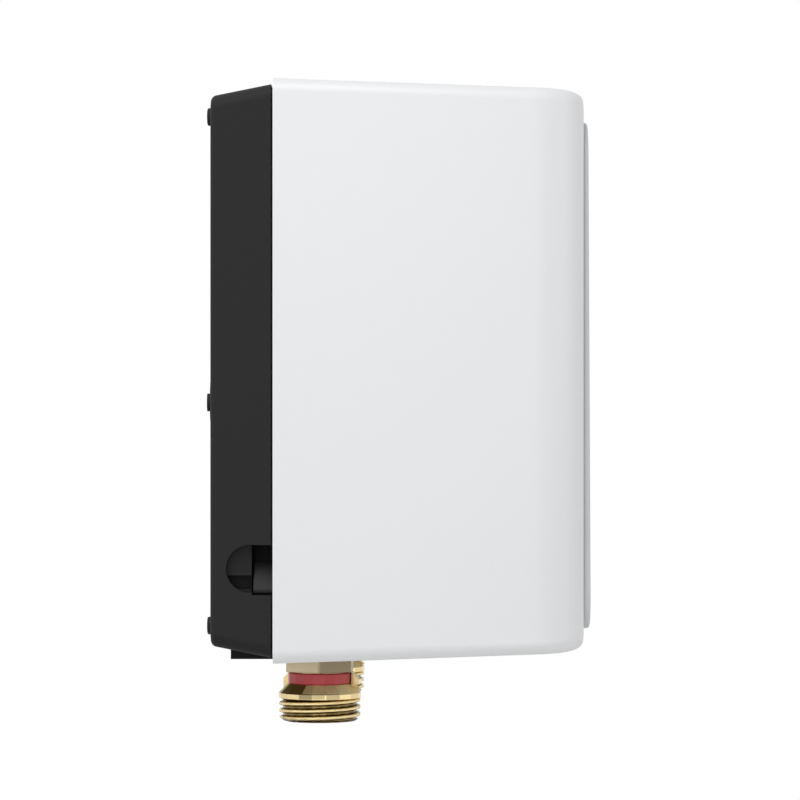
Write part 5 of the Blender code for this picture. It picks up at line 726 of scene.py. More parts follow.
carve(cover, fascia_plate("fascia_bed", FASCIA_MARGIN, COVER_FRONT - FASCIA_RECESS,
                          COVER_FRONT + CUT_OVER))
for side in (LEFT, RIGHT):
    half = TONGUE_HALF_WIDTH + TONGUE_CLEARANCE
    low = -COVER_HALF_HEIGHT - CUT_OVER
    high = -COVER_HALF_HEIGHT + COVER_WALL + CUT_OVER
    notch = cylinder("notch", at(side * FITTING_X, tongue_centre, low), UP, half, high - low, 48)
    weld(notch, block("notch_mouth", about(side * FITTING_X, half),
                      (COVER_REAR - CUT_OVER, tongue_centre), (low, high)))
    face = cover_half(COVER_HALF_WIDTH, NOSE_MIDDLE_DEPTH) - COVER_WALL
    pocket = block("nose_pocket", sideways(side, face - CUT_OVER, face + NOSE_POCKET_REACH),
                   NOSE_POCKET_DEPTHS, NOSE_POCKET_HEIGHTS)
    carve(cover, notch, pocket)
soften(cover, 0.0003)
stand_for(cover, WHITE, "front_cover", body="cover")

# %% [markdown]
# The front plate is a thin panel snapped into its bed. Its face leans: it stands
# further proud at the bottom than at the top, so the front corners are moved out by
# their height. Four pegs with arrow heads hold it.

# %% Front plate
FASCIA_TOP_RISE = 0.0012
FASCIA_BOTTOM_RISE = 0.0018
FASCIA_EDGE = 0.0010
FASCIA_BACK = COVER_FRONT - FASCIA_RECESS + 0.0003
PEG_INSET_X = 0.027
PEG_INSET_Z = 0.014
PEG_RADIUS = 0.0018
PEG_PROFILE = [(PEG_RADIUS, 0.0), (PEG_RADIUS, 0.0026), (0.0026, 0.0026), (0.0025, 0.0030),
               (0.0016, 0.0040)]
mean_front = COVER_FRONT + (FASCIA_TOP_RISE + FASCIA_BOTTOM_RISE) / 2
fascia = fascia_plate("front_plate", 0.0, FASCIA_BACK, mean_front)
open_up(fascia)
pick(fascia, "VERT", lambda corner: corner.co.y < -mean_front + 0.0002)
for corner in bmesh.from_edit_mesh(fascia.data).verts:
    if corner.select:
        share = (corner.co.z - HOUSING_MIDDLE - FASCIA_BOTTOM) / (FASCIA_TOP - FASCIA_BOTTOM)
        corner.co.y = -(COVER_FRONT + FASCIA_BOTTOM_RISE
                        + (FASCIA_TOP_RISE - FASCIA_BOTTOM_RISE) * share)
close_up()
soften(fascia, FASCIA_EDGE, 5, 60.0)
pegs = [turned("peg", at(side * (COVER_HALF_WIDTH - PEG_INSET_X), FASCIA_BACK + 0.0003, height),
               -OUT, PEG_PROFILE, 24)
        for side in (LEFT, RIGHT)
        for height in (FASCIA_TOP - PEG_INSET_Z, FASCIA_BOTTOM + PEG_INSET_Z)]
# Painted shade: the front plate is dressed in the greyer white that stands in for its dimmer
# edge.
stand_for(smooth(heap("front_plate", fascia, *pegs)), SHADED_FRONT_WHITE, "front_fascia", body="cover")

# %% [markdown]
# The back shell is the black tray that hangs on the wall. Its outside tapers
# towards the wall by ten degrees, and a lip at its front goes inside the cover. It is
# grown like the cover: back face, round back edge, tapered side, step in, lip, and
# then down again on the inside to the floor.

# %% Back shell: the tray
SHELL_BACK = 0.0012
SHELL_WALL = 0.0022
SHELL_TAPER = math.tan(math.radians(10.6))
SHELL_RIM = COVER_REAR - 0.0005
SHELL_RIM_STEP = 0.0014
SHELL_CORNER = 0.0045
SHELL_BACK_EDGE = 0.0013
BACK_EDGE_STEPS = 6
SHELL_LIP_FRONT = 0.026
LIP_CLEARANCE = 0.0004
SHELL_FLOOR = SHELL_BACK + SHELL_WALL


def shell_half(half, depth):
    return half - SHELL_RIM_STEP - SHELL_TAPER * (SHELL_RIM - depth)


def lip_half(half, depth):
    return cover_half(half, depth) - COVER_WALL - LIP_CLEARANCE


def shell_step(depth, half_at, change=0.0):
    return (depth, half_at(COVER_HALF_WIDTH, depth) - change,
            half_at(COVER_HALF_HEIGHT, depth) - change)


def back_edge_steps():
    """The quarter round from the back face to the side."""
    for step in range(BACK_EDGE_STEPS + 1):
        turn = math.pi / 2 * step / BACK_EDGE_STEPS
        depth = SHELL_BACK + SHELL_BACK_EDGE * (1 - math.cos(turn))
        yield shell_step(depth, shell_half, SHELL_BACK_EDGE * (1 - math.sin(turn)))


shell = grown("back_tray", list(back_edge_steps()) + [
    shell_step(SHELL_RIM, shell_half), shell_step(SHELL_RIM, lip_half),
    shell_step(SHELL_LIP_FRONT, lip_half), shell_step(SHELL_LIP_FRONT, lip_half, SHELL_WALL),
    shell_step(SHELL_RIM, lip_half, SHELL_WALL),
    shell_step(SHELL_FLOOR, shell_half, SHELL_WALL)], SHELL_CORNER - SHELL_BACK_EDGE)
print("tray faces", len(shell.data.polygons))

# %% [markdown]
# On the tray stand the pads that bear on the wall, the row of bosses, two long ribs,
# the posts for the heating block and the earth screw, the bosses of the connection
# plate's screws and the raised seats of the keyholes.

# %% Back shell: pads, ribs and posts
PAD_RADIUS = 0.0022
PAD_X = 0.080
PAD_Z = 0.0628
PAD_MIDDLE_Z = -0.0077
BOSS_RADIUS = 0.006
RIB_X = 0.0385
RIB_HALF = 0.0007
RIB_HEIGHTS = (-0.058, 0.062)
RIB_RISE = 0.0035
BLOCK_FOOT_X = 0.0322
BLOCK_FOOT_Z = (-0.0328, 0.0248)
BLOCK_POST_TOP = 0.0087
KEY_X = 0.076
KEY_SEAT_Z = 0.048
KEY_SEAT_RADIUS = 0.0085
KEY_SEAT_RISE = 0.0008
PLATE_SCREW_X = 0.024
PLATE_SCREW_DEPTH = 0.0106
PLATE_BOSS_TOP = -0.0560
EARTH_X, EARTH_Z = -0.033, 0.056
EARTH_POST_TOP = 0.012
BURY = SHELL_WALL / 2
for side in (LEFT, RIGHT):
    for height in (PAD_Z, -PAD_Z):
        weld(shell, turned("pad", at(side * PAD_X, SHELL_BACK + BURY, height), -OUT, [
            (PAD_RADIUS, 0.0), (PAD_RADIUS, BURY + SHELL_BACK - 0.0004),
            (PAD_RADIUS - 0.0002, BURY + SHELL_BACK - 0.0001),
            (0.0015, BURY + SHELL_BACK)], 32))
for x, height in ((-PAD_X, PAD_MIDDLE_Z), (0.0, -HOUSING_MIDDLE), (PAD_X, PAD_MIDDLE_Z)):
    weld(shell, turned("boss", at(x, SHELL_BACK + BURY, height), -OUT, [
        (BOSS_RADIUS, 0.0), (BOSS_RADIUS, BURY + 0.0003), (PAD_RADIUS, BURY + 0.0003),
        (PAD_RADIUS, BURY + SHELL_BACK)], 48))
root_depth = SHELL_FLOOR - BURY
for side in (LEFT, RIGHT):
    weld(shell, block("rib", about(side * RIB_X, RIB_HALF),
                      (root_depth, SHELL_FLOOR + RIB_RISE), RIB_HEIGHTS))
    for height in BLOCK_FOOT_Z:
        weld(shell, cylinder("post", at(side * BLOCK_FOOT_X, root_depth, height), OUT,
                             0.0042, BLOCK_POST_TOP - SHELL_FLOOR + BURY, 32))
    foot = -shell_half(COVER_HALF_HEIGHT, PLATE_SCREW_DEPTH) + BURY
    weld(shell,
         cylinder("seat", at(side * KEY_X, root_depth, KEY_SEAT_Z), OUT, KEY_SEAT_RADIUS,
                  KEY_SEAT_RISE + BURY, 48),
         cylinder("plate_boss", at(side * PLATE_SCREW_X, PLATE_SCREW_DEPTH, foot), UP, 0.0038,
                  PLATE_BOSS_TOP - foot, 32))
weld(shell, cylinder("earth_post", at(EARTH_X, root_depth, EARTH_Z), OUT, 0.0045,
                     EARTH_POST_TOP - SHELL_FLOOR + BURY, 32))
print("tray with posts", len(shell.data.polygons))

# %% [markdown]
# In each side is the finger recess: round at the wall end, with a stepped floor,
# and behind it the slot in which the latch swings. A solid pocket is joined on
# inside first, so that the cuts don't break through.

# %% Back shell: finger recesses
RECESS_Z = -0.0483
RECESS_HALF = 0.00585
RECESS_REAR = 0.0051
RECESS_DEPTH = 0.0030
RECESS_MIDDLE = RECESS_REAR + RECESS_HALF
STEP_HEIGHTS = (-0.0534, -0.0500)
STEP_DEPTH = 0.0070
STEP_REAR = 0.0046
STEP_REACH = 0.01
POCKET_X = 0.0815
POCKET_WALL = 0.0016
LATCH_SLOT_REAR = 0.0113
LATCH_LOW = -0.0542
LATCH_PIVOT = (0.0862, -0.0405)
LATCH_EYE = 0.0022
PIN_WAY_RADIUS = 0.0013
SLOT_CLEARANCE = 0.0007
SLOT_LOW = LATCH_LOW - SLOT_CLEARANCE
SLOT_HIGH = LATCH_PIVOT[1] + LATCH_EYE + SLOT_CLEARANCE
HAIR = 0.0001
surface = shell_half(COVER_HALF_WIDTH, RECESS_MIDDLE)


def recess_pocket(side):
    """The solid behind the recess, its outer side buried in the tapered wall."""
    outer = shell_half(COVER_HALF_WIDTH, root_depth) - BURY
    near = lip_half(COVER_HALF_WIDTH, SHELL_LIP_FRONT) - BURY
    pocket = block("pocket", sideways(side, POCKET_X, outer), (root_depth, SHELL_LIP_FRONT),
                   (SLOT_LOW - POCKET_WALL, SLOT_HIGH + POCKET_WALL))
    open_up(pocket)
    pick(pocket, "FACE", lambda face: face.normal.x * side > SQUARE_ON)
    bpy.ops.mesh.subdivide(number_cuts=1)
    close_up()
    open_up(pocket)
    pick(pocket, "VERT", lambda corner: corner.co.x * side > outer - HAIR
         and -corner.co.y > SHELL_LIP_FRONT - HAIR)
    bpy.ops.transform.translate(value=(side * (near - outer), 0.0, 0.0))
    close_up()
    return pocket


def recess_form(name, side, depth):
    """The recess's own outline, round at the wall end and open at the cover."""
    form = cylinder(name, at(side * (surface - depth), RECESS_MIDDLE, RECESS_Z), ACROSS * side,
                    RECESS_HALF, depth + CUT_OVER * 2, 64)
    return weld(form, block("form_mouth", sideways(side, surface - depth, surface + CUT_OVER * 2),
                            (RECESS_MIDDLE, SHELL_RIM + CUT_OVER), about(RECESS_Z, RECESS_HALF)))


for side in (LEFT, RIGHT):
    weld(shell, recess_pocket(side))
    carve(shell, recess_form("scoop", side, RECESS_DEPTH))
    way = block("latch_slot", sideways(side, POCKET_X + POCKET_WALL, surface - SHELL_WALL),
                (LATCH_SLOT_REAR, SHELL_LIP_FRONT + CUT_OVER), (SLOT_LOW, SLOT_HIGH))
    weld(way, block("latch_window",
                    sideways(side, surface - SHELL_WALL * 1.5, surface + CUT_OVER),
                    (LATCH_SLOT_REAR + HAIR * 2, SHELL_LIP_FRONT + CUT_OVER * 2),
                    (SLOT_LOW + HAIR * 2, RECESS_Z + RECESS_HALF - HAIR)))
    step = recess_form("recess_step", side, STEP_DEPTH)
    keep_inside(step, block("step_part", sideways(side, surface - STEP_REACH,
                                                  surface + STEP_REACH),
                            (STEP_REAR, SHELL_RIM), STEP_HEIGHTS))
    carve(shell, way, step)
    merge_slivers(shell)
for side in (LEFT, RIGHT):
    carve(shell, cylinder("pin_way", at(side * LATCH_PIVOT[0], SHELL_FLOOR + BURY * 2,
                                        LATCH_PIVOT[1]),
                          OUT, PIN_WAY_RADIUS, SHELL_LIP_FRONT, spin_deg=5.0))
print("tray with recesses", len(shell.data.polygons))

# %% [markdown]
# The last cuts in the tray: keyholes for two wall screws, the cable hole, the
# notches round the pipe necks and the pilot holes of the screws.

# %% Back shell: keyholes and holes
NECK_NOTCH = 0.0104775
KEY_HEAD_Z, KEY_END_Z = 0.04375, 0.04995
KEY_HEAD_RADIUS = 0.0048
KEY_SLOT_HALF = 0.0023
PILOT_RADIUS = 0.0017
CABLE_X, CABLE_Z = -0.062, -0.008
CABLE_HOLE_RADIUS = 0.007
PLATE_BOTTOM = -0.0720
back = SHELL_BACK - CUT_OVER
through = SHELL_WALL + KEY_SEAT_RISE + CUT_OVER * 2
for side in (LEFT, RIGHT):
    carve(shell, block("neck_notch", about(side * FITTING_X, NECK_NOTCH),
                       (FITTING_DEPTH - NECK_NOTCH, SHELL_LIP_FRONT + CUT_OVER),
                       (-COVER_HALF_HEIGHT, -COVER_HALF_HEIGHT + COVER_WALL + SHELL_WALL
                        + CUT_OVER)))
    x = side * KEY_X
    key = cylinder("key_head", at(x, back, KEY_HEAD_Z), OUT, KEY_HEAD_RADIUS, through, 48)
    weld(key, cylinder("key_end", at(x, back, KEY_END_Z), OUT, KEY_SLOT_HALF, through, 32),
         block("key_slot", about(x, KEY_SLOT_HALF), (back, back + through),
               (KEY_HEAD_Z, KEY_END_Z)))
    carve(shell, key, cylinder("screw_way", at(side * PLATE_SCREW_X, PLATE_SCREW_DEPTH,
                                               PLATE_BOTTOM), UP, PILOT_RADIUS, 0.0134))
    for height in BLOCK_FOOT_Z:
        carve(shell, cylinder("post_way", at(side * BLOCK_FOOT_X, SHELL_FLOOR, height), OUT,
                              PILOT_RADIUS, 0.009))
carve(shell, cylinder("earth_way", at(EARTH_X, SHELL_FLOOR, EARTH_Z), OUT, PILOT_RADIUS, 0.012),
      cylinder("cable_way", at(CABLE_X, back, CABLE_Z), OUT, CABLE_HOLE_RADIUS,
               SHELL_WALL + CUT_OVER * 2, 48))
soften(shell, 0.00022)
apply_modifier(shell, "WEIGHTED_NORMAL", keep_sharp=True)
stand_for(shell, BLACK, "back_shell")

# %% [markdown]
# The connection plate is a black bar under the shell. It carries both pipe
# fittings in two rounded tongues with hexagonal holes, and two screws hold it up.

# %% Connection plate
PLATE_REAR = 0.0052
PLATE_GAP = 0.0006
TOUCH = 0.0003
HEX_ACROSS_FLATS = 0.0165
HEX_TURN_DEG = 27.3
HEAD_SEAT_RADIUS = 0.0030
HEAD_SEAT_DEPTH = 0.0020
plate_front = COVER_REAR - PLATE_GAP
plate_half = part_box("connection_plate")[1].x


def plate_top(depth):
    return -shell_half(COVER_HALF_HEIGHT, depth) - TOUCH


def hexagon_radius(across_flats):
    return across_flats / math.sqrt(3)


front_top = plate_top(plate_front)
plate = block("pipe_plate", about(0.0, plate_half), (PLATE_REAR, plate_front),
              (PLATE_BOTTOM, front_top))
open_up(plate)
pick(plate, "VERT", lambda corner: corner.co.z > HOUSING_MIDDLE + PLATE_BOTTOM + HAIR
     and -corner.co.y < PLATE_REAR + HAIR)
bpy.ops.transform.translate(value=(0.0, 0.0, plate_top(PLATE_REAR) - front_top))
close_up()
under_lip = -lip_half(COVER_HALF_HEIGHT, SHELL_RIM) - TOUCH
for side in (LEFT, RIGHT):
    x = side * FITTING_X
    for start, low, high in ((plate_front - PLATE_GAP * 2, PLATE_BOTTOM, front_top),
                             (SHELL_RIM + TOUCH, (PLATE_BOTTOM + front_top) / 2, under_lip)):
        tongue = cylinder("tongue", at(x, tongue_centre, low), UP, TONGUE_HALF_WIDTH,
                          high - low, 64)
        weld(tongue, block("tongue_root", about(x, TONGUE_HALF_WIDTH), (start, tongue_centre),
                           (low, high)))
        weld(plate, tongue)
    foot = at(side * PLATE_SCREW_X, PLATE_SCREW_DEPTH, PLATE_BOTTOM - CUT_OVER)
    carve(plate,
          cylinder("hex_way", at(x, FITTING_DEPTH, PLATE_BOTTOM - CUT_OVER), UP,
                   hexagon_radius(HEX_ACROSS_FLATS + TOUCH * 2), 0.012, 6, HEX_TURN_DEG),
          cylinder("screw_way", foot, UP, PILOT_RADIUS, 0.008),
          cylinder("screw_seat", foot, UP, HEAD_SEAT_RADIUS, CUT_OVER + HEAD_SEAT_DEPTH, 32))
soften(plate, 0.0003)
# Painted shade: the plate takes the darker black that stands in for the shade under the housing.
stand_for(plate, SHADED_PLATE_BLACK, "connection_plate")

# %% [markdown]
# The thread on each fitting is a real G 1/2 thread: 14 turns to the inch, 20.955 mm
# over its crests. A ridge's section is swept along a helix with the Screw modifier,
# which rises by one pitch a turn. In the photograph the brass, the ring and the
# thread all show the same eighteen flats, so the sweep takes eighteen steps a turn.
# The ridge is cut to length by a blank with a chamfered end, as a die leaves it.

# %% Thread ridge
THREAD_RADIUS = 0.0104775
THREAD_PITCH = 0.001814
THREAD_DEPTH = 0.00112
THREAD_ROOT = THREAD_RADIUS - THREAD_DEPTH
THREAD_END = -0.0886
THREAD_TOP = -0.0822
THREAD_TURNS = 6
THREAD_START = 0.00145
FLATS = 18
RIDGE_BASE = THREAD_ROOT - 0.0004
RIDGE_SHOULDER = THREAD_RADIUS - 0.00028
RIDGE_SECTION = [(RIDGE_BASE, -0.48), (RIDGE_BASE, 0.48), (RIDGE_SHOULDER, 0.22),
                 (THREAD_RADIUS, 0.12), (THREAD_RADIUS, -0.12), (RIDGE_SHOULDER, -0.22)]


def thread_ridge(x):
    """A helical ridge. Its section's corners are radii and shares of the pitch."""
    clear_selection()
    bpy.ops.mesh.primitive_circle_add(
        vertices=len(RIDGE_SECTION), radius=THREAD_PITCH / 2, fill_type="NOTHING",
        location=(THREAD_ROOT, 0.0, 0.0), rotation=UPRIGHT)
    ridge = settle("thread_ridge")
    for corner, (radius, share) in zip(ridge.data.vertices, RIDGE_SECTION):
        corner.co = (radius, 0.0, share * THREAD_PITCH)
    apply_modifier(ridge, "SCREW", axis="Z", angle=math.tau, screw_offset=THREAD_PITCH,
                   iterations=THREAD_TURNS, steps=FLATS, render_steps=FLATS,
                   use_merge_vertices=False)
    open_up(ridge)
    pick(ridge, "EDGE", lambda edge: edge.is_boundary)
    bpy.ops.mesh.edge_face_add()
    close_up()
    take(ridge)
    bpy.ops.transform.translate(value=at(x, FITTING_DEPTH, THREAD_END - THREAD_START))
    apply_place()
    return outward(ridge)


# %% [markdown]
# The fitting itself: a hexagon neck held by the plate, a thread below, and between
# them a collar whose near side a cutter has milled down to a sloping ledge. What it
# left of the collar stands up as two ears, one to the wall and one to the front; the
# die ran up over the front one. Above is the spigot with grooves for seal and clip.

# %% Pipe fittings
COLLAR_TOP = -0.0761
COLLAR_TOP_RADIUS = 0.0085
COLLAR_SLOPE = 0.0020
RING_RADIUS = 0.0080
LEDGE_BOTTOM = -0.0792
LEDGE_OUTER_BOTTOM = -0.0815
BAND_LOW = THREAD_TOP - 0.0005
EARS_TURN_DEG = 20.6
EARS_NEAR, EARS_FAR = -0.0008, -0.0052
EAR_LIMIT = 0.02
DIE_CUTS = (-0.0799, -0.08155)
DIE_CUT_RADIUS = 0.0013
DIE_CUT_SQUASH = 0.6
NECK_TOP = -0.0628
BORE_RADIUS = 0.0056
UPPER_BORE_RADIUS = 0.0044
LEAD_IN = 0.0013
SPIGOT = [(0.0071, LEDGE_BOTTOM - 0.0010), (0.0071, -0.0640), (0.0094, -0.0636),
          (0.0094, -0.0621), (0.0072, -0.0621), (0.0072, -0.0594), (0.0062, -0.0594),
          (0.0062, -0.0572), (0.0072, -0.0572), (0.0072, -0.0532), (0.0060, -0.0532),
          (0.0060, -0.0510), (0.0072, -0.0510), (0.0072, -0.0494), (0.0068, -0.0490)]


def collar_ear(foot, way):
    """What the cutter left of the collar: LEFT is the ear at the front, RIGHT at the wall."""
    ear = turned("collar_ear", foot, UP, [
        (THREAD_RADIUS, LEDGE_OUTER_BOTTOM - TOUCH), (THREAD_RADIUS, COLLAR_TOP - COLLAR_SLOPE),
        (COLLAR_TOP_RADIUS, COLLAR_TOP)], FLATS)
    carve(ear, cylinder("ear_core", foot + UP * (LEDGE_OUTER_BOTTOM - CUT_OVER), UP,
                        RING_RADIUS + TOUCH, 0.012, 64))
    turn = math.radians(EARS_TURN_DEG)
    near = Vector((-math.cos(turn), math.sin(turn), 0.0))
    along = Vector((math.sin(turn), math.cos(turn), 0.0))
    middle = (foot + near * (EARS_NEAR + EARS_FAR) / 2 + along * way * EAR_LIMIT / 2
              + UP * (LEDGE_OUTER_BOTTOM + COLLAR_TOP) / 2)
    clear_selection()
    bpy.ops.mesh.primitive_cube_add(
        size=1.0, location=middle, scale=(EARS_NEAR - EARS_FAR, EAR_LIMIT, EAR_LIMIT),
        rotation=(0.0, 0.0, -turn))
    return keep_inside(ear, settle("ear_limit"))


def thread_cut(foot, height):
    """A sharp groove round the collar at a height, as the die's first teeth leave it."""
    clear_selection()
    bpy.ops.mesh.primitive_torus_add(
        major_radius=THREAD_RADIUS + 0.0002, minor_radius=DIE_CUT_RADIUS, major_segments=36,
        minor_segments=4, location=foot + UP * height)
    bpy.context.object.scale = (1.0, 1.0, DIE_CUT_SQUASH)
    return settle("thread_cut")


def build_fitting(side, name, node):
    x = side * FITTING_X
    foot = at(x, FITTING_DEPTH, 0.0)
    body = turned(name, foot, UP, [
        (THREAD_ROOT - 0.0005, THREAD_END), (THREAD_ROOT, THREAD_END + 0.0005),
        (THREAD_ROOT, BAND_LOW - 0.0006), (THREAD_RADIUS, BAND_LOW),
        (THREAD_RADIUS, LEDGE_OUTER_BOTTOM), (RING_RADIUS, LEDGE_BOTTOM)], FLATS)
    ridge = thread_ridge(x)
    keep_inside(ridge, turned("blank", foot, UP, [
        (THREAD_RADIUS - LEAD_IN, THREAD_END), (THREAD_RADIUS + TOUCH, THREAD_END + LEAD_IN),
        (THREAD_RADIUS + TOUCH, BAND_LOW - HAIR)], FLATS))
    spigot = turned("spigot", foot, UP, SPIGOT, 64)
    hexagon = hexagon_radius(HEX_ACROSS_FLATS)
    neck = turned("neck", foot, UP, [(hexagon, COLLAR_TOP), (hexagon, NECK_TOP)], 6, HEX_TURN_DEG)
    soften(neck, 0.0002)
    front_ear = collar_ear(foot, LEFT)
    carve(front_ear, *[thread_cut(foot, height) for height in DIE_CUTS])
    weld(body, ridge, spigot, neck, front_ear, collar_ear(foot, RIGHT))
    carve(body,
          cylinder("bore", foot + UP * (THREAD_END - CUT_OVER), UP, BORE_RADIUS, 0.0246, 64),
          cylinder("upper_bore", foot + UP * -0.068, UP, UPPER_BORE_RADIUS, 0.03, 48))
    finish = turned_brass(name + "_brass", foot, BAND_LOW, LEDGE_OUTER_BOTTOM, LEDGE_BOTTOM)
    return stand_for(smooth(body, 12.0), finish, node)


build_fitting(LEFT, "hot_fitting", "outlet_fitting")
build_fitting(RIGHT, "cold_fitting", "inlet_fitting")

# %% [markdown]
# A coloured ring in the groove marks the pipe: red for hot, blue for cold. It is soft
# plastic with the same flats as the brass and two small pips from its mould.

# %% Marking rings
RING_LOW = -0.07918
RING_EDGE = 0.0003
RING_HEIGHT = 0.0029
RING_BORE = 0.00725
PIPS = ((-2.0, -0.0001), (4.0, 0.0027))
PIP_RADIUS = 0.0004


def build_ring(side, name, finish, node):
    foot = at(side * FITTING_X, FITTING_DEPTH, RING_LOW)
    ring = turned(name, foot, UP, [
        (RING_RADIUS - RING_EDGE, 0.0), (RING_RADIUS, RING_EDGE),
        (RING_RADIUS, RING_HEIGHT - RING_EDGE), (RING_RADIUS - RING_EDGE, RING_HEIGHT)], FLATS)
    for turn_deg, height in PIPS:
        turn = math.radians(turn_deg)
        towards = Vector((-math.cos(turn), -math.sin(turn), 0.0))
        weld(ring, cylinder("pip", foot + towards * (RING_RADIUS - 0.0006) + UP * height, UP,
                            PIP_RADIUS, 0.0003, 12))
    carve(ring, cylinder("ring_bore", foot - UP * 0.001, UP, RING_BORE, 0.006, 64))
    return stand_for(smooth(ring, 12.0), finish, node)


build_ring(LEFT, "red_ring", RED, "hot_ring")
build_ring(RIGHT, "blue_ring", BLUE, "cold_ring")

# %% [markdown]
# Each latch is a lever on a pin: an eye, a pad for the fingertip, an arm that leans in
# from the pad to the eye, and a nose that hooks into the cover. The arm is the pad's
# top face extruded to the pin, and its bends are rounded with a bevel. Deep in the
# recess the arm gets no light, so its faces have a painted shade: a near-black colour,
# much darker than the pad's.

# %% Latches
LATCH_REAR = 0.0117
LATCH_FRONT = 0.0248
LATCH_FACE_X = 0.0912
LATCH_THICKNESS = 0.0020
LATCH_PAD_LOW = -0.0544
LATCH_BEND = -0.0534
LATCH_KNEE = -0.0466
LATCH_LEAN = 0.0046
ARM_SHARE = 0.65
ARM_RETURN = 0.0002
NOSE_ROOT = 0.0008
NOSE_DEPTHS = (0.0200, 0.0236)
NOSE_HEIGHTS = (-0.0532, -0.0490)
NOSE_LEAD = 0.0018
EYE_BORE = 0.0011


def latch_nose(side, root):
    """The hook; the front corners of its tip are moved back to lead it in."""
    tip = cover_half(COVER_HALF_WIDTH, NOSE_DEPTHS[1]) - COVER_WALL - TOUCH
    nose = block("nose", sideways(side, root, tip), NOSE_DEPTHS, NOSE_HEIGHTS)
    open_up(nose)
    pick(nose, "VERT", lambda corner: corner.co.x * side > tip - HAIR
         and -corner.co.y > NOSE_DEPTHS[1] - HAIR)
    bpy.ops.transform.translate(value=(0.0, NOSE_LEAD, 0.0))
    close_up()
    return nose


def build_latch(side, name, node):
    inner = LATCH_FACE_X - LATCH_THICKNESS
    pivot = at(side * LATCH_PIVOT[0], LATCH_REAR, LATCH_PIVOT[1])
    eye = cylinder(name, pivot, OUT, LATCH_EYE, LATCH_FRONT - LATCH_REAR, 40)
    arm = block("arm", sideways(side, inner, LATCH_FACE_X), (LATCH_REAR, LATCH_FRONT),
                (LATCH_PAD_LOW, LATCH_BEND))
    open_up(arm)
    pick(arm, "FACE", lambda face: face.normal.z > SQUARE_ON)
    draw_out((-side * LATCH_LEAN, 0.0, LATCH_KNEE - LATCH_BEND))
    bpy.ops.transform.resize(value=(ARM_SHARE, 1.0, 1.0),
                             center_override=at(side * (LATCH_FACE_X - LATCH_LEAN), 0.0, 0.0))
    draw_out((side * ARM_RETURN, 0.0, LATCH_PIVOT[1] - LATCH_KNEE))
    close_up()
    soften(arm, 0.0003, 2, 15.0)
    weld(eye, arm, latch_nose(side, inner + NOSE_ROOT))
    carve(eye, cylinder("eye_way", pivot - OUT * 0.001, OUT, EYE_BORE, 0.02))
    # Painted shade: the arm's faces above the knee get the near-black.
    paint_part(smooth(eye), LATCH_GREY, ARM_PAINTED_SHADE, lambda face: (
        middle_of(face).z - HOUSING_MIDDLE > LATCH_KNEE - HAIR * 2))
    return stand_for(eye, None, node, body=node)


build_latch(LEFT, "left_latch", "latch_left")
build_latch(RIGHT, "right_latch", "latch_right")

# %% [markdown]
# The pieces inside are seen once the cover is off. They need two more helpers: a rod
# with turned edges, and a copy of a CAD shape whose loose triangles are merged and
# whose edges are rounded.

# %% Helpers for the inner pieces
def rod(name, foot, axis, radius, length, edge=0.0002, sides=32):
    """A rod whose two ends have a small turned chamfer."""
    return turned(name, foot, axis, [(radius - edge, 0.0), (radius, edge),
                                     (radius, length - edge), (radius - edge, length)], sides)


def refined(node, name, width):
    """A copy of a CAD node with its triangles merged and its edges rounded."""
    clear_selection()
    piece = linked(name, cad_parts[node].data.copy())
    piece.data.name = name
    open_up(piece)
    bpy.ops.mesh.remove_doubles(threshold=SLIVER / 2)
    bpy.ops.mesh.dissolve_limited(angle_limit=math.radians(0.5))
    bpy.ops.mesh.normals_make_consistent(inside=False)
    close_up()
    return soften(piece, width)


# %% [markdown]
# One pan-head screw with a cross recess is modelled at the origin and copied to each
# place, turned a little differently every time, as real screws are. The screws that
# the CAD keeps in one node with the block or its cap are set over those heads.

# %% The pattern screw
SCREW_LENGTH = 0.0080
SHANK_RADIUS = 0.0014
HEAD_RADIUS = 0.00275
SCREW_SPIN_DEG = 37.0
CROSS_SIZE = (0.0030, 0.0005, 0.0014)
CROSS_MIDDLE = 0.0013


def screw_pattern():
    pattern = turned("screw_pattern", Vector(), UP, [
        (0.0006, -SCREW_LENGTH), (SHANK_RADIUS, SHANK_RADIUS - SCREW_LENGTH),
        (SHANK_RADIUS, 0.0), (HEAD_RADIUS - 0.0001, 0.0), (HEAD_RADIUS, 0.0001),
        (HEAD_RADIUS, 0.0007), (HEAD_RADIUS - 0.0003, 0.0011), (0.0017, 0.00145),
        (0.0007, 0.00155)], 32)
    for turn_deg in (0.0, 90.0):
        clear_selection()
        bpy.ops.mesh.primitive_cube_add(
            size=1.0, location=(0.0, 0.0, CROSS_MIDDLE), scale=CROSS_SIZE,
            rotation=(0.0, 0.0, math.radians(turn_deg)))
        carve(pattern, settle("recess"))
    return smooth(pattern)


PATTERN = screw_pattern()
screws_made = []


def screw_at(name, seat, axis):
    """A copy of the pattern screw: seat is under its head, axis points out of it."""
    clear_selection()
    copy = linked(name, PATTERN.data.copy())
    copy.data.name = name
    screws_made.append(name)
    copy.rotation_euler = turn_for(axis, SCREW_SPIN_DEG * len(screws_made))
    copy.location = seat
    take(copy)
    return apply_place()


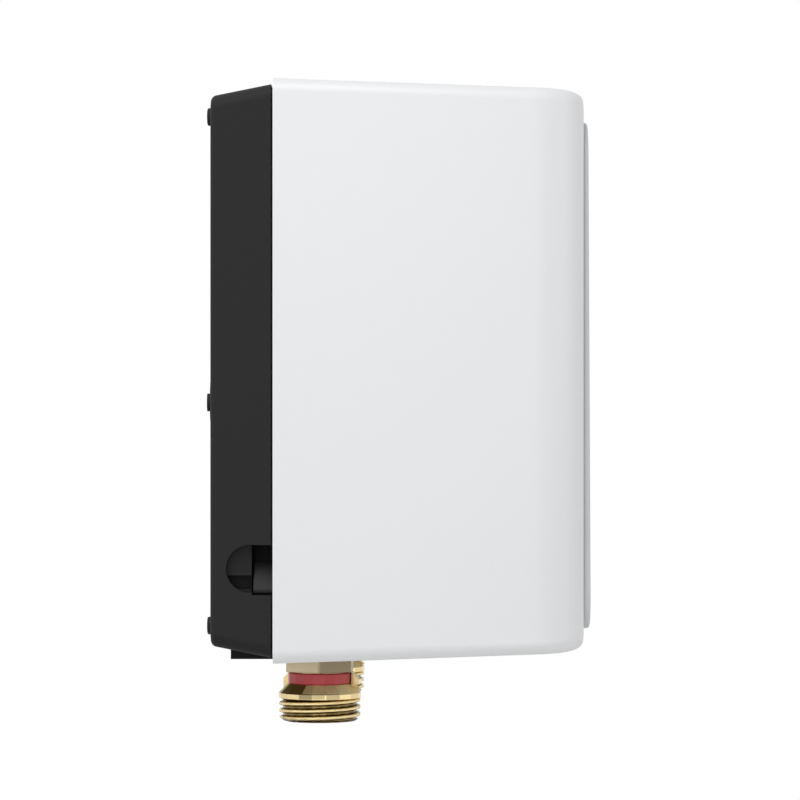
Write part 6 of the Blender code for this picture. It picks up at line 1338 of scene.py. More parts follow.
# %% Screws
SWITCH_X = FITTING_X
SWITCH_Z = -0.0300
BLOCK_DEPTH = FITTING_DEPTH
CAP_PLACES = [(x, BLOCK_DEPTH + y) for x in (-0.0265, 0.0, 0.0265) for y in (-0.0157, 0.0157)]
LID_PLACES = [(SWITCH_X + x, SWITCH_Z + z) for x in (-0.0138, 0.0138) for z in (-0.0138, 0.0138)]
LID_SEAT = 0.0391
PLATE_SEAT_Z = -0.0703
EARTH_SEAT = 0.0134
CAP_SEAT_Z = 0.0428
FOOT_SEAT = 0.0140
for number, (x, z) in enumerate(LID_PLACES, start=1):
    stand_for(screw_at("lid_fixing_" + str(number), at(x, LID_SEAT, z), OUT), STEEL,
              "lid_screw_" + str(number))
for side, word in SIDES:
    stand_for(screw_at("plate_fixing_" + word,
                       at(side * PLATE_SCREW_X, PLATE_SCREW_DEPTH, PLATE_SEAT_Z), -UP),
              STEEL, "plate_screw_" + word)
stand_for(screw_at("earth_fixing", at(EARTH_X, EARTH_SEAT, EARTH_Z), OUT), STEEL, "earth_screw")
cap_screws = heap("cap_fixings", *[screw_at("cap_fixing", at(x, depth, CAP_SEAT_Z), UP)
                                   for x, depth in CAP_PLACES])
foot_screws = heap("foot_fixings", *[
    screw_at("foot_fixing", at(side * BLOCK_FOOT_X, FOOT_SEAT, z), OUT)
    for side in (LEFT, RIGHT) for z in BLOCK_FOOT_Z])
bpy.data.objects.remove(PATTERN)
add_to(cap_screws, STEEL)
add_to(foot_screws, STEEL)

# %% [markdown]
# The heating block is one thick moulding with two deep bores for the coils, ribs on
# its front, four feet and a flange for the cap. Its gasket and cap repeat the
# flange's outline, and the cap's crown holds the four studs.

# %% Heating block
BLOCK_HALF = (0.027, 0.0182)
FLANGE_HALF = (0.031, 0.0202)
BLOCK_CORNER = 0.006
BLOCK_LOW, BLOCK_HIGH = -0.044, 0.036
BLOCK_TALL = 0.080
FLANGE_TALL = 0.006
BLOCK_RIB_PITCH = 0.0105
BLOCK_RIB_HALF = 0.001
BLOCK_RIB_DEPTHS = (0.0434, 0.0479)
BLOCK_RIB_HEIGHTS = (-0.038, 0.024)
FOOT_REAR = 0.0090
FOOT_RADIUS = 0.0045
COIL_X = 0.013
COIL_BORE = 0.009
PIPE_BORE = 0.0042
PIPE_SOCKET = 0.0053


def on_block(height, x=0.0):
    """A place at a height on the heating block's middle plane."""
    return at(x, BLOCK_DEPTH, height)


heater = prism("heater_block", on_block(BLOCK_LOW), BLOCK_HALF, BLOCK_CORNER, UP * BLOCK_TALL)
weld(heater, prism("flange", on_block(BLOCK_HIGH - FLANGE_TALL), FLANGE_HALF, BLOCK_CORNER,
                   UP * FLANGE_TALL))
for index in range(5):
    weld(heater, block("rib", about(BLOCK_RIB_PITCH * (index - 2), BLOCK_RIB_HALF),
                       BLOCK_RIB_DEPTHS, BLOCK_RIB_HEIGHTS))
for side in (LEFT, RIGHT):
    for z in BLOCK_FOOT_Z:
        foot = cylinder("foot", at(side * BLOCK_FOOT_X, FOOT_REAR, z), OUT, FOOT_RADIUS,
                        FOOT_SEAT - FOOT_REAR, 40)
        weld(foot, block("foot_root", sideways(side, 0.0250, BLOCK_FOOT_X),
                         (FOOT_REAR, FOOT_SEAT), about(z, FOOT_RADIUS)))
        weld(heater, foot)
    carve(heater,
          cylinder("coil_bore", on_block(-0.038, side * COIL_X), UP, COIL_BORE, 0.080, 64),
          cylinder("port", on_block(SWITCH_Z, side * 0.029), ACROSS * -side, PIPE_SOCKET, 0.006,
                   40),
          cylinder("feed", on_block(SWITCH_Z, side * 0.027), ACROSS * -side, PIPE_BORE, 0.014,
                   32))
for x, depth in CAP_PLACES:
    carve(heater, cylinder("pilot", at(x, depth, 0.028), UP, PILOT_RADIUS, 0.016))
soften(heater, 0.0004, 3)
stand_for(heater, DARK_GREY, "heating_block")

# %% Gasket and cap
GASKET_LOW, CAP_LOW = 0.0363, 0.0378
GASKET_THICKNESS = 0.0012
CAP_TALL = 0.0050
CROWN_HALF = (0.02475, 0.0108)
CHANNEL_HALF = (0.022, 0.009)
STUDS = (-0.0185, -0.0075, 0.0075, 0.0185)
STUD_WAY = 0.0022
STUD_SEAT_RADIUS = 0.0045
gasket = prism("cap_gasket", on_block(GASKET_LOW), FLANGE_HALF, BLOCK_CORNER,
               UP * GASKET_THICKNESS)
cap = prism("heater_cap", on_block(CAP_LOW), FLANGE_HALF, BLOCK_CORNER, UP * CAP_TALL)
weld(cap, prism("crown", on_block(0.0403), CROWN_HALF, BLOCK_CORNER, UP * 0.0067))
carve(cap, prism("channel", on_block(CAP_LOW - CUT_OVER), CHANNEL_HALF, 0.0087, UP * 0.006))
for x in STUDS:
    weld(cap, cylinder("stud_seat", on_block(0.0460, x), UP, STUD_SEAT_RADIUS, 0.0018, 40))
    carve(cap, cylinder("stud_way", on_block(CAP_LOW, x), UP, STUD_WAY, 0.014, 32))
for x, depth in CAP_PLACES:
    carve(gasket, cylinder("way", at(x, depth, 0.0358), UP, PILOT_RADIUS, 0.004))
    carve(cap, cylinder("way", at(x, depth, 0.0358), UP, 0.0013, 0.010))
for side in (LEFT, RIGHT):
    carve(gasket, cylinder("bore", on_block(0.0358, side * COIL_X), UP, COIL_BORE, 0.004, 64))
stand_for(soften(cap, 0.0004, 3), DARK_GREY, "block_cap")
stand_for(soften(gasket, 0.0002), RUBBER, "block_gasket")

# %% [markdown]
# Wound wire and insulated wire are curves: a row of points with a round section,
# turned into a mesh. Each heating coil is one wire, down a helix and up its middle.
# The plunger's return spring, which the plunger squashes, is a short helix of its own.

# %% Coils and the plunger's spring
STRAND_SIDES = 12
TURN_STEPS = 32
COIL_TURNS = 6
COIL_RADIUS = 0.0055
COIL_HIGH, COIL_LOW = 0.027, -0.033
COIL_TOP = 0.0388
SPRING_TURNS = 4
SPRING_REAR, SPRING_FRONT = 0.0371, 0.0420
SPRING_RADIUS = 0.0042
SPRING_WIRE = 0.0004


def strand(name, points, radius, finish):
    """A round wire through points, with closed ends."""
    line = bpy.data.curves.new(name, "CURVE")
    line.dimensions = "3D"
    line.bevel_depth = radius
    line.bevel_resolution = STRAND_SIDES // 4
    line.use_fill_caps = True
    spline = line.splines.new("POLY")
    spline.points.add(len(points) - 1)
    for point, place in zip(spline.points, points):
        point.co = (*place, 1.0)
    take(linked(name, line))
    bpy.ops.object.convert(target="MESH")
    piece = bpy.context.object
    open_up(piece)
    bpy.ops.mesh.remove_doubles(threshold=SLIVER / 10)
    close_up()
    return dress(smooth(outward(piece)), finish)


def helix(turns, place):
    """Points of a helix: place takes the cosine, the sine and the share of its length."""
    steps = turns * TURN_STEPS
    return [place(math.cos(math.tau * step / TURN_STEPS), math.sin(math.tau * step / TURN_STEPS),
                  step / steps) for step in range(steps + 1)]


def coil_route(x):
    wound = helix(COIL_TURNS, lambda cosine, sine, share: at(
        x + COIL_RADIUS * cosine, BLOCK_DEPTH + COIL_RADIUS * sine,
        COIL_HIGH - (COIL_HIGH - COIL_LOW) * share))
    return [on_block(COIL_TOP, x + COIL_RADIUS)] + wound + [
        on_block(COIL_LOW - 0.0012, x + COIL_RADIUS / 2), on_block(COIL_LOW, x),
        on_block(COIL_HIGH, x), on_block(0.0315, x - COIL_RADIUS / 2),
        on_block(0.0360, x - COIL_RADIUS), on_block(COIL_TOP, x - COIL_RADIUS)]


for side, word in SIDES:
    stand_for(strand("coil_" + word, coil_route(side * COIL_X), 0.0006, STEEL), None,
              "heating_coil_" + word)
spring = strand("return_spring", helix(SPRING_TURNS, lambda cosine, sine, share: at(
    SWITCH_X + SPRING_RADIUS * cosine, SPRING_REAR + (SPRING_FRONT - SPRING_REAR) * share,
    SWITCH_Z + SPRING_RADIUS * sine)), SPRING_WIRE, SPRING_STEEL)
stand_for(spring, None, "plunger_spring")
tuple(at(SWITCH_X, SPRING_FRONT + SPRING_WIRE, SWITCH_Z))
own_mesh(spring)

# %% [markdown]
# Four studs stand in the cap with hexagon nuts. The thread above each nut is a row
# of turned ridges, which at this size can't be told from a helix. A copper strap
# links the two inner ones, so the coils work in a row.

# %% Studs, nuts and strap
STUD_RADIUS = 0.0020
STUD_RIDGE = 0.0003
NUT_ACROSS_FLATS = 0.0070
NUT_LOW, NUT_HIGH = 0.0494, 0.0526
NUT_TURN_DEG = 12.0
RIDGES_LOW, RIDGE_RISE = 0.0530, 0.00026
nut_radius = hexagon_radius(NUT_ACROSS_FLATS)
for index, x in enumerate(STUDS):
    foot = on_block(0.0, x)
    ridges = [(STUD_RADIUS - STUD_RIDGE * (step % 2), RIDGES_LOW + RIDGE_RISE * step)
              for step in range(7)]
    stud = turned("stud_" + str(index + 1), foot, UP, [
        (0.0018, 0.0391), (STUD_RADIUS, 0.0394), (STUD_RADIUS, 0.0528)] + ridges
        + [(0.0016, 0.0550)], 32)
    nut = turned("nut", foot, UP, [
        (0.0036, NUT_LOW), (0.0042, NUT_LOW + 0.0004), (0.0042, NUT_HIGH - 0.0004),
        (0.0036, NUT_HIGH)], 48)
    keep_inside(nut, turned("hexagon", foot, UP, [(nut_radius, 0.048), (nut_radius, 0.054)], 6,
                            NUT_TURN_DEG * index))
    weld(stud, nut)
    stand_for(smooth(stud, 30.0), PLAIN_BRASS, "terminal_stud_" + str(index + 1))
strap = prism("copper_strap", on_block(0.0481), (0.0111, 0.0036), 0.0033, UP * 0.001)
for x in STUDS[1:3]:
    carve(strap, cylinder("strap_way", on_block(0.047, x), UP, STUD_WAY, 0.004, 32))
stand_for(soften(strap, 0.0001, 1), COPPER, "bridge_strap")

# %% [markdown]
# On the hot side a short copper pipe leads into the outlet manifold, an upright
# body with an arm, a socket for the fitting and a flat pad. On the pad sits the
# thermal cut-out with its two tabs and its red reset button.

# %% Manifold and pipes
SOCKET_LOW = -0.0618
SPIGOT_WAY = 0.0075
CLIP_Z = -0.0583
CLIP_DEPTHS = (0.0219, 0.0402)
RISER_LOW = -0.049
PIPE_RADIUS = 0.0050
ARM_RADIUS = 0.0080
ARM_LENGTH = 0.0165
CUTOUT_PAD_HALF = 0.0085
MANIFOLD = [(0.0107, SOCKET_LOW), (0.0110, SOCKET_LOW + 0.0003), (0.0110, -0.0166),
            (0.0107, -0.0157), (0.0101, -0.0151), (0.0092, -0.0150)]


def on_pipes(x):
    """A place on the axis that the two copper pipes share."""
    return at(x, FITTING_DEPTH, SWITCH_Z)


def carve_socket(piece, side):
    """The bore of the fitting's spigot and the slot of its clip."""
    x = side * FITTING_X
    return carve(
        piece,
        cylinder("spigot_way", at(x, FITTING_DEPTH, SOCKET_LOW - CUT_OVER), UP, SPIGOT_WAY,
                 0.0151, 48),
        block("clip_slot", about(x, 0.0090), CLIP_DEPTHS, about(CLIP_Z, 0.0009)))


manifold = turned("hot_manifold", at(-FITTING_X, FITTING_DEPTH, 0.0), UP, MANIFOLD)
weld(manifold,
     rod("arm", on_pipes(-FITTING_X), ACROSS, ARM_RADIUS, ARM_LENGTH, 0.0004, 48),
     soften(block("pad", about(-FITTING_X, CUTOUT_PAD_HALF), (FITTING_DEPTH, 0.0400),
                  about(SWITCH_Z, CUTOUT_PAD_HALF)), 0.0006))
carve(manifold,
      cylinder("riser", at(-FITTING_X, FITTING_DEPTH, RISER_LOW), UP, BORE_RADIUS, 0.0304, 48),
      cylinder("arm_way", on_pipes(-0.0315), -ACROSS, PIPE_SOCKET, 0.006, 40),
      cylinder("arm_feed", on_pipes(-FITTING_X), ACROSS, PIPE_BORE, ARM_LENGTH, 32))
carve_socket(manifold, LEFT)
stand_for(smooth(manifold), DARK_GREY, "outlet_manifold")
for name, node, start, end in (("cold_pipe", "cold_link_pipe", 0.0233, 0.0357),
                               ("hot_pipe", "hot_link_pipe", -0.0372, -0.0233)):
    pipe = rod(name, on_pipes(start), ACROSS, PIPE_RADIUS, end - start, sides=48)
    carve(pipe, cylinder("pipe_bore", on_pipes(start - 0.001), ACROSS, PIPE_BORE,
                         end - start + 0.002, 48))
    stand_for(smooth(pipe), COPPER, node)

# %% Thermal cut-out and reset button
TAB_HALF = 0.0024
TAB_HOLE = 0.0009
TAB_REACH = 0.014
CUTOUT_RADIUS = 0.0080
CUTOUT_RIM_FRONT = 0.0415


def on_cutout(depth):
    """A place on the cut-out's axis."""
    return at(-FITTING_X, depth, SWITCH_Z)


def beside_axis(way, near, far):
    """Two heights above or below the axis of the switch and the cut-out, low one first."""
    return sorted((SWITCH_Z + way * near, SWITCH_Z + way * far))


cutout = turned("cut_out", on_cutout(0.0), OUT, [
    (0.0091, 0.0403), (0.0092, 0.0404), (0.0092, 0.0414), (0.0091, CUTOUT_RIM_FRONT),
    (CUTOUT_RADIUS, CUTOUT_RIM_FRONT), (CUTOUT_RADIUS, 0.0482), (0.0078, 0.0486),
    (0.0074, 0.0488), (0.0036, 0.0488), (0.0036, 0.0516), (0.0034, 0.0518)])
for way in (LEFT, RIGHT):
    tab = block("tab", about(-FITTING_X, TAB_HALF), (0.04455, 0.04535),
                beside_axis(way, 0.006, TAB_REACH))
    weld(cutout, carve(tab, cylinder("tab_hole", at(-FITTING_X, 0.043, SWITCH_Z + way * 0.0122),
                                     OUT, TAB_HOLE, 0.004)))
carve(cutout, cylinder("reset_way", on_cutout(0.0458), OUT, 0.0022, 0.009, 32))
paint_part(smooth(cutout), CREAM, STEEL, lambda face: (
    abs(middle_of(face).z - HOUSING_MIDDLE - SWITCH_Z) > CUTOUT_RADIUS + HAIR
    or -middle_of(face).y < CUTOUT_RIM_FRONT + HAIR))
stand_for(cutout, None, "thermal_cutout")
stand_for(smooth(turned("reset_cap", on_cutout(0.0), OUT, [
    (0.0018, 0.0473), (0.0020, 0.0475), (0.0020, 0.0532), (0.0018, 0.0537), (0.0012, 0.0540)],
    32)), RED, "reset_button", body="reset")

# %% [markdown]
# On the cold side the water passes the flow switch: a square body with a round
# chamber, a rubber diaphragm across it, and a lid with a dome. The diaphragm lifts a
# plunger through the lid, and the plunger presses the button of a microswitch that
# sits in a cradle on the lid. A brass screw in the side sets the flow.

# %% Flow switch body
SWITCH_HALF = (0.018, 0.018)
SWITCH_CORNER = 0.005
CHAMBER_RADIUS = 0.0138


def on_switch(depth):
    """A place on the flow switch's axis."""
    return at(SWITCH_X, depth, SWITCH_Z)


switch = prism("switch_body", on_switch(0.018), SWITCH_HALF, SWITCH_CORNER, OUT * 0.016, UPRIGHT)
soften(switch, 0.0005, 3)
weld(switch,
     rod("socket", at(SWITCH_X, FITTING_DEPTH, SOCKET_LOW), UP, 0.0110, 0.0135, 0.0003, 64),
     block("socket_neck", about(SWITCH_X, 0.0075), (0.0197, 0.0320), (-0.0503, -0.0438)),
     rod("adjuster_boss", on_pipes(0.0660), ACROSS, 0.0062, 0.0050, 0.0003, 40))
carve(switch,
      cylinder("chamber", on_switch(0.020), OUT, CHAMBER_RADIUS, 0.016, 64),
      cylinder("feed", at(SWITCH_X, FITTING_DEPTH, RISER_LOW), UP, UPPER_BORE_RADIUS, 0.0121, 40),
      cylinder("link_way", on_pipes(0.030), ACROSS, PIPE_SOCKET, 0.006, 40),
      cylinder("adjuster_way", on_pipes(0.073), -ACROSS, 0.0032, 0.012, 32))
for x, z in LID_PLACES:
    carve(switch, cylinder("pilot", at(x, 0.024, z), OUT, PILOT_RADIUS, 0.012))
carve_socket(switch, RIGHT)
stand_for(smooth(switch), DARK_GREY, "flow_switch_body")

# %% Lid of the flow switch
DOME_RADIUS = 0.0046
CRADLE_HALF = 0.0069
lid = prism("switch_lid", on_switch(0.0352), SWITCH_HALF, SWITCH_CORNER, OUT * 0.0036, UPRIGHT)
soften(lid, 0.0004, 3)
weld(lid, turned("dome", on_switch(0.0), OUT, [
    (CHAMBER_RADIUS, 0.0370), (CHAMBER_RADIUS, 0.0390), (0.0124, 0.0440), (0.0119, 0.0445),
    (DOME_RADIUS, 0.0445), (DOME_RADIUS, 0.0478), (DOME_RADIUS - 0.0002, 0.0480)]))
for way in (LEFT, RIGHT):
    weld(lid,
         block("cradle", about(SWITCH_X, CRADLE_HALF), (0.0436, 0.0605),
               beside_axis(way, 0.00545, 0.00705)),
         block("shoulder", about(SWITCH_X, CRADLE_HALF), (0.0507, 0.0523),
               beside_axis(way, 0.00385, 0.00625)))
carve(lid,
      turned("hollow", on_switch(0.0), OUT, [(0.0120, 0.0332), (0.0104, 0.0427)]),
      cylinder("guide_way", on_switch(0.042), OUT, 0.0021, 0.008, 32))
for x, z in LID_PLACES:
    carve(lid, cylinder("screw_way", at(x, 0.034, z), OUT, PILOT_RADIUS, 0.008))
stand_for(smooth(lid), LIGHT_GREY, "flow_switch_lid")

# %% Diaphragm and plunger
DIAPHRAGM = [
    (0.0157, 0.0343), (0.0158, 0.0344), (0.0158, 0.0348), (0.0157, 0.0349), (0.0118, 0.0349),
    (0.0114, 0.0352), (0.0109, 0.0353), (0.0104, 0.0352), (0.0100, 0.0349), (0.0096, 0.0348)]
PLUNGER = [
    (0.0096, 0.0352), (0.0098, 0.0354), (0.0098, 0.0362), (0.0096, 0.0364), (0.0030, 0.0364),
    (0.0022, 0.0370), (0.0019, 0.0374), (0.0019, 0.0501), (0.0015, 0.0505)]
stand_for(smooth(turned("rolled_diaphragm", on_switch(0.0), OUT, DIAPHRAGM)), RUBBER,
          "diaphragm")
stand_for(smooth(turned("lifting_plunger", on_switch(0.0), OUT, PLUNGER, 48)), CREAM,
          "switch_plunger", body="plunger")

# %% Microswitch, its button and the flow adjuster
MICRO_FRONT = 0.0684
MICRO_HALF = (0.0139, 0.00515)
MICRO_FIXING_X = 0.0111
TAB_PLACES = (0.041, 0.050, 0.059)
TAB_THICKNESS_HALF = 0.0004
micro = soften(block("micro_switch", about(SWITCH_X, MICRO_HALF[0]), (0.0526, MICRO_FRONT),
                     about(SWITCH_Z, MICRO_HALF[1])), 0.0004)
for x in TAB_PLACES:
    tab = block("tab", about(x, TAB_HALF), (0.0675, 0.0744), about(SWITCH_Z, TAB_THICKNESS_HALF))
    weld(micro, carve(tab, cylinder("tab_hole", at(x, 0.0722, SWITCH_Z - 0.002), UP, TAB_HOLE,
                                    0.004)))
carve(micro, cylinder("button_way", on_switch(0.0516), OUT, 0.0018, 0.0080, 32))
for x in about(SWITCH_X, MICRO_FIXING_X):
    carve(micro, cylinder("fixing_way", at(x, 0.0655, SWITCH_Z - 0.006), UP, 0.0014, 0.012))
paint_part(smooth(micro), LATCH_GREY, STEEL,
           lambda face: -middle_of(face).y > MICRO_FRONT + HAIR)
stand_for(micro, None, "microswitch")
stand_for(smooth(rod("switch_pin", on_switch(0.0508), OUT, 0.0016, 0.0060)), RED,
          "microswitch_button", body="switch_button")
adjuster = turned("adjusting_screw", on_pipes(0.0713), ACROSS, [
    (0.0012, -0.0090), (0.0015, -0.0085), (0.0015, -0.0062), (0.0030, -0.0060), (0.0030, 0.0),
    (0.0043, 0.0), (0.0045, 0.0002), (0.0045, 0.0027), (0.0042, 0.0030)], 40)
carve(adjuster, block("slot", (0.0729, 0.0760), about(FITTING_DEPTH, 0.0005),
                      about(SWITCH_Z, 0.006)))
stand_for(smooth(adjuster), PLAIN_BRASS, "flow_adjuster", body="adjuster")

# %% [markdown]
# Small pieces: sprung clips that hold the fittings, their cord seals, the strainer
# and the flow limiter in the cold inlet, the latches' pins and leaf springs, the
# earth lug, the terminal block with its clamp screws, and the cable's grommet.

# %% Clips, seals, pins and springs
SEAL_Z = -0.0521
SEAL_RADIUS, SEAL_CORD = 0.00675, 0.0005
PIN_REAR = 0.0056
PIN_RADIUS, PIN_LENGTH = 0.0010, 0.0204
LEAF_ROOT, LEAF_TIP, LEAF_DEPTH = 0.0842, 0.0886, 0.0183
CLIP_EDGE, SHEET_EDGE, BLOCK_EDGE = 0.00015, 0.00008, 0.0002
for side, word in SIDES:
    stand_for(refined("fitting_clip_" + word, "pipe_clip_" + word, CLIP_EDGE), SPRING_STEEL,
              "fitting_clip_" + word)
    clear_selection()
    bpy.ops.mesh.primitive_torus_add(
        major_radius=SEAL_RADIUS, minor_radius=SEAL_CORD, major_segments=64, minor_segments=12,
        location=at(side * FITTING_X, FITTING_DEPTH, SEAL_Z))
    stand_for(smooth(settle("cord_seal_" + word)), RUBBER, "fitting_seal_" + word)
    stand_for(smooth(rod("hinge_pin_" + word, at(side * LATCH_PIVOT[0], PIN_REAR, LATCH_PIVOT[1]),
                         OUT, PIN_RADIUS, PIN_LENGTH)), STEEL, "latch_pin_" + word)
    node = "latch_spring_" + word
    leaf = dress(refined(node, "leaf_" + word, SHEET_EDGE), SPRING_STEEL)
    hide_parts(node)
    tuple(at(side * LEAF_ROOT, LEAF_DEPTH, CLIP_Z))
    tuple(at(side * LEAF_TIP, LEAF_DEPTH, CLIP_Z))
    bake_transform(leaf)
stand_for(refined("earth_lug", "earth_tag", SHEET_EDGE), PLAIN_BRASS, "earth_lug")

# %% Strainer and flow limiter
SLIT_HEIGHTS = (-0.0835, -0.0811, -0.0787, -0.0763)
SLIT_TALL = 0.0012
SLIT_LONG_HALF, SLIT_WIDE_HALF = 0.006, 0.0016
LIMITER_LOW = -0.0722
foot = at(FITTING_X, FITTING_DEPTH, 0.0)
strainer = turned("cone_strainer", foot, UP, [
    (0.0050, -0.0868), (0.0052, -0.0866), (0.0052, -0.0852), (0.0044, -0.0852),
    (0.0036, -0.0732), (0.0034, -0.0730)], 48)
carve(strainer, turned("hollow", foot, UP, [
    (0.0036, -0.0878), (0.0036, -0.0868), (0.0028, -0.0738)], 48))
for height in SLIT_HEIGHTS:
    for wide, deep in ((SLIT_LONG_HALF, SLIT_WIDE_HALF), (SLIT_WIDE_HALF, SLIT_LONG_HALF)):
        carve(strainer, block("slit", about(FITTING_X, wide), about(FITTING_DEPTH, deep),
                              (height, height + SLIT_TALL)))
stand_for(smooth(strainer), CREAM, "inlet_strainer")
limiter = rod("limiter_disc", foot + UP * LIMITER_LOW, UP, 0.0053, 0.0054, 0.0003, 48)
carve(limiter, cylinder("limiter_bore", foot + UP * (LIMITER_LOW - 0.001), UP, 0.0015, 0.0074))
stand_for(smooth(limiter), BLUE, "flow_limiter")

# %% Terminal block and grommet
CLAMP_X = (-0.073, -0.062, -0.051)
CLAMP_HEIGHTS = (0.0185, 0.0275)
CLAMP_DEPTH = 0.0195
stand_for(refined("terminal_block", "mains_terminals", BLOCK_EDGE), CREAM, "terminal_block")
clamps = []
for x in CLAMP_X:
    for z in CLAMP_HEIGHTS:
        clamp = turned("clamp", at(x, CLAMP_DEPTH, z), OUT, [
            (0.00225, 0.0), (0.00225, 0.0026), (0.0020, 0.0028)], 32)
        clamps.append(carve(clamp, block("slot", about(x, 0.003), (0.0214, 0.0230),
                                         about(z, 0.0003))))
add_to(smooth(heap("clamp_screws", *clamps)), STEEL)
grommet = turned("cable_bush", at(CABLE_X, 0.0, CABLE_Z), OUT, [
    (0.0078, 0.0004), (0.0082, 0.0006), (0.0082, 0.0010), (0.0067, 0.0011), (0.0067, 0.0036),
    (0.0088, 0.0037), (0.0090, 0.0039), (0.0090, 0.0050), (0.0086, 0.0053), (0.0050, 0.0053)])
carve(grommet, cylinder("cable_bore", at(CABLE_X, -0.001, CABLE_Z), OUT, 0.0042, 0.008, 48))
stand_for(smooth(grommet), RUBBER, "cable_grommet")

# %% [markdown]
# The wires take the CAD's own routes: a smooth curve through a few points, straight
# at both ends. Heat-proof sleeves cover their crimps, boots cover the stud ends, and
# the earth wire is green with yellow bands.

# %% Finishes of the wires
BANDS_PER_METRE = 1900.0
BAND_SLANT = 0.4
BROWN_WIRE = moulded("brown_wire_skin", colour(112, 66, 40), 0.38, 0.000004, 0.08)
BLUE_WIRE = moulded("blue_wire_skin", colour(56, 102, 186), 0.38, 0.000004, 0.08)


def banded_skin(name, first, second):
    """Two colours in slanting bands, with the slight gloss of extruded plastic."""
    finish = Finish(name, 0.38)
    place = finish.place()
    x, y, z = finish.parts(place)
    fine = finish.noise(place, 0.0004, 2.0)
    wave = finish.maths("SINE", (x + y * BAND_SLANT + z) * BANDS_PER_METRE)
    finish.feed("Base Color", finish.blend(finish.between(wave, 0.25, 0.40), first, second))
    finish.feed("Roughness", fine * 0.12 + 0.32)
    finish.relief(fine, 0.000004)
    return finish.material


EARTH_WIRE = banded_skin("green_and_yellow_wire_skin", colour(84, 148, 66),
                         colour(222, 200, 70))

# %% Wires
WIRE_RADIUS = 0.0012
WIRE_LEAD = 0.005
SLEEVE_RADIUS, BOOT_RADIUS = 0.0019, 0.0022
SLEEVE_LENGTH = 0.0045
ROUTE_STEPS = 8
ENTRY, INSIDE, TOP = 0.0121, 0.0274, 0.0330
LIVE, NEUTRAL, EARTH = CLAMP_X
TERMINALS_MIDDLE = 0.0230
CUTOUT_DEPTH = 0.04495
CRIMP_REACH = TAB_REACH + 0.0004
TAB_FRONT = 0.0748
TURNED_DOWN = TAB_FRONT + WIRE_LEAD
LOW = SWITCH_Z - CRIMP_REACH - WIRE_LEAD
OVER, ON_STUD = 0.0604, 0.0554
LUG, LUG_END = 0.0127, -0.0414
HEATER_SIDE = 0.027
HEATER_FRONT = 0.0454


def smooth_route(points):
    """A smooth curve through a wire's points, straight in its first and last stretch."""
    last = len(points) - 1
    found = [points[0]]
    for index in range(1, last - 1):
        before, start, end, after = points[index - 1:index + 3]
        pull_in = (end - before) / 2
        pull_out = (after - start) / 2
        for step in range(ROUTE_STEPS):
            t = step / ROUTE_STEPS
            found.append(
                start * (2 * t ** 3 - 3 * t ** 2 + 1) + pull_in * (t ** 3 - 2 * t ** 2 + t)
                + end * (3 * t ** 2 - 2 * t ** 3) + pull_out * (t ** 3 - t ** 2))
    return found + points[last - 1:]


def sleeve(end, towards, radius):
    """A rubber sleeve over a wire's end, drawn back along the wire."""
    axis = (towards - end).normalized()
    return dress(smooth(turned("sleeve", end, axis, [
        (radius - 0.0001, 0.0), (radius, 0.0001), (radius, SLEEVE_LENGTH - 0.0008),
        (radius - 0.0004, SLEEVE_LENGTH)], 24)), RUBBER)


def build_wire(node, finish, points, first_cover, last_cover):
    """A wire with a sleeve or boot of a given radius at each end, 0 for none."""
    pieces = [strand(node + "_run", smooth_route(points), WIRE_RADIUS, finish)]
    for end, towards, radius in ((points[0], points[1], first_cover),
                                 (points[-1], points[-2], last_cover)):
        if radius:
            pieces.append(sleeve(end, towards, radius))
    return stand_for(heap(node + "_run", *pieces), None, node)


build_wire("live_wire", BROWN_WIRE, [
    at(LIVE, ENTRY, INSIDE), at(LIVE, ENTRY, TOP + WIRE_LEAD),
    at(LIVE - WIRE_LEAD, (ENTRY + CUTOUT_DEPTH) / 2, TOP + WIRE_LEAD),
    at(LIVE - WIRE_LEAD, CUTOUT_DEPTH, TERMINALS_MIDDLE + WIRE_LEAD),
    at((LIVE - FITTING_X) / 2, CUTOUT_DEPTH + WIRE_LEAD, 0.0),
    at(-FITTING_X, CUTOUT_DEPTH, SWITCH_Z + CRIMP_REACH + WIRE_LEAD),
    at(-FITTING_X, CUTOUT_DEPTH, SWITCH_Z + CRIMP_REACH)], 0.0, SLEEVE_RADIUS)
build_wire("neutral_wire", BLUE_WIRE, [
    at(NEUTRAL, ENTRY, INSIDE), at(NEUTRAL, ENTRY, TOP + WIRE_LEAD),
    at((NEUTRAL + EARTH) / 2, (ENTRY + BLOCK_DEPTH) / 2, EARTH_Z - WIRE_LEAD * 2),
    on_block(OVER, (EARTH + STUDS[0]) / 2),
    on_block(OVER + WIRE_LEAD / 2, STUDS[0] - WIRE_LEAD / 2),
    on_block(OVER, STUDS[0]), on_block(ON_STUD, STUDS[0])], 0.0, BOOT_RADIUS)
build_wire("earth_wire", EARTH_WIRE, [
    at(EARTH, ENTRY, INSIDE), at(EARTH, ENTRY, TOP + WIRE_LEAD),
    at(EARTH, LUG, EARTH_Z - WIRE_LEAD * 3 / 2), at(LUG_END - WIRE_LEAD, LUG, EARTH_Z),
    at(LUG_END, LUG, EARTH_Z)], 0.0, SLEEVE_RADIUS)
build_wire("cutout_wire", BROWN_WIRE, [
    at(-FITTING_X, CUTOUT_DEPTH, SWITCH_Z - CRIMP_REACH), at(-FITTING_X, CUTOUT_DEPTH, LOW),
    at(-HEATER_SIDE, HEATER_FRONT + WIRE_LEAD * 2, LOW - WIRE_LEAD),
    at(0.0, HEATER_FRONT + WIRE_LEAD * 3, LOW),
    at(HEATER_SIDE, TAB_FRONT, SWITCH_Z - WIRE_LEAD * 2),
    at(TAB_PLACES[0], TURNED_DOWN, SWITCH_Z), at(TAB_PLACES[0], TAB_FRONT, SWITCH_Z)],
    SLEEVE_RADIUS, SLEEVE_RADIUS)
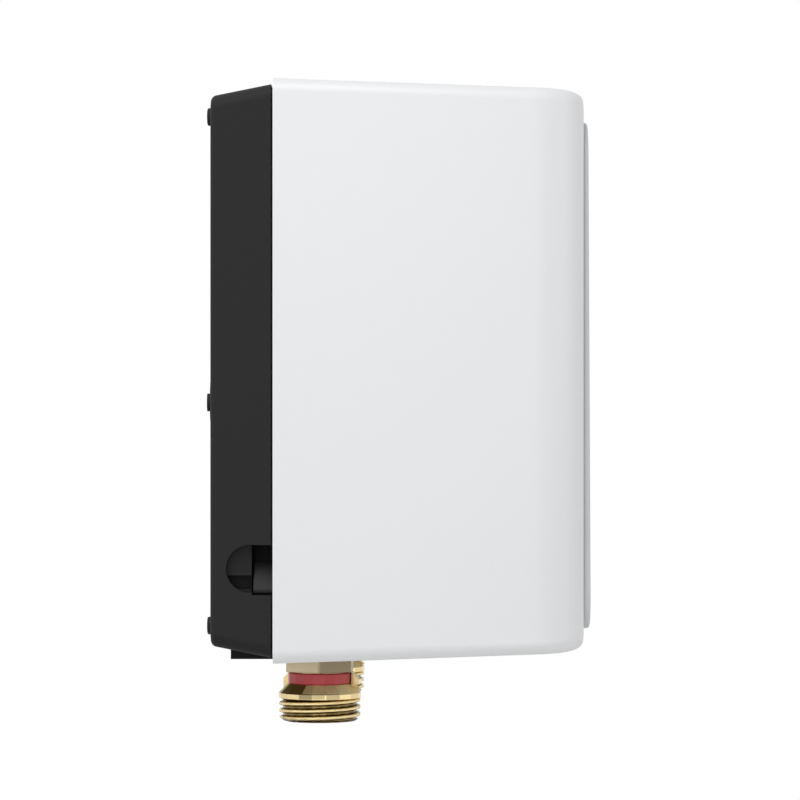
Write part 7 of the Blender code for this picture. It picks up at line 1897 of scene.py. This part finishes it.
build_wire("switch_wire", BROWN_WIRE, [
    at(TAB_PLACES[2], TAB_FRONT, SWITCH_Z), at(TAB_PLACES[2], TURNED_DOWN, SWITCH_Z),
    at(TAB_PLACES[2] + WIRE_LEAD, TURNED_DOWN, SWITCH_Z + WIRE_LEAD * 3),
    at(TAB_PLACES[2], (TURNED_DOWN + BLOCK_DEPTH) / 2, BLOCK_HIGH - WIRE_LEAD * 2),
    on_block(OVER - WIRE_LEAD, (TAB_PLACES[2] + STUDS[3]) / 2),
    on_block(OVER + WIRE_LEAD / 2, STUDS[3] + WIRE_LEAD / 2),
    on_block(OVER, STUDS[3]), on_block(ON_STUD, STUDS[3])], SLEEVE_RADIUS, BOOT_RADIUS)
print("CAD nodes left showing:", sum(not node.hide_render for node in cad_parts.values()))

# %% [markdown]
# The studio: white all round for the camera and for reflections, an even light on
# the object from every side, a large soft lamp above it and towards the wall, weaker
# ones at the camera and in front, and a small one behind for the rear rim. The floor
# is pale and far below, as under a wall heater.

# %% Studio
AMBIENT = 0.40
AIM = Vector((0.0, -0.045, 0.0))
FLOOR_Z = -0.30
world = bpy.data.worlds.new("studio")
bpy.context.scene.world = world
sky = Nodes(world)
camera, glossy, through = [sky.node("ShaderNodeLightPath", output=kind) for kind in (
    "Is Camera Ray", "Is Glossy Ray", "Is Transmission Ray")]
seen = sky.maths("MAXIMUM", sky.maths("MAXIMUM", camera, glossy), through)
soft, white = [sky.node("ShaderNodeBackground", {}, {
    "Color": (1.0, 1.0, 1.0, 1.0), "Strength": strength}) for strength in (AMBIENT, 1.0)]
either = sky.node("ShaderNodeMixShader", {}, {0: seen, 1: soft, 2: white})
sky.plug(sky.tree.nodes.new("ShaderNodeOutputWorld").inputs[0], either)


def lamp(name, place, size, watts):
    data = bpy.data.lights.new(name, "AREA")
    data.size = size
    data.energy = watts
    made = linked(name, data)
    made.location = place
    made.rotation_euler = (AIM - Vector(place)).to_track_quat("-Z", "Y").to_euler()
    return made


lamp("overhead", (-0.62, 0.25, 0.80), 0.6, 4.5)
lamp("beside_camera", (-1.2, 0.02, 0.1), 0.7, 1.45)
lamp("in_front", (-0.30, -1.10, 0.25), 0.6, 2.0)
lamp("behind", (-0.50, 0.90, 0.20), 0.5, 1.2)

clear_selection()
bpy.ops.mesh.primitive_plane_add(size=3.0, location=(0.0, 0.0, FLOOR_Z))
floor = settle("studio_floor")
floor_finish = Finish("pale_floor", 0.7)
dust = floor_finish.noise(floor_finish.place(), 0.2, 4.0)
floor_finish.feed("Base Color", floor_finish.blend(dust, colour(236, 236, 234),
                                                   colour(243, 243, 242)))
floor_finish.relief(dust, 0.0005, 0.1)
dress(floor, floor_finish.material)
